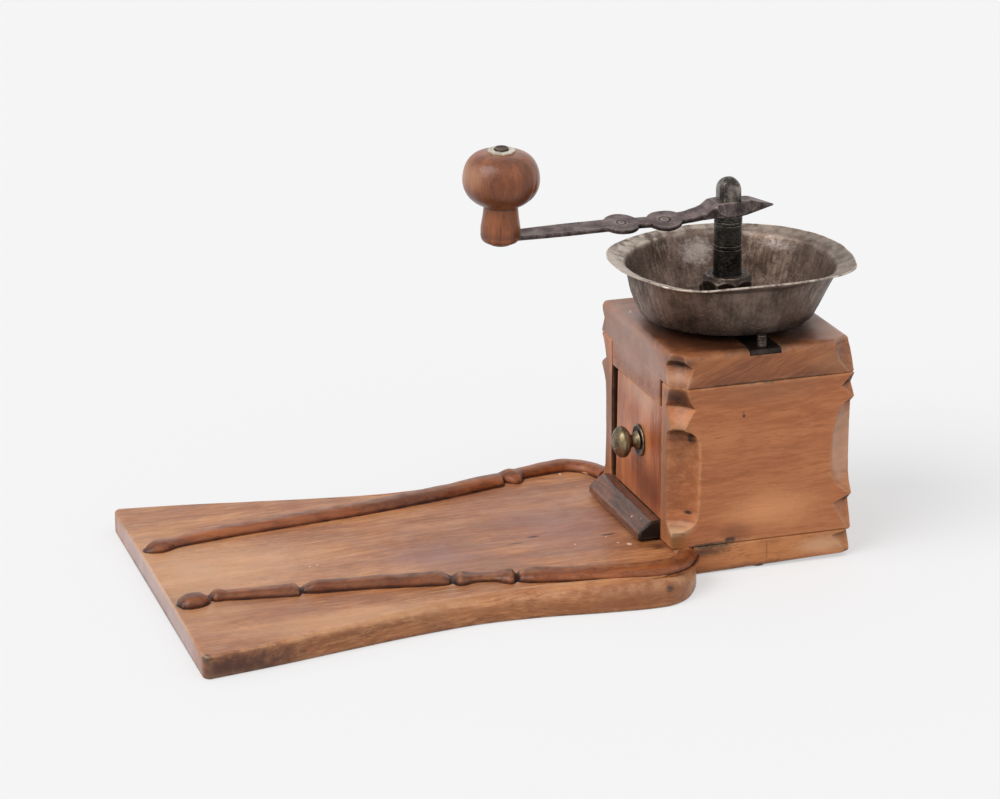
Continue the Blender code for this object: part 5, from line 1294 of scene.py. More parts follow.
@dataclass(frozen=True)
class Bead:
    """A round moulding carved on the board: a section carried along a route.

    The route's keys are shares of the board's reach and of its half width; the form's keys are
    x, then how far the bead reaches outwards and inwards and how high it stands, all in mm.
    """

    name: str
    sign: float
    route: Keys
    form: Keys
    sink: float = 2.4
    skirt: float = 1.9
    step: float = 0.6

    def run(self, board: SeatBoard) -> Array:
        """The route as evenly spaced points in millimetres."""
        keys = np.asarray(self.route, float)
        x = board.tip_x + board.reach * keys[:, 0]
        y = self.sign * board.half_width(x) * keys[:, 1]
        spot = run_length(np.column_stack([x, y]))
        fine = smooth_curve(np.column_stack([spot, x, y]), np.linspace(0, spot[-1], 2000)) / MM
        return evenly(fine, int(run_length(fine)[-1] / self.step))

    def make(self, board: SeatBoard, finish: Material) -> None:
        """Carry the section along the route: half an ellipse, darker at each foot with soiling and
        painted shade.
        """
        run = self.run(board)
        form = smooth_curve(self.form, run[:, 0])
        forward = np.gradient(run, axis=0)
        forward /= np.linalg.norm(forward, axis=1, keepdims=True)
        outward = np.stack([-forward[:, 1], forward[:, 0]], axis=-1) * self.sign
        swing = np.linspace(0, math.pi, 21)
        across = np.sign(np.cos(swing)) * np.abs(np.cos(swing)) ** 0.75
        rise = np.sin(swing) ** 0.85
        reach = np.where(across > 0, form[:, :1], form[:, 1:2]) * across
        height = form[:, 2:3] * rise + 0.06
        alive = smooth_step(0.2, 1.6, form[:, 2:3])
        spread = np.array([self.skirt, self.skirt * 0.62, self.skirt * 0.3])
        outer = form[:, :1] + spread
        inner = form[:, 1:2] + spread[::-1]
        low = np.array([-0.12, 0.035, 0.05])
        off = np.concatenate([outer, reach, -inner, -form[:, 1:2] * 0.7, form[:, :1] * 0.7], axis=1)
        lift = np.concatenate([np.broadcast_to(low, outer.shape), height,
                               np.broadcast_to(low[::-1], inner.shape),
                               np.full((len(run), 2), -self.sink)], axis=1)
        # Each foot's skirt darkens towards the bead: soiling and painted shade in the groove.
        dirt = np.array([0.0, 0.15, 0.7])
        # Lower sides darker with painted shade; the crest paler, worn and with a painted highlight.
        flank = smooth_step(0.45, 0.0, rise) * 0.7 - smooth_step(0.93, 1.0, rise) * 0.45
        mark = np.concatenate([np.broadcast_to(dirt, outer.shape), np.broadcast_to(flank, height.shape),
                               np.broadcast_to(dirt[::-1], inner.shape),
                               np.zeros((len(run), 2))], axis=1)
        grid = np.empty((*off.shape, 3))
        grid[..., :2] = (run[:, None] + outward[:, None] * off[..., None]) * MM
        grid[..., 2] = board.surface(grid) + lift * MM
        body = (lift > 0.3) * np.minimum(lift, 1.0)
        grid[..., 2] += (ripple(grid, 0.013, 21) * 0.16 + ripple(grid, 0.03, 22) * 0.16) * body * MM
        skin = Skin()
        skin.tube(grid, 2, np.clip(mark * (0.35 + 0.65 * alive) + self.crease(form)[:, None], -1, 1))
        add_piece(skin.mesh(self.name), finish, Body.MILL, sharp=50, passes=1)

    def crease(self, form: Array) -> Array:
        """Soiling and painted shade in the narrow grooves between the bead's parts: where it dips
        sharply.
        """
        height = form[:, 2]
        near = np.maximum.reduce([np.roll(height, shift) for shift in range(-5, 6)])
        return smooth_step(0.6, 2.2, near - height) * 0.9


NEAR_BEAD = Bead("near_bead", -1, (
    (0.008, 0.36), (0.044, 0.359), (0.06, 0.345), (0.08, 0.333), (0.15, 0.372), (0.238, 0.42),
    (0.4, 0.513), (0.543, 0.638), (0.671, 0.733), (0.844, 0.813), (0.931, 0.842), (0.979, 0.846),
    (1.007, 0.836), (1.021, 0.815)), (
    (-342.8, 0.6, 0.6, 0), (-342.2, 3.4, 3.4, 1.8), (-339.6, 6.2, 6.2, 4.2),
    (-334, 7.6, 7.6, 5.3), (-330, 7, 6.8, 4.9), (-327, 5.4, 5.2, 3.5),
    (-325.4, 3.4, 3.2, 0.4), (-323.8, 3.4, 3.6, 0.5), (-322.2, 4.6, 4.4, 3),
    (-314, 4.9, 4.8, 3.7), (-302.5, 5.3, 5.1, 3.9), (-290, 6, 5.5, 4.1),
    (-279, 7, 5.8, 4.2), (-275.2, 7.1, 5.8, 4), (-273.8, 5.6, 5.6, 2.2),
    (-272.6, 3, 5.4, 0.4), (-271.2, 3.4, 5.4, 2.4), (-268, 4.4, 5.6, 4.1),
    (-250, 5.4, 5.9, 4.3), (-230, 6, 6.1, 4.4), (-205, 6.3, 6.2, 4.4),
    (-193, 6.2, 6.2, 4), (-190, 5.2, 6, 2.2), (-188.2, 3.4, 5.6, 0.3),
    (-186.4, 5.8, 5.8, 2.4), (-183.5, 7.6, 6, 4.7), (-181, 7, 6.2, 4.1),
    (-177, 4.4, 6.2, 3.2), (-170, 3.1, 6.2, 2.6), (-163, 4, 6.2, 3.1),
    (-159, 6.6, 6.2, 4.4), (-156.5, 7.7, 6.2, 4.7), (-154.2, 6.6, 6, 3.6),
    (-152.6, 4, 5.8, 0.4), (-151, 5, 6, 3), (-147, 6.3, 6.4, 4.3),
    (-130, 6.8, 6.8, 4.6), (-101.2, 7.4, 7.2, 4.7), (-85, 7.6, 7.3, 4.7), (-74, 7.9, 7.2, 4.6),
    (-65.5, 8, 6.8, 4.5), (-59, 7.8, 5.8, 4.2), (-55, 7.4, 4.8, 3.9), (-49, 7, 4.4, 3.6)))

FAR_BEAD = Bead("far_bead", 1, (
    (0.008, 0.358), (0.035, 0.385), (0.0575, 0.408), (0.172, 0.4955), (0.335, 0.598), (0.508, 0.71),
    (0.688, 0.809), (0.813, 0.862), (0.879, 0.896), (0.951, 0.931), (0.993, 0.941), (1.012, 0.915),
    (1.021, 0.865)), (
    (-343.2, 0.3, 0.3, 0), (-341.8, 2.4, 2.6, 1.2), (-338.5, 4.8, 5.2, 3.4),
    (-334.5, 6.5, 6.8, 4.7), (-330.5, 6.4, 6.6, 4.6), (-325.5, 5.4, 5.4, 3.5),
    (-321, 5.4, 5.3, 3.4), (-312, 5.9, 5.8, 4), (-296.1, 6.3, 6.3, 4.3),
    (-248.8, 6.5, 6.5, 4.4), (-198.7, 6.7, 6.7, 4.5), (-146.5, 6.9, 6.9, 4.6),
    (-120, 7, 6.9, 4.5), (-114, 7, 6.2, 4.2), (-112.2, 7, 3.4, 3.8),
    (-110.6, 7, 4.6, 3.9), (-107.5, 7, 8.6, 4.7), (-104.5, 7, 9.2, 5.2),
    (-101.5, 6.9, 6.8, 4.4), (-99, 6.8, 4.4, 4), (-95, 6.6, 4.6, 4.1),
    (-86, 6.6, 5.4, 4.4), (-76, 6.6, 5.8, 4.6), (-67, 6.6, 6, 4.6),
    (-60.5, 6.6, 5.8, 4.4), (-56.5, 6.6, 5.2, 4.2), (-49, 6.4, 4.4, 3.8)))


# ---------------------------------------------------------------- box


@dataclass(frozen=True)
class CarvedBlock:
    """A block whose upright corners are notched and scooped, lofted from its sections.

    Each corner's keys are a level, then how far the cut reaches along X and along Y at that
    level, all in millimetres. Between keys the reaches run straight, so keys make crisp valleys
    and ridges.
    """

    name: str
    low: Point
    high: Point
    near_front: Keys = ()
    far_front: Keys = ()
    near_back: Keys = ()
    far_back: Keys = ()
    arris: float = 0.0007
    crown: float = 0.0007
    seed: int = 1
    sag: tuple[float, float] = (0.0, 0.0)
    spacing: float = 0.0009
    arc_steps: int = 9
    face_steps: int = 22

    def corner_arc(self, sx: int, sy: int, level: Array) -> Array:
        """The section of one corner at each level: an arc hollowed from outside the block."""
        keys = {(-1, -1): self.near_front, (-1, 1): self.far_front,
                (1, -1): self.near_back, (1, 1): self.far_back}[sx, sy]
        along = np.full(len(level), self.arris)
        across = np.full(len(level), self.arris)
        if keys:
            table = np.asarray(sorted(keys)) * MM
            for shift in (-0.3 * MM, 0.0, 0.3 * MM):
                along += (np.interp(level + shift, table[:, 0], table[:, 1]) - self.arris) / 3
                across += (np.interp(level + shift, table[:, 0], table[:, 2]) - self.arris) / 3
            along = np.maximum(along + ripple(level[:, None] * (1, 0, 0), 0.011, self.seed) * 0.25 * MM
                               * smooth_step(4 * MM, 9 * MM, along), self.arris)
            across = np.maximum(across, self.arris)
        out_x = along * 0.3
        out_y = np.maximum((along ** 2 + 2 * along * out_x - across ** 2) / (2 * across), 0.15 * across)
        radius = np.hypot(along + out_x, out_y)
        start = np.arctan2(across + out_y, out_x)
        stop = np.arctan2(out_y, along + out_x)
        t = np.linspace(0, 1, self.arc_steps)
        swing = start[:, None] * (1 - t) + stop[:, None] * t
        first = np.hypot(out_x, across + out_y)
        radius = first[:, None] * (1 - t) + radius[:, None] * t
        u = radius * np.cos(swing) - out_x[:, None]
        v = radius * np.sin(swing) - out_y[:, None]
        x = (self.low[0] + u) if sx < 0 else (self.high[0] - u)
        y = (self.low[1] + v) if sy < 0 else (self.high[1] - v)
        return np.stack([x, y], axis=-1)

    def section(self, level: Array) -> Array:
        """The block's outline at each level, corner by corner and face by face."""
        arcs = [self.corner_arc(-1, -1, level), self.corner_arc(1, -1, level)[:, ::-1],
                self.corner_arc(1, 1, level), self.corner_arc(-1, 1, level)[:, ::-1]]
        share = spaced(self.face_steps, 1.8)[1:-1, None]
        parts = []
        for i, arc in enumerate(arcs):
            parts.append(arc)
            parts.append(arc[:, -1:] * (1 - share) + arcs[(i + 1) % 4][:, :1] * share)
        return np.concatenate(parts, axis=1)

    def levels(self) -> Array:
        """Levels from the bottom to the top, with one at each key."""
        low, high = self.low[2] + self.arris, self.high[2] - self.crown
        rows = [np.linspace(low, high, int((high - low) / self.spacing) + 1)]
        for keys in (self.near_front, self.far_front, self.near_back, self.far_back):
            rows.append(np.array([key[0] for key in keys]) * MM)
        rows = np.unique(np.round(np.concatenate(rows), 5))
        rows = rows[(rows >= low - 1e-9) & (rows <= high + 1e-9)]
        return rows[np.concatenate([[True], np.diff(rows) > 5e-5])]

    def corner_marks(self, level: Array, flat: Array) -> Array:
        """Painted light and shade on the corner cuts: pale where a cut faces up, dark where it
        overhangs.
        """
        made = np.zeros(flat.shape[:2])
        stride = self.arc_steps + self.face_steps - 2
        for number in range(4):
            first = number * stride
            middle = flat[:, first + self.arc_steps // 2]
            corner = np.array([self.low[0] if number in (0, 3) else self.high[0],
                               self.low[1] if number in (0, 1) else self.high[1]])
            depth = np.linalg.norm(middle - corner, axis=1)
            lean = np.gradient(depth, level)
            tone = np.clip(-lean * 1.1, -0.45, 0.75) * smooth_step(1.2 * MM, 2.5 * MM, depth)
            if number == 0:
                # Painted shade deep in the near-front scoop.
                scoop_shade = 0.27 + hump(level, 84 * MM, 12 * MM) * 0.2
                tone = tone + smooth_step(6 * MM, 10 * MM, depth) * scoop_shade
            made[:, first + 1:first + self.arc_steps - 1] = tone[:, None]
        return made

    def inset(self, ring: Array, amount: float, level: float) -> Array:
        """A ring held inside the faces by an amount, at a level."""
        made = ring.copy()
        for axis in (0, 1):
            made[:, axis] = np.clip(made[:, axis], self.low[axis] + amount, self.high[axis] - amount)
        made[:, 2] = level
        return made

    def skin(self) -> Skin:
        """Loft the sections, softened at the top and bottom and slightly uneven."""
        level = self.levels()
        flat = self.section(level)
        tone = self.corner_marks(level, flat)
        height = np.broadcast_to(level[:, None, None], (*flat.shape[:2], 1))
        grid = np.concatenate([flat, height], axis=2)
        rows = [self.inset(grid[0], self.arris, self.low[2])[None], grid]
        for swing in np.linspace(0, math.pi / 2, 7 if self.crown > self.arris else 2)[1:]:
            rows.append(self.inset(grid[-1], self.crown * (1 - math.cos(swing)),
                                   self.high[2] - self.crown * (1 - math.sin(swing)))[None])
        grid = np.concatenate(rows)
        middle = np.array([(self.low[i] + self.high[i]) / 2 for i in range(2)])
        inward = middle - grid[..., :2]
        inward /= np.maximum(np.linalg.norm(inward, axis=-1, keepdims=True), 1e-9)
        worn = ripple(grid, 0.03, self.seed + 40) * 0.1 + ripple(grid, 0.009, self.seed + 50) * 0.06
        grid[..., :2] += inward * (np.maximum(worn, -0.05) + 0.05)[..., None] * MM
        along = (grid[..., 0] - self.low[0]) / (self.high[0] - self.low[0])
        below = (self.high[2] - grid[..., 2]) / (self.high[2] - self.low[2])
        grid[..., 2] -= (self.sag[0] * (1 - along) + self.sag[1] * along) * below
        blank = np.zeros((1, tone.shape[1]))
        tone = np.concatenate([blank, tone, np.repeat(blank, len(grid) - len(tone) - 1, axis=0)])
        made = Skin()
        made.tube(grid, 7, tone)
        return made

    def make(self, finish: Material, stands_for: Sequence[str], cutters: Sequence[Mesh] = ()) -> None:
        """Build the block, cut what is let into it, and dress it."""
        mesh = self.skin().mesh(self.name)
        if cutters:
            mesh = cut_from(mesh, cutters)
        add_piece(mesh, finish, Body.MILL, stands_for, sharp=42)


@dataclass(frozen=True)
class Box:
    """The box of the mill: base, side panels, head and back."""

    front: float = -0.056
    back: float = 0.056
    half: float = 0.0612
    inner: float = 0.0417
    plate_half: float = 0.0097
    plate_seat: float = 0.1299
    plate_ring: float = 0.0363
    bore: float = 0.0293
    foot_seat: float = 0.00575
    screw_seat: float = 0.0043
    feet: Keys = ((-0.0013, -0.0554), (-0.0013, 0.0554))
    near_front: Keys = (
        (17.3, 9, 1.4), (26, 8.8, 1.6), (27.2, 6.4, 3), (29, 11.5, 8.6), (32, 14.8, 11),
        (38, 16.4, 11.8), (50, 17, 12), (70, 17.2, 12), (81, 16.4, 11.6), (85, 14.4, 10.6),
        (87.4, 11, 8.6), (88.6, 7.4, 4.8), (90, 7.2, 4.6), (94, 9.4, 7), (98, 11.8, 10.4),
        (101.2, 13.9, 12.9), (104, 11.4, 11.2), (109, 9.4, 9.2), (113.4, 8.6, 8.2))
    far_front: Keys = (
        (17.3, 1.4, 1), (22, 2.4, 1.6), (26, 9, 6), (32, 12.6, 8.4), (50, 14, 9.2),
        (74, 14, 9.2), (84, 12.6, 8.4), (89, 9, 5.6), (92.4, 4, 2.4), (94, 1.8, 1.2),
        (95.6, 3.4, 2.2), (99.7, 12, 9), (105, 8, 6.6), (110.2, 5, 4), (112, 2.2, 1.6),
        (113.4, 1.4, 0.9))
    near_back: Keys = (
        (17.3, 1.6, 0.8), (22, 5, 2.2), (28, 9, 4.2), (34.2, 12, 6.2), (36.6, 6.6, 3.6),
        (39.2, 1.6, 0.8), (42, 5.6, 2.4), (46, 11, 4.8), (51, 13.6, 6.4), (60, 14.2, 6.9),
        (78, 13.4, 6.9), (88, 11, 6.6), (94.4, 8.4, 6.2), (96.6, 4.6, 3.4), (99, 1.6, 0.7),
        (102.4, 4.2, 3.2), (106, 8.6, 6.4), (109.6, 5, 3.8), (113.4, 2, 0.9))
    head_near_front: Keys = (
        (113.5, 8.6, 8.2), (119, 10, 10.4), (125.6, 12, 13.6), (129, 8, 9.8),
        (132, 4.6, 5.6), (133.6, 3.6, 4))
    head_far_front: Keys = (
        (113.5, 1.6, 1), (116, 2.4, 1.6), (120, 6, 3.6), (123.6, 10, 5.4),
        (127, 4.6, 2.6), (130.4, 2.2, 1.4), (133.6, 3.4, 2.2))
    head_near_back: Keys = (
        (113.5, 3, 1.6), (116, 6.5, 3.2), (121, 10, 5.4), (126, 12.2, 8.4),
        (130, 13.2, 11.6), (131.4, 4.4, 4), (133.6, 0.9, 0.9))
    base_near_back: Keys = (
        (1.5, 7, 4), (2.6, 4.4, 2.2), (5, 5.4, 2.6), (10, 9.4, 4.6), (14.2, 12.4, 6.6),
        (15.6, 6, 3.6), (17, 2, 1))
    screws: Keys = (
        (-0.038, -0.05145), (0.038, -0.05145), (-0.038, 0.05145), (0.038, 0.05145),
        (-0.02, -0.016), (-0.02, 0.016))

    def make_sides(self, finish: Material) -> None:
        """The two side panels, notched above long scoops at their corners."""
        near = CarvedBlock("near_side_carved", (self.front, -self.half, 0.0173),
                           (self.back, -self.inner, 0.1134), near_front=self.near_front,
                           near_back=self.near_back, seed=3, face_steps=26)
        far = CarvedBlock("far_side_carved", (self.front, self.inner, 0.0173),
                          (self.back, self.half, 0.1134), far_front=self.far_front,
                          far_back=self.near_back, seed=8, face_steps=26)
        near.make(finish, ["near_side_panel"])
        far.make(finish, ["far_side_panel"])

    def make_base(self, finish: Material) -> None:
        """The base block, notched at its back corners."""
        block = CarvedBlock("base_carved", (-0.0427, -self.half, 0.0015), (self.back, self.half, 0.017),
                            near_back=self.base_near_back, far_back=self.base_near_back,
                            seed=13, sag=(0.0014, -0.001), face_steps=40)
        cutters = [drum_mesh(f"foot_seat_{number}", self.foot_seat, -0.004, 0.0021, place)
                   for number, place in enumerate(self.feet)]
        cutters += [drum_mesh(f"screw_seat_{number}", self.screw_seat, -0.004, 0.0036, place)
                    for number, place in enumerate(self.screws)]
        block.make(finish, ["base_block"], cutters)

    def make_head(self, finish: Material) -> None:
        """The head block, its plate let in and its rail hanging over the drawer."""
        block = CarvedBlock("head_carved", (self.front, -self.half, 0.1135),
                            (self.back, self.half, 0.1336),
                            near_front=self.head_near_front, far_front=self.head_far_front,
                            near_back=self.head_near_back, far_back=self.head_near_back, seed=23,
                            crown=0.0042, face_steps=42)
        half, seat = self.plate_half, self.plate_seat
        cutters = [box_mesh("plate_slot", (-half, -0.07, seat), (half, 0.07, 0.14)),
                   drum_mesh("plate_ring_slot", self.plate_ring, seat, 0.14, (0, 0), 72),
                   drum_mesh("housing_bore", self.bore, 0.1, 0.14, (0, 0), 64)]
        block.make(finish, ["head_block"], cutters)
        rail = CarvedBlock("head_rail", (self.front + 0.0001, -self.inner + 0.003, 0.0981),
                           (self.front + 0.018, self.inner - 0.0003, 0.118), seed=23,
                           face_steps=30, arris=0.0004)
        rail.make(finish, [])

    def make_back(self, finish: Material) -> None:
        """The back panel between the sides."""
        block = CarvedBlock("back_board", (self.back - 0.014, -self.inner - 0.0003, 0.0171),
                            (self.back, self.inner + 0.0003, 0.1137), seed=33, spacing=0.002,
                            face_steps=34)
        block.make(finish, ["back_panel"])


@dataclass(frozen=True)
class Sill:
    """The dark five-sided bar in front of the drawer."""

    near: float = -0.041
    far: float = 0.045
    back: float = -0.0549
    bottom: float = 0.0173
    depth: float = 0.0141
    height: float = 0.011

    def make(self, finish: Material) -> None:
        """Carry the rounded section along Y, with softened ends."""
        corners = [(0, 0), (0, self.height), (-0.0066, self.height), (-self.depth, 0.0045),
                   (-self.depth, 0)]
        ring = rounded_outline(corners, [0.0005, 0.0008, 0.001, 0.0012, 0.0006], 5, 0.001)
        stations = self.near + (self.far - self.near) * spaced(70, 1.6)
        grid = np.empty((len(stations) + 2, len(ring), 3))
        rows = np.concatenate([[self.near], stations, [self.far]])
        rows[1] += 0.0006
        rows[-2] -= 0.0006
        grid[..., 0] = self.back + ring[:, 0]
        grid[..., 1] = rows[:, None]
        grid[..., 2] = self.bottom + ring[:, 1]
        middle = np.array([self.back - self.depth / 2, 0, self.bottom + self.height * 0.45])
        for row in (0, -1):
            pull = middle - grid[row]
            pull[:, 1] = 0
            grid[row] += pull / np.linalg.norm(pull, axis=1, keepdims=True) * 0.0006
        worn = ripple(grid, 0.02, 61) * 0.12 + ripple(grid, 0.006, 62) * 0.05
        nicked = np.maximum(worn, 0) * smooth_step(0.2, 0.9, ring[:, 1] / self.height) * MM
        grid[1:-1, :, 2] -= nicked[1:-1]
        skin = Skin()
        skin.tube(grid, 4)
        add_piece(skin.mesh("drawer_sill_bar"), finish, Body.MILL, ["drawer_sill"],
                  sharp=35)


# ---------------------------------------------------------------- drawer


@dataclass(frozen=True)
class Drawer:
    """The drawer's front with its brass knob on a rose."""

    face: float = -0.0554
    thickness: float = 0.01
    near: float = -0.0411
    far_low: float = 0.0362
    far_high: float = 0.0336
    low: float = 0.0286
    high: float = 0.0978
    knob_at: tuple[float, float] = (-0.005, 0.066)
    knob_steps: int = 64

    def make_front(self, finish: Material) -> None:
        """The front board, narrower at its top, as rounded outlines stacked along X."""
        corners = [(self.near, self.low), (self.far_low, self.low), (self.far_high, self.high),
                   (self.near, self.high)]
        ring = rounded_outline(corners, [0.0008] * 4, 4, 0.0014)
        middle = ring.mean(axis=0)
        rows = [(0.0, 0.0007), (0.0002, 0.0003), (0.0007, 0.0), (0.003, 0.0), (0.006, 0.0),
                (self.thickness - 0.0006, 0.0), (self.thickness, 0.0006)]
        grid = np.empty((len(rows), len(ring), 3))
        for i, (along, inset) in enumerate(rows):
            pull = middle - ring
            pull /= np.linalg.norm(pull, axis=1, keepdims=True)
            grid[i, :, 0] = self.face + along
            grid[i, :, 1:] = ring + pull * inset
        skin = Skin()
        skin.sheet(grid, around=True)
        skin.lid(grid[0], 16)
        skin.lid(grid[-1], 3)
        mesh = skin.mesh("drawer_face")
        add_piece(mesh, finish, Body.DRAWER, ["drawer_front"], sharp=45)

    def turned_on_face(self, radius: Array, out: Array) -> Array:
        """Carry an outline round the knob's axis: out is the distance from the drawer's face."""
        grid = turned_grid(radius, out, self.knob_steps)
        placed = np.empty_like(grid)
        placed[..., 0] = self.face - 0.0003 - grid[..., 2]
        placed[..., 1] = self.knob_at[0] + grid[..., 0]
        placed[..., 2] = self.knob_at[1] + grid[..., 1]
        return placed

    def make_rose(self, finish: Material) -> None:
        """A thin disc with a raised lip."""
        keys = ((0, 9.6, 0.0), (1, 9.6, 0.7), (2, 9.2, 1.15), (3, 8.6, 1.2), (4, 8.0, 1.0),
                (5, 6.6, 0.75), (6, 5.0, 0.7), (7, 2.4, 0.7), (8, 2.4, 0.0))
        run = smooth_curve(keys, np.linspace(0, 8, 40)) * MM
        skin = Skin()
        grid = self.turned_on_face(run[:, 0], run[:, 1])
        rim = hump(run[:, 0] / MM, 8.9, 0.7) * (run[:, 1] > 0.5 * MM)
        skin.sheet(grid, around=True, mark=-rim[:, None])
        skin.sheet(np.stack([grid[-1], grid[0]]), around=True)
        add_piece(skin.mesh("rose_disc"), finish, Body.DRAWER, ["knob_rose"], sharp=35)

    def make_knob(self, finish: Material) -> None:
        """A flattened ball on a waisted neck, with a small ring round its face."""
        keys = ((0, 0.0, 16.0), (1, 2.6, 15.95), (1.5, 3.2, 15.75), (2, 3.8, 15.85), (3, 6.2, 15.1),
                (4, 8.2, 13.6), (5, 9.25, 11.6), (6, 9.0, 9.4), (7, 7.2, 7.6), (8, 4.9, 6.4),
                (9, 3.8, 5.2), (10, 3.9, 3.8), (11, 4.9, 2.5), (12, 5.6, 1.6), (13, 5.2, 1.3),
                (14, 1.9, 1.3), (15, 1.9, -8.0), (16, 0.0, -8.0))
        run = smooth_curve(keys, np.linspace(0, 16, 150)) * MM
        skin = Skin()
        skin.sheet(self.turned_on_face(np.maximum(run[:, 0], 0), run[:, 1]), around=True)
        add_piece(skin.mesh("brass_pull"), finish, Body.DRAWER, ["drawer_knob"], sharp=50)


# ---------------------------------------------------------------- hopper and mill


@dataclass(frozen=True)
class Hopper:
    """The dented sheet-metal bowl; its rim wanders as years of use left it.

    The section's keys are a share of the way from throat to mouth, a radius and a level; the
    rim's keys are a direction in degrees, a radius and a level. Radii and levels are in mm.
    """

    steps: int = 288
    wall: float = 0.0009
    section_mm: Keys = (
        (0, 25, 141.5), (0.6, 37.5, 141.5), (1, 42.5, 140.2), (1.4, 46.6, 138.5), (1.8, 49.3, 138.5),
        (2, 50.7, 139.8), (2.3, 52, 142.2), (3, 56, 151), (4, 63.2, 168.4))
    rim_mm: Keys = (
        (-180, 70, 172.8), (-165, 70.5, 172), (-150, 71, 171.6), (-138, 73.2, 171),
        (-126, 72.8, 170.9), (-116, 70.9, 171.7), (-104, 68.8, 172.5), (-90, 68.2, 172.8),
        (-72, 69.2, 172.4), (-58, 71.2, 171.7), (-47, 74.6, 171.3), (-37, 75.8, 171.2),
        (-26, 73.6, 171.4), (-8, 71.3, 171.6), (10, 71.5, 171.6), (38, 71.9, 171.6),
        (60, 71, 171.5), (85, 69.8, 171.3), (110, 69, 170.8), (126, 69.4, 170.6),
        (141, 70.4, 171), (160, 69.8, 172), (180, 70, 172.8))

    def surface(self, run: Array, swing: Array) -> Array:
        """The bowl's middle surface: straight from the wall to the mouth, then out to the rim.

        Args:
            run: positions down the section, 0 at the throat and 5 at the rim's edge.
            swing: directions round the axis.

        Returns:
            Radius and level for each position and direction.
        """
        rim = smooth_curve(self.rim_mm, np.degrees(swing)) * MM
        plain = smooth_curve(self.section_mm, np.minimum(run, 4.0)) * MM
        out = np.clip(run - 4.0, 0, 1)[:, None]
        radius = plain[:, :1] * (1 - out) + rim[:, 0] * out
        level = plain[:, 1:] * (1 - out) + rim[:, 1] * out
        pull = (rim[:, 0] - 0.0713) * smooth_step(2.4, 4.0, run)[:, None] * (1 - out) * 0.35
        pull = pull - (smooth_step(110, 165, np.abs(np.degrees(swing))) * 2.4 * MM
                       * smooth_step(3.0, 4.0, run)[:, None] * (1 - out))
        nick = hump(np.degrees(swing), -136, 1.6) + hump(np.degrees(swing), -118, 2.2) * 0.8
        radius = radius + pull - nick * 0.9 * MM * out ** 2
        return np.stack([radius, level - nick * 0.5 * MM * out ** 2], axis=-1)

    def make(self, finish: Material) -> None:
        """Give the surface its thickness along its normals, with a rounded edge at the rim."""
        swing = np.linspace(-math.pi, math.pi, self.steps, endpoint=False)
        run = np.concatenate([np.linspace(0, 1, 8)[:-1], np.linspace(1, 2, 10)[:-1],
                              np.linspace(2, 4, 30)[:-1], np.linspace(4, 5, 12)])
        middle = self.surface(run, swing)
        for _ in range(2):
            middle[1:-1] = (middle[:-2] + 2 * middle[1:-1] + middle[2:]) / 4
        along = np.gradient(middle, axis=0)
        along /= np.linalg.norm(along, axis=-1, keepdims=True)
        normal = np.stack([along[..., 1], -along[..., 0]], axis=-1)
        outer = middle + normal * self.wall / 2
        inner = middle - normal * self.wall / 2
        curl = np.linspace(0, math.pi, 7)[1:-1, None, None]
        edge = (middle[-1] + normal[-1] * np.cos(curl) * self.wall * 0.75
                + along[-1] * np.sin(curl) * self.wall * 0.9)
        loop = np.concatenate([outer, edge, inner[::-1], outer[:1]])
        grid = np.empty((len(loop), self.steps, 3))
        grid[..., 0] = loop[..., 0] * np.cos(swing)
        grid[..., 1] = loop[..., 0] * np.sin(swing)
        grid[..., 2] = loop[..., 1]
        dent = ripple(grid, 0.035, 71) * 0.35 + ripple(grid, 0.012, 72) * 0.08
        dent *= smooth_step(0.143, 0.15, grid[..., 2])
        scale = 1 + dent * MM / np.maximum(loop[..., 0], 0.02)
        grid[..., 0] *= scale
        grid[..., 1] *= scale
        out = np.hypot(grid[..., 0], grid[..., 1])
        level = grid[..., 2]
        row = np.arange(len(loop))[:, None]
        # The lip is paler, worn and with painted light on its upward face; the bowl is darker towards
        # its foot and on its outer wall below the rim.
        lip = smooth_step(0.064, 0.0672, out) * 0.3 + hump(row, len(middle) + 2, 2.5) * 0.35
        foot = smooth_step(0.145, 0.139, level) * (out > 0.042) * 0.5
        skin = Skin()
        outside = smooth_step(len(middle) - 3, len(middle) - 7, row) * 0.3
        # Painted light: the inner wall below the mouth paler, most on the left (-X) side.
        inside = smooth_step(len(middle), len(middle) + 6, row) * (level > 0.1655)
        inside = inside * smooth_step(-0.5 * MM, 1.0 * MM, out - np.interp(
            grid[..., 0], (-0.06, 0.0, 0.06), (0.06, 0.0628, 0.0634)))
        inside = inside * np.interp(grid[..., 0], (-0.06, 0.0, 0.06), (0.9, 0.35, 0.0))
        skin.sheet(grid, around=True, mark=np.clip(foot + outside - lip - inside, -1, 1))
        add_piece(skin.mesh("hopper_sheet"), finish, Body.MILL, ["hopper_bowl"],
                  sharp=50, passes=2)


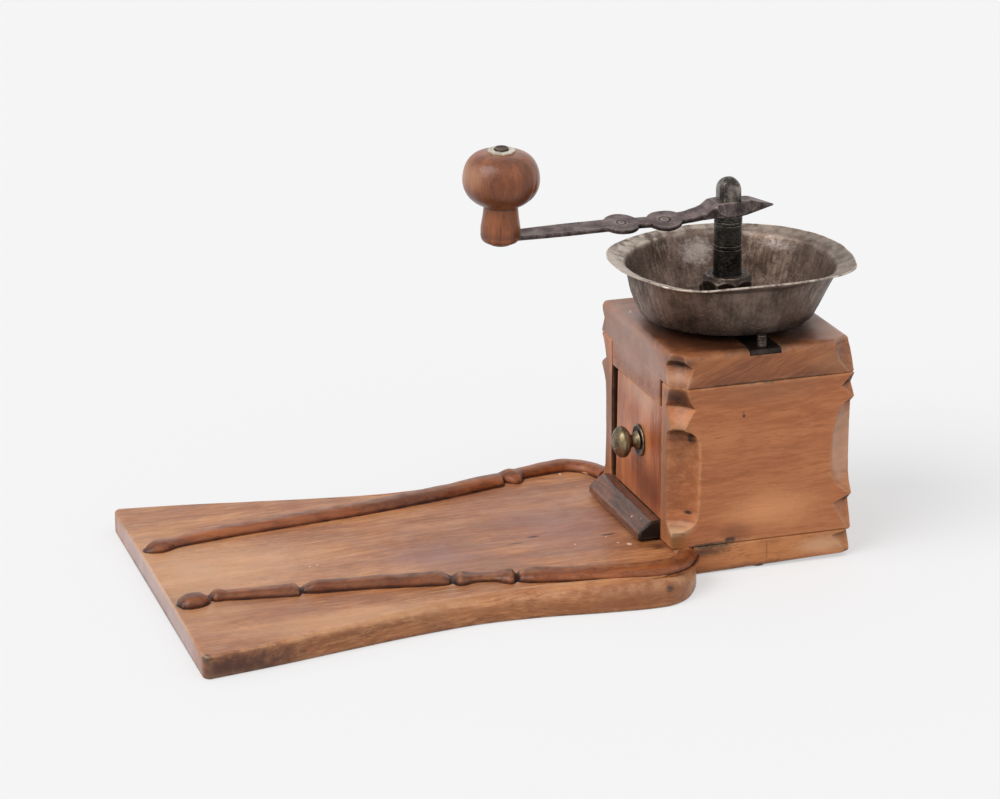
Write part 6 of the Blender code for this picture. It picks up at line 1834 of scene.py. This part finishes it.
@dataclass(frozen=True)
class Bearing:
    """The eight-sided boss that the shaft turns in, on two flat arms."""

    corner: float = 0.0156
    bore: float = 0.0088
    bottom: float = 0.1423
    top: float = 0.1614
    chamfer: float = 0.0022
    sides: int = 8
    arm_half: float = 0.005
    arm_reach: float = 0.0335
    arm_top: float = 0.1463

    def make(self, finish: Material) -> None:
        """Build the boss as the least of a prism and a cone, and its arms as a rounded bar."""
        steps = 240
        swing = np.linspace(0, 2 * math.pi, steps, endpoint=False)
        part = 2 * math.pi / self.sides
        off = (swing + part / 2) % part - part / 2
        off = np.where(np.abs(off) < 1e-9, 0, off)
        prism = self.corner * math.cos(part / 2) / np.cos(part / 2 - np.abs(off))
        prism = np.minimum(prism, self.corner * 0.985)
        crown = np.linspace(0, 1, 9)
        level = np.concatenate([[self.bottom, self.bottom + 0.0008],
                                np.linspace(self.bottom + 0.003, self.top - 0.006, 6),
                                self.top - self.chamfer * 2 + self.chamfer * 2 * crown])
        cone = self.corner + 0.0004 - np.maximum(level - (self.top - self.chamfer * 2), 0) * 0.72
        radius = np.minimum(prism[None], cone[:, None])
        rows = [turned_grid(radius, level, steps)]
        for share in (0.25, 0.6, 0.9, 1.0):
            inside = radius[-1] * (1 - share) + self.bore * share
            rows.append(turned_grid(inside[None], np.array([self.top + 0.0001 * (1 - share)]), steps))
        rows.append(turned_grid(np.array([self.bore]), np.array([self.bottom]), steps))
        rows.append(rows[0][:1])
        grid = np.concatenate(rows)
        skin = Skin()
        skin.sheet(grid, around=True)
        plan = rounded_outline(rectangle(self.arm_half, self.arm_reach), [0.003] * 4, 6, 0.002)
        rows = ((self.bottom, 1.0), (self.arm_top - 0.0006, 1.0), (self.arm_top, 0.95))
        skin.tube(stacked(plan, rows), 3)
        add_piece(skin.mesh("bearing_boss"), finish, Body.MILL, ["bearing_bridge"],
                  sharp=28, passes=1)


@dataclass(frozen=True)
class Shaft:
    """The shaft: round and grooved in its bearing, squared and domed over the crank."""

    radius: float = 0.0083
    top_radius: float = 0.0077
    flat: float = 0.0065
    twist: float = math.radians(6)
    foot: float = 0.006
    seat: float = 0.1973
    top: float = 0.2195
    bottom: float = 0.0928
    grooves: tuple[float, ...] = (0.1771, 0.1795, 0.1917, 0.1937)
    groove_half: float = 0.0005
    groove_depth: float = 0.00022

    def make(self, finish: Material) -> None:
        """Turn the outline, and take the lesser of it and the four flats over the seat."""
        half = self.groove_half
        keys = [(self.bottom, self.foot), (0.1255, self.foot), (0.1345, self.radius)]
        keys += [(groove + off, self.radius - deep) for groove in self.grooves
                 for off, deep in ((-half, 0.0), (0.0, self.groove_depth), (half, 0.0))]
        keys += [(self.seat - 0.0006, self.radius), (self.seat, self.radius - 0.0006)]
        level = np.unique(np.concatenate([np.linspace(self.bottom, 0.174, 40),
                                          np.linspace(0.174, self.seat, 120)]))
        steps = 120
        lower = np.interp(level, [k[0] for k in keys], [k[1] for k in keys])
        swing = np.linspace(0, 2 * math.pi, steps, endpoint=False)
        rise = np.linspace(0, 1, 50)
        height = self.seat + 0.0002 + (self.top - self.seat - 0.0002) * np.sin(rise * math.pi / 2)
        cap = np.clip((self.top - height) / self.top_radius, 0, 1)
        cap = (self.top_radius * np.sqrt(np.maximum(1 - (1 - cap) ** 2, 0)))[:, None]
        off = swing + self.twist
        square = self.flat / np.maximum(np.abs(np.cos(off)), np.abs(np.sin(off)))
        square = np.minimum(square, self.top_radius)[None]
        upper = np.minimum(square, np.maximum(cap, 1e-5) * (0.25 + 0.75 * square / self.top_radius))
        grid = np.concatenate([turned_grid(lower, level, steps), turned_grid(upper, height, steps)])
        grid[..., :2] *= (1 + ripple(grid, 0.008, 81) * 0.005)[..., None]
        over = smooth_step(self.seat + 0.005, self.seat + 0.009, grid[..., 2])
        crack = hump(np.degrees(swing)[None], 224, 3) * over * smooth_step(0.2165, 0.214, grid[..., 2])
        skin = Skin()
        skin.tube(grid, 3, crack * 0.9 - over * 0.75)
        add_piece(skin.mesh("shaft_turned"), finish, Body.CRANK, ["drive_shaft"],
                  sharp=45, passes=1)


@dataclass(frozen=True)
class Crank:
    """The forged crank: a flat bar with two punched discs, a thick eye and a beak."""

    seat: float = 0.1976
    length: float = 0.1391
    thickness: float = 0.0028
    disc: float = 0.0107
    disc_shares: tuple[float, float] = (0.476, 0.284)
    head_half: float = 0.0118
    head_height: float = 0.0084
    beak: float = 0.0279
    bar_half: float = 0.0056
    end_radius: float = 0.0062
    eye_half: float = 0.0066
    eye_turn: float = -math.radians(6)
    roll: float = math.radians(12)
    knob_lean: float = math.radians(3)

    def half_width(self, x: Array) -> Array:
        """Half the bar's width at x: the widest of bar, discs, eye and beak."""
        outer, inner = (-self.length * share for share in self.disc_shares)
        at = (-145.3, -139.1, outer / MM, outer / MM + 0.1, inner / MM, inner / MM + 0.1)
        width = np.interp(x / MM, at, (6.2, 6.2, 5.6, 4.9, 4.9, 5.6)) * MM
        past = np.clip(-self.length - x, 0, self.end_radius)
        end = np.sqrt(np.maximum(self.end_radius ** 2 - past ** 2, 1e-9))
        width = np.where(x < -self.length, end, width)
        eye = self.bar_half + (self.head_half - self.bar_half) * np.interp(
            x / self.head_half, (-2.2, -1.6, -1.0, -0.5, 0.0), (0, 0.1, 0.55, 0.95, 1.0))
        width = np.where(x > inner, np.maximum(width, eye), width)
        share = np.interp(x / self.beak, (0, 0.3, 0.6, 0.88, 1.0), (1.0, 0.82, 0.48, 0.16, 0.0))
        width = np.where(x > 0, 0.0006 + (self.head_half - 0.0006) * share, width)
        for centre in (outer, inner):
            off = np.abs(x - centre)
            width = np.maximum(width, np.sqrt(np.maximum(self.disc ** 2 - off ** 2, 0)))
        return width

    def levels(self, x: Array) -> tuple[Array, Array]:
        """The underside and the top at x."""
        outer, inner = (-self.length * share for share in self.disc_shares)
        drop = np.interp(x, (-self.length, outer, inner, -self.head_half), (2.9, 2.0, 2.7, 0.0)) * MM
        lift = self.head_height * 0.28 * np.clip(x / self.beak, 0, 1)
        bottom = self.seat - drop + lift
        rise = (self.head_height - self.thickness) * np.interp(
            x / self.head_half, (-2.2, -1.3, -0.75, -0.4, 0.0), (0, 0.3, 0.92, 1.0, 1.0))
        top = self.seat - drop + self.thickness + rise
        beak = self.head_height * np.interp(x / self.beak, (0, 0.45, 1.0), (1.0, 0.98, 0.4))
        return bottom, np.where(x > 0, self.seat + beak, top)

    def make(self, finish: Material) -> None:
        """Carry the bar's section along X: eight-sided with rounded corners, then rolled."""
        end = self.end_radius * np.cos(np.linspace(0, math.pi / 2, 9)[:-1])
        edge = np.concatenate([-self.length - end,
                               np.arange(-self.length, self.beak, 0.0005), [self.beak]])
        x = np.clip(edge, -self.length - 0.00615, self.beak)
        half = self.half_width(x)
        low, high = self.levels(x)
        cut = np.interp(x / MM, (-10.4, -8.8, -5.0, 9.0, 12.5, 15.0),
                        (0.6, 2.8, 4.3, 4.4, 3.2, 0.6)) * MM
        fall = np.interp(x / MM, (-10.4, -8.8, -5.0, 11.5, 13.5, 16.0),
                         (0.1, 0.6, 0.86, 0.86, 0.7, 0.35))
        across = np.minimum(cut, half * 0.52)
        down = np.minimum(np.maximum((high - low) * fall, 0.0006), (high - low) * 0.86)
        under = np.minimum(0.0006, half * 0.45)
        top_share = np.linspace(-1, 1, 48)
        top_y = (half - across)[:, None] * top_share
        top_z = np.broadcast_to(high[:, None], top_y.shape)
        bevel = np.linspace(0, 1, 9)[1:]
        right_y = (half - across)[:, None] + across[:, None] * bevel
        right_z = high[:, None] - down[:, None] * bevel
        wall = np.linspace(0, 1, 6)[1:]
        wall_y = np.broadcast_to(half[:, None], (len(x), len(wall)))
        wall_z = (high - down)[:, None] * (1 - wall) + (low + under)[:, None] * wall
        foot_y = (half - under)[:, None]
        foot_z = low[:, None]
        bottom_y = (half - under)[:, None] * np.linspace(1, -1, 16)[1:-1]
        bottom_z = np.broadcast_to(low[:, None], bottom_y.shape)
        y = np.concatenate([top_y, right_y, wall_y, foot_y, bottom_y, -foot_y, -wall_y[:, ::-1],
                            -right_y[:, ::-1]], axis=1)
        z = np.concatenate([top_z, right_z, wall_z, foot_z, bottom_z, foot_z, wall_z[:, ::-1],
                            right_z[:, ::-1]], axis=1)
        # The bevels, side walls and underside are darker than the top: painted shade, with some soiling.
        dirt = np.concatenate([np.zeros(48), np.full(8, 0.7), np.full(5, 0.85), np.ones(16),
                               np.full(5, 0.85), np.full(8, 0.7)])
        punched = self.marks(x[:, None], y) * (z > high[:, None] - 1e-6)
        # Darker towards the knob's end, and a little at the eye.
        darker_ends = smooth_step(-0.131, -0.136, x) * 0.8 + smooth_step(-0.016, -0.01, x) * 0.15
        mark = np.clip(dirt[None] + punched / MM * 1.3 + darker_ends[:, None], 0, 1)
        z = z - punched
        outer = -self.length * self.disc_shares[0]
        at = (-self.length, (outer - self.length) / 2, -self.head_half * 2, -self.head_half)
        roll = np.interp(x, at, (self.knob_lean, self.roll, self.roll, 0.0))[:, None]
        middle = ((low + low + self.thickness) / 2)[:, None]
        grid = np.empty((*y.shape, 3))
        grid[..., 0] = x[:, None]
        grid[..., 1] = y * np.cos(roll) - (z - middle) * np.sin(roll)
        grid[..., 2] = middle + y * np.sin(roll) + (z - middle) * np.cos(roll)
        forged = ripple(grid, 0.012, 91) * 0.14 + ripple(grid, 0.004, 92) * 0.05
        grid[..., 1] += forged * np.sign(y) * MM * 0.7
        skin = Skin()
        skin.tube(grid, 3, mark)
        plan = rounded_outline(rectangle(self.eye_half, self.eye_half), [0.003] * 4, 6, 0.002)
        hole = Skin()
        hole.tube(stacked(plan, ((0.19, 1.0), (0.22, 1.0))), 3)
        eye = hole.mesh("crank_eye")
        eye.transform(Matrix.Rotation(self.eye_turn, 4, "Z"))
        mesh = cut_from(skin.mesh("crank_forged"), [eye])
        add_piece(mesh, finish, Body.CRANK, ["crank_arm"], sharp=30, passes=1)

    def marks(self, x: Array, y: Array) -> Array:
        """The depth of the rings punched in the two discs, each a shallow round groove."""
        depth = np.zeros(np.broadcast(x, y).shape)
        for share, size in zip(self.disc_shares, (0.0026, 0.0032)):
            far = np.hypot(x + self.length * share, y)
            depth += hump(far, size, 0.0006) * 0.0005
        return depth


@dataclass(frozen=True)
class WoodenKnob:
    """The turned knob with its washer and rivet, leaning with the crank's end."""

    axis_x: float = -0.1391
    seat: float = 0.1975
    lean: float = math.radians(3)
    ball: float = 0.022
    ball_half: float = 0.01625
    join: float = 0.0166

    def placed(self, grid: Array) -> Array:
        """Lean a shape made on Z about X, and stand it on the crank's end."""
        y, z = grid[..., 1], grid[..., 2]
        made = np.empty_like(grid)
        made[..., 0] = grid[..., 0] + self.axis_x
        made[..., 1] = y * math.cos(self.lean) - z * math.sin(self.lean)
        made[..., 2] = self.seat + y * math.sin(self.lean) + z * math.cos(self.lean)
        return made

    def make(self, wood: Material, washer: Material, steel: Material) -> None:
        """Build the knob, its washer and its riveted spindle."""
        keys = ((0, 3.3, 0.2), (1, 8.5, 0.2), (2, 11.2, 0.2), (3, 11.35, 0.5), (4, 11.4, 3.4),
                (5, 11.0, 7.0), (6, 10.4, 11.0), (7, 9.95, 15.0), (8, 9.9, 16.6), (9, 10.2, 17.9))
        foot = smooth_curve(keys, np.linspace(0, 9, 80)) * MM
        s = np.linspace(0.86 * math.pi, 0.1 * math.pi, 90)
        full = np.where(s < math.pi / 2, 0.5, 0.8)
        ball = np.stack([self.ball * np.sin(s) ** full,
                         self.join + self.ball_half * (1 + np.cos(s))], axis=-1)
        crown = np.array([(7.4, 49.1), (3.3, 49.1)]) * MM
        run = np.concatenate([foot, ball, crown])
        swing = np.linspace(0, 2 * math.pi, 144, endpoint=False)
        grid = turned_grid(run[:, 0], run[:, 1], 144)
        level = run[:, 1:2] / MM
        around = np.degrees(swing)[None]
        chip = hump(around, 318, 7) * hump(level, 24.0, 3.0)
        crack = hump(around, 313 + (level - 30) * 0.8, 2.2) * hump(level, 31, 7)
        grid[..., :2] *= (1 - (chip * 0.9 + crack * 0.4)[..., None] * MM / 0.02)
        grid[..., :2] *= (1 + ripple(grid, 0.03, 101) * 0.004)[..., None]
        darkening = smooth_step(5.0, 0.4, level) * 0.3 + hump(level, 17.6, 0.7) * 0.8
        mark = chip * 0.9 + crack * 0.6 + darkening
        skin = Skin()
        skin.sheet(grid, around=True, mark=np.clip(mark, 0, 1))
        skin.sheet(np.stack([grid[-1], grid[0]]), around=True)
        self.dress(skin, "knob_turned", wood, ["wooden_knob"])
        rows = ((49.2, 1.0), (50.2, 1.0), (50.4, 0.93), (50.45, 0.72), (50.4, 0.6), (49.2, 0.58),
                (49.2, 1.0))
        skin = Skin()
        skin.sheet(stacked(self.octagon(8.0), rows) * MM, around=True)
        self.dress(skin, "washer_plate", washer, ["knob_washer"])
        keys = ((0, 0.0, 52.2), (1, 2.4, 52.15), (2, 3.6, 51.8), (3, 3.9, 51.2), (4, 3.9, 50.0),
                (5, 3.0, 49.8), (6, 3.0, -4.3), (7, 6.6, -4.3), (8, 6.6, -4.9), (9, 6.0, -5.5),
                (10, 4.0, -5.8), (11, 0.0, -5.8))
        at = np.unique(np.concatenate([np.linspace(0, 4, 24), np.linspace(4, 7, 13),
                                       np.linspace(7, 11, 20)]))
        table = np.asarray(keys, float)
        run = np.stack([np.interp(at, table[:, 0], table[:, i]) for i in (1, 2)], axis=-1) * MM
        skin = Skin()
        low_down = smooth_step(51.6, 50.4, run[:, 1:] / MM) * 0.9
        skin.sheet(turned_grid(run[:, 0], run[:, 1], 48), around=True, mark=low_down)
        self.dress(skin, "spindle_riveted", steel, ["knob_spindle"])

    def make_collar(self, wood: Material) -> None:
        """The turned collar that hides the crank's end, cut where the crank comes out."""
        keys = ((0, 3.3, 0.1), (1, 11.3, 0.1), (2, 11.3, -0.6), (3, 11.1, -1.8), (4, 10.3, -3.1),
                (5, 8.8, -4.0), (6, 7.0, -4.2), (7, 3.3, -4.2), (8, 3.3, 0.1))
        run = smooth_curve(keys[1:7], np.linspace(1, 6, 30))
        run = np.concatenate([[keys[0][1:]], run, [keys[7][1:], keys[8][1:]]]) * MM
        skin = Skin()
        skin.sheet(turned_grid(run[:, 0], run[:, 1], 72), around=True,
                   mark=smooth_step(-2.0, -3.8, run[:, 1:] / MM) * 0.9)
        skin.points = [self.placed(points) for points in skin.points]
        slot = box_mesh("crank_slot", (-0.0066, -0.0066, -0.0031), (0.02, 0.0066, 0.004))
        lean = Matrix.Rotation(self.lean, 4, "X")
        slot.transform(Matrix.Translation((self.axis_x, 0, self.seat)) @ lean)
        add_piece(cut_from(skin.mesh("knob_collar"), [slot]), wood, Body.CRANK,
                  sharp=38, passes=1)

    def octagon(self, size: float) -> Array:
        """A plan with eight uneven sides, as a washer cut by hand has."""
        swing = np.linspace(0, 2 * math.pi, 96, endpoint=False)
        part = math.pi / 4
        off = np.abs((swing + 0.2) % part - part / 2)
        reach = size * math.cos(part / 2) / np.cos(off) * (1 + 0.015 * np.sin(swing * 3 + 1))
        reach = np.minimum(reach, size)
        return np.stack([np.cos(swing) * reach, np.sin(swing) * reach], axis=-1)

    def dress(self, skin: Skin, name: str, finish: Material,
              stands_for: Sequence[str]) -> None:
        """Lean a skin into place and add it as a piece."""
        skin.points = [self.placed(points) for points in skin.points]
        add_piece(skin.mesh(name), finish, Body.KNOB, stands_for, sharp=38, passes=1)


@dataclass(frozen=True)
class Studs:
    """The threaded studs at the plate's ends and the domed studs underneath."""

    radius: float = 0.0027
    pitch: float = 0.0009
    low: float = 0.1002
    high: float = 0.1397
    offset: float = 0.0544
    foot_at: tuple[float, float] = (-0.0013, 0.0554)

    def make_plate_stud(self, side: str, finish: Material) -> None:
        """A stud whose radius falls and rises once for each pitch and turn: a screw thread."""
        sign = -1 if side == "near" else 1
        steps = 32
        level = np.concatenate([np.linspace(self.low, 0.1325, 6),
                                np.arange(0.1328, self.high - 0.0004, 0.00011),
                                [self.high - 0.0003, self.high]])
        swing = np.linspace(0, 1, steps, endpoint=False)
        turn = (level[:, None] / self.pitch - swing) % 1.0
        groove = 0.00042 * (1 - np.abs(turn * 2 - 1)) * (level > 0.1326)[:, None]
        radius = self.radius - groove
        radius[-1] = self.radius - 0.0006
        skin = Skin()
        skin.tube(turned_grid(radius, level, steps, (0, sign * self.offset)), 2)
        add_piece(skin.mesh(f"{side}_threaded_stud"), finish, Body.MILL,
                  [f"{side}_plate_stud"], sharp=60, passes=0)

    def make_foot_stud(self, side: str, finish: Material) -> None:
        """A low domed head under the base, on a stem let into it."""
        sign = -1 if side == "near" else 1
        keys = ((0, 0.6, 0.1), (1, 3.6, 0.15), (2, 5.0, 0.45), (3, 5.6, 1.0), (4, 5.6, 1.6),
                (5, 5.2, 2.0), (6, 4.4, 2.05), (7, 3.9, 2.3), (8, 3.9, 8.0))
        outline = smooth_curve(keys, np.linspace(0, 8, 49)) * MM
        skin = Skin()
        place = self.foot_at[0], sign * self.foot_at[1]
        skin.tube(turned_grid(outline[:, 0], outline[:, 1], 48, place), 3)
        add_piece(skin.mesh(f"{side}_domed_foot"), finish, Body.MILL,
                  [f"{side}_foot_stud"], sharp=50, passes=1)


def dress_cad_nodes(finishes: dict[str, Material]) -> None:
    """Give each CAD node that still shows its procedural finish."""
    chosen = {
        "near_runner": "sill", "far_runner": "sill", "drawer_near_side": "plain",
        "drawer_far_side": "plain", "drawer_back": "plain", "drawer_bottom": "plain",
        "burr_housing": "black", "inner_burr": "black", "mounting_plate": "black",
        "lower_bridge": "forged",
    }
    for name, node in FRAME["nodes"].items():
        if node.hide_render:
            continue
        finish = finishes[chosen.get(name, "steel")]
        node.data.materials.clear()
        node.data.materials.append(finish)
        LOG.info("%s keeps its CAD shape in %s", name, finish.name)


def make_finishes() -> dict[str, Material]:
    """Build every finish's material, by the finish's name."""
    finishes = Finishes()
    return {label: getattr(finishes, label).make() for label in Finishes.__dataclass_fields__}


def main() -> None:
    """Build the studio and dress the grinder, sub-assembly by sub-assembly."""
    logging.basicConfig(level=logging.INFO, format="%(name)s: %(message)s")
    Studio().make()
    finish = make_finishes()
    board = SeatBoard()
    board.make(finish["board"])
    for bead in (NEAR_BEAD, FAR_BEAD):
        bead.make(board, finish["bead"])
    box = Box()
    box.make_sides(finish["side"])
    box.make_base(finish["base"])
    box.make_head(finish["head"])
    box.make_back(finish["side"])
    Sill().make(finish["sill"])
    drawer = Drawer()
    drawer.make_front(finish["drawer"])
    drawer.make_rose(finish["rose"])
    drawer.make_knob(finish["brass"])
    Hopper().make(finish["tin"])
    Bearing().make(finish["bearing"])
    Shaft().make(finish["shaft"])
    Crank().make(finish["forged"])
    knob = WoodenKnob()
    knob.make(finish["knob"], finish["washer"], finish["rusty"])
    knob.make_collar(finish["knob"])
    for side in ("near", "far"):
        Studs().make_plate_stud(side, finish["bearing"])
        Studs().make_foot_stud(side, finish["rusty"])
    dress_cad_nodes(finish)


if __name__ == "__main__":
    main()
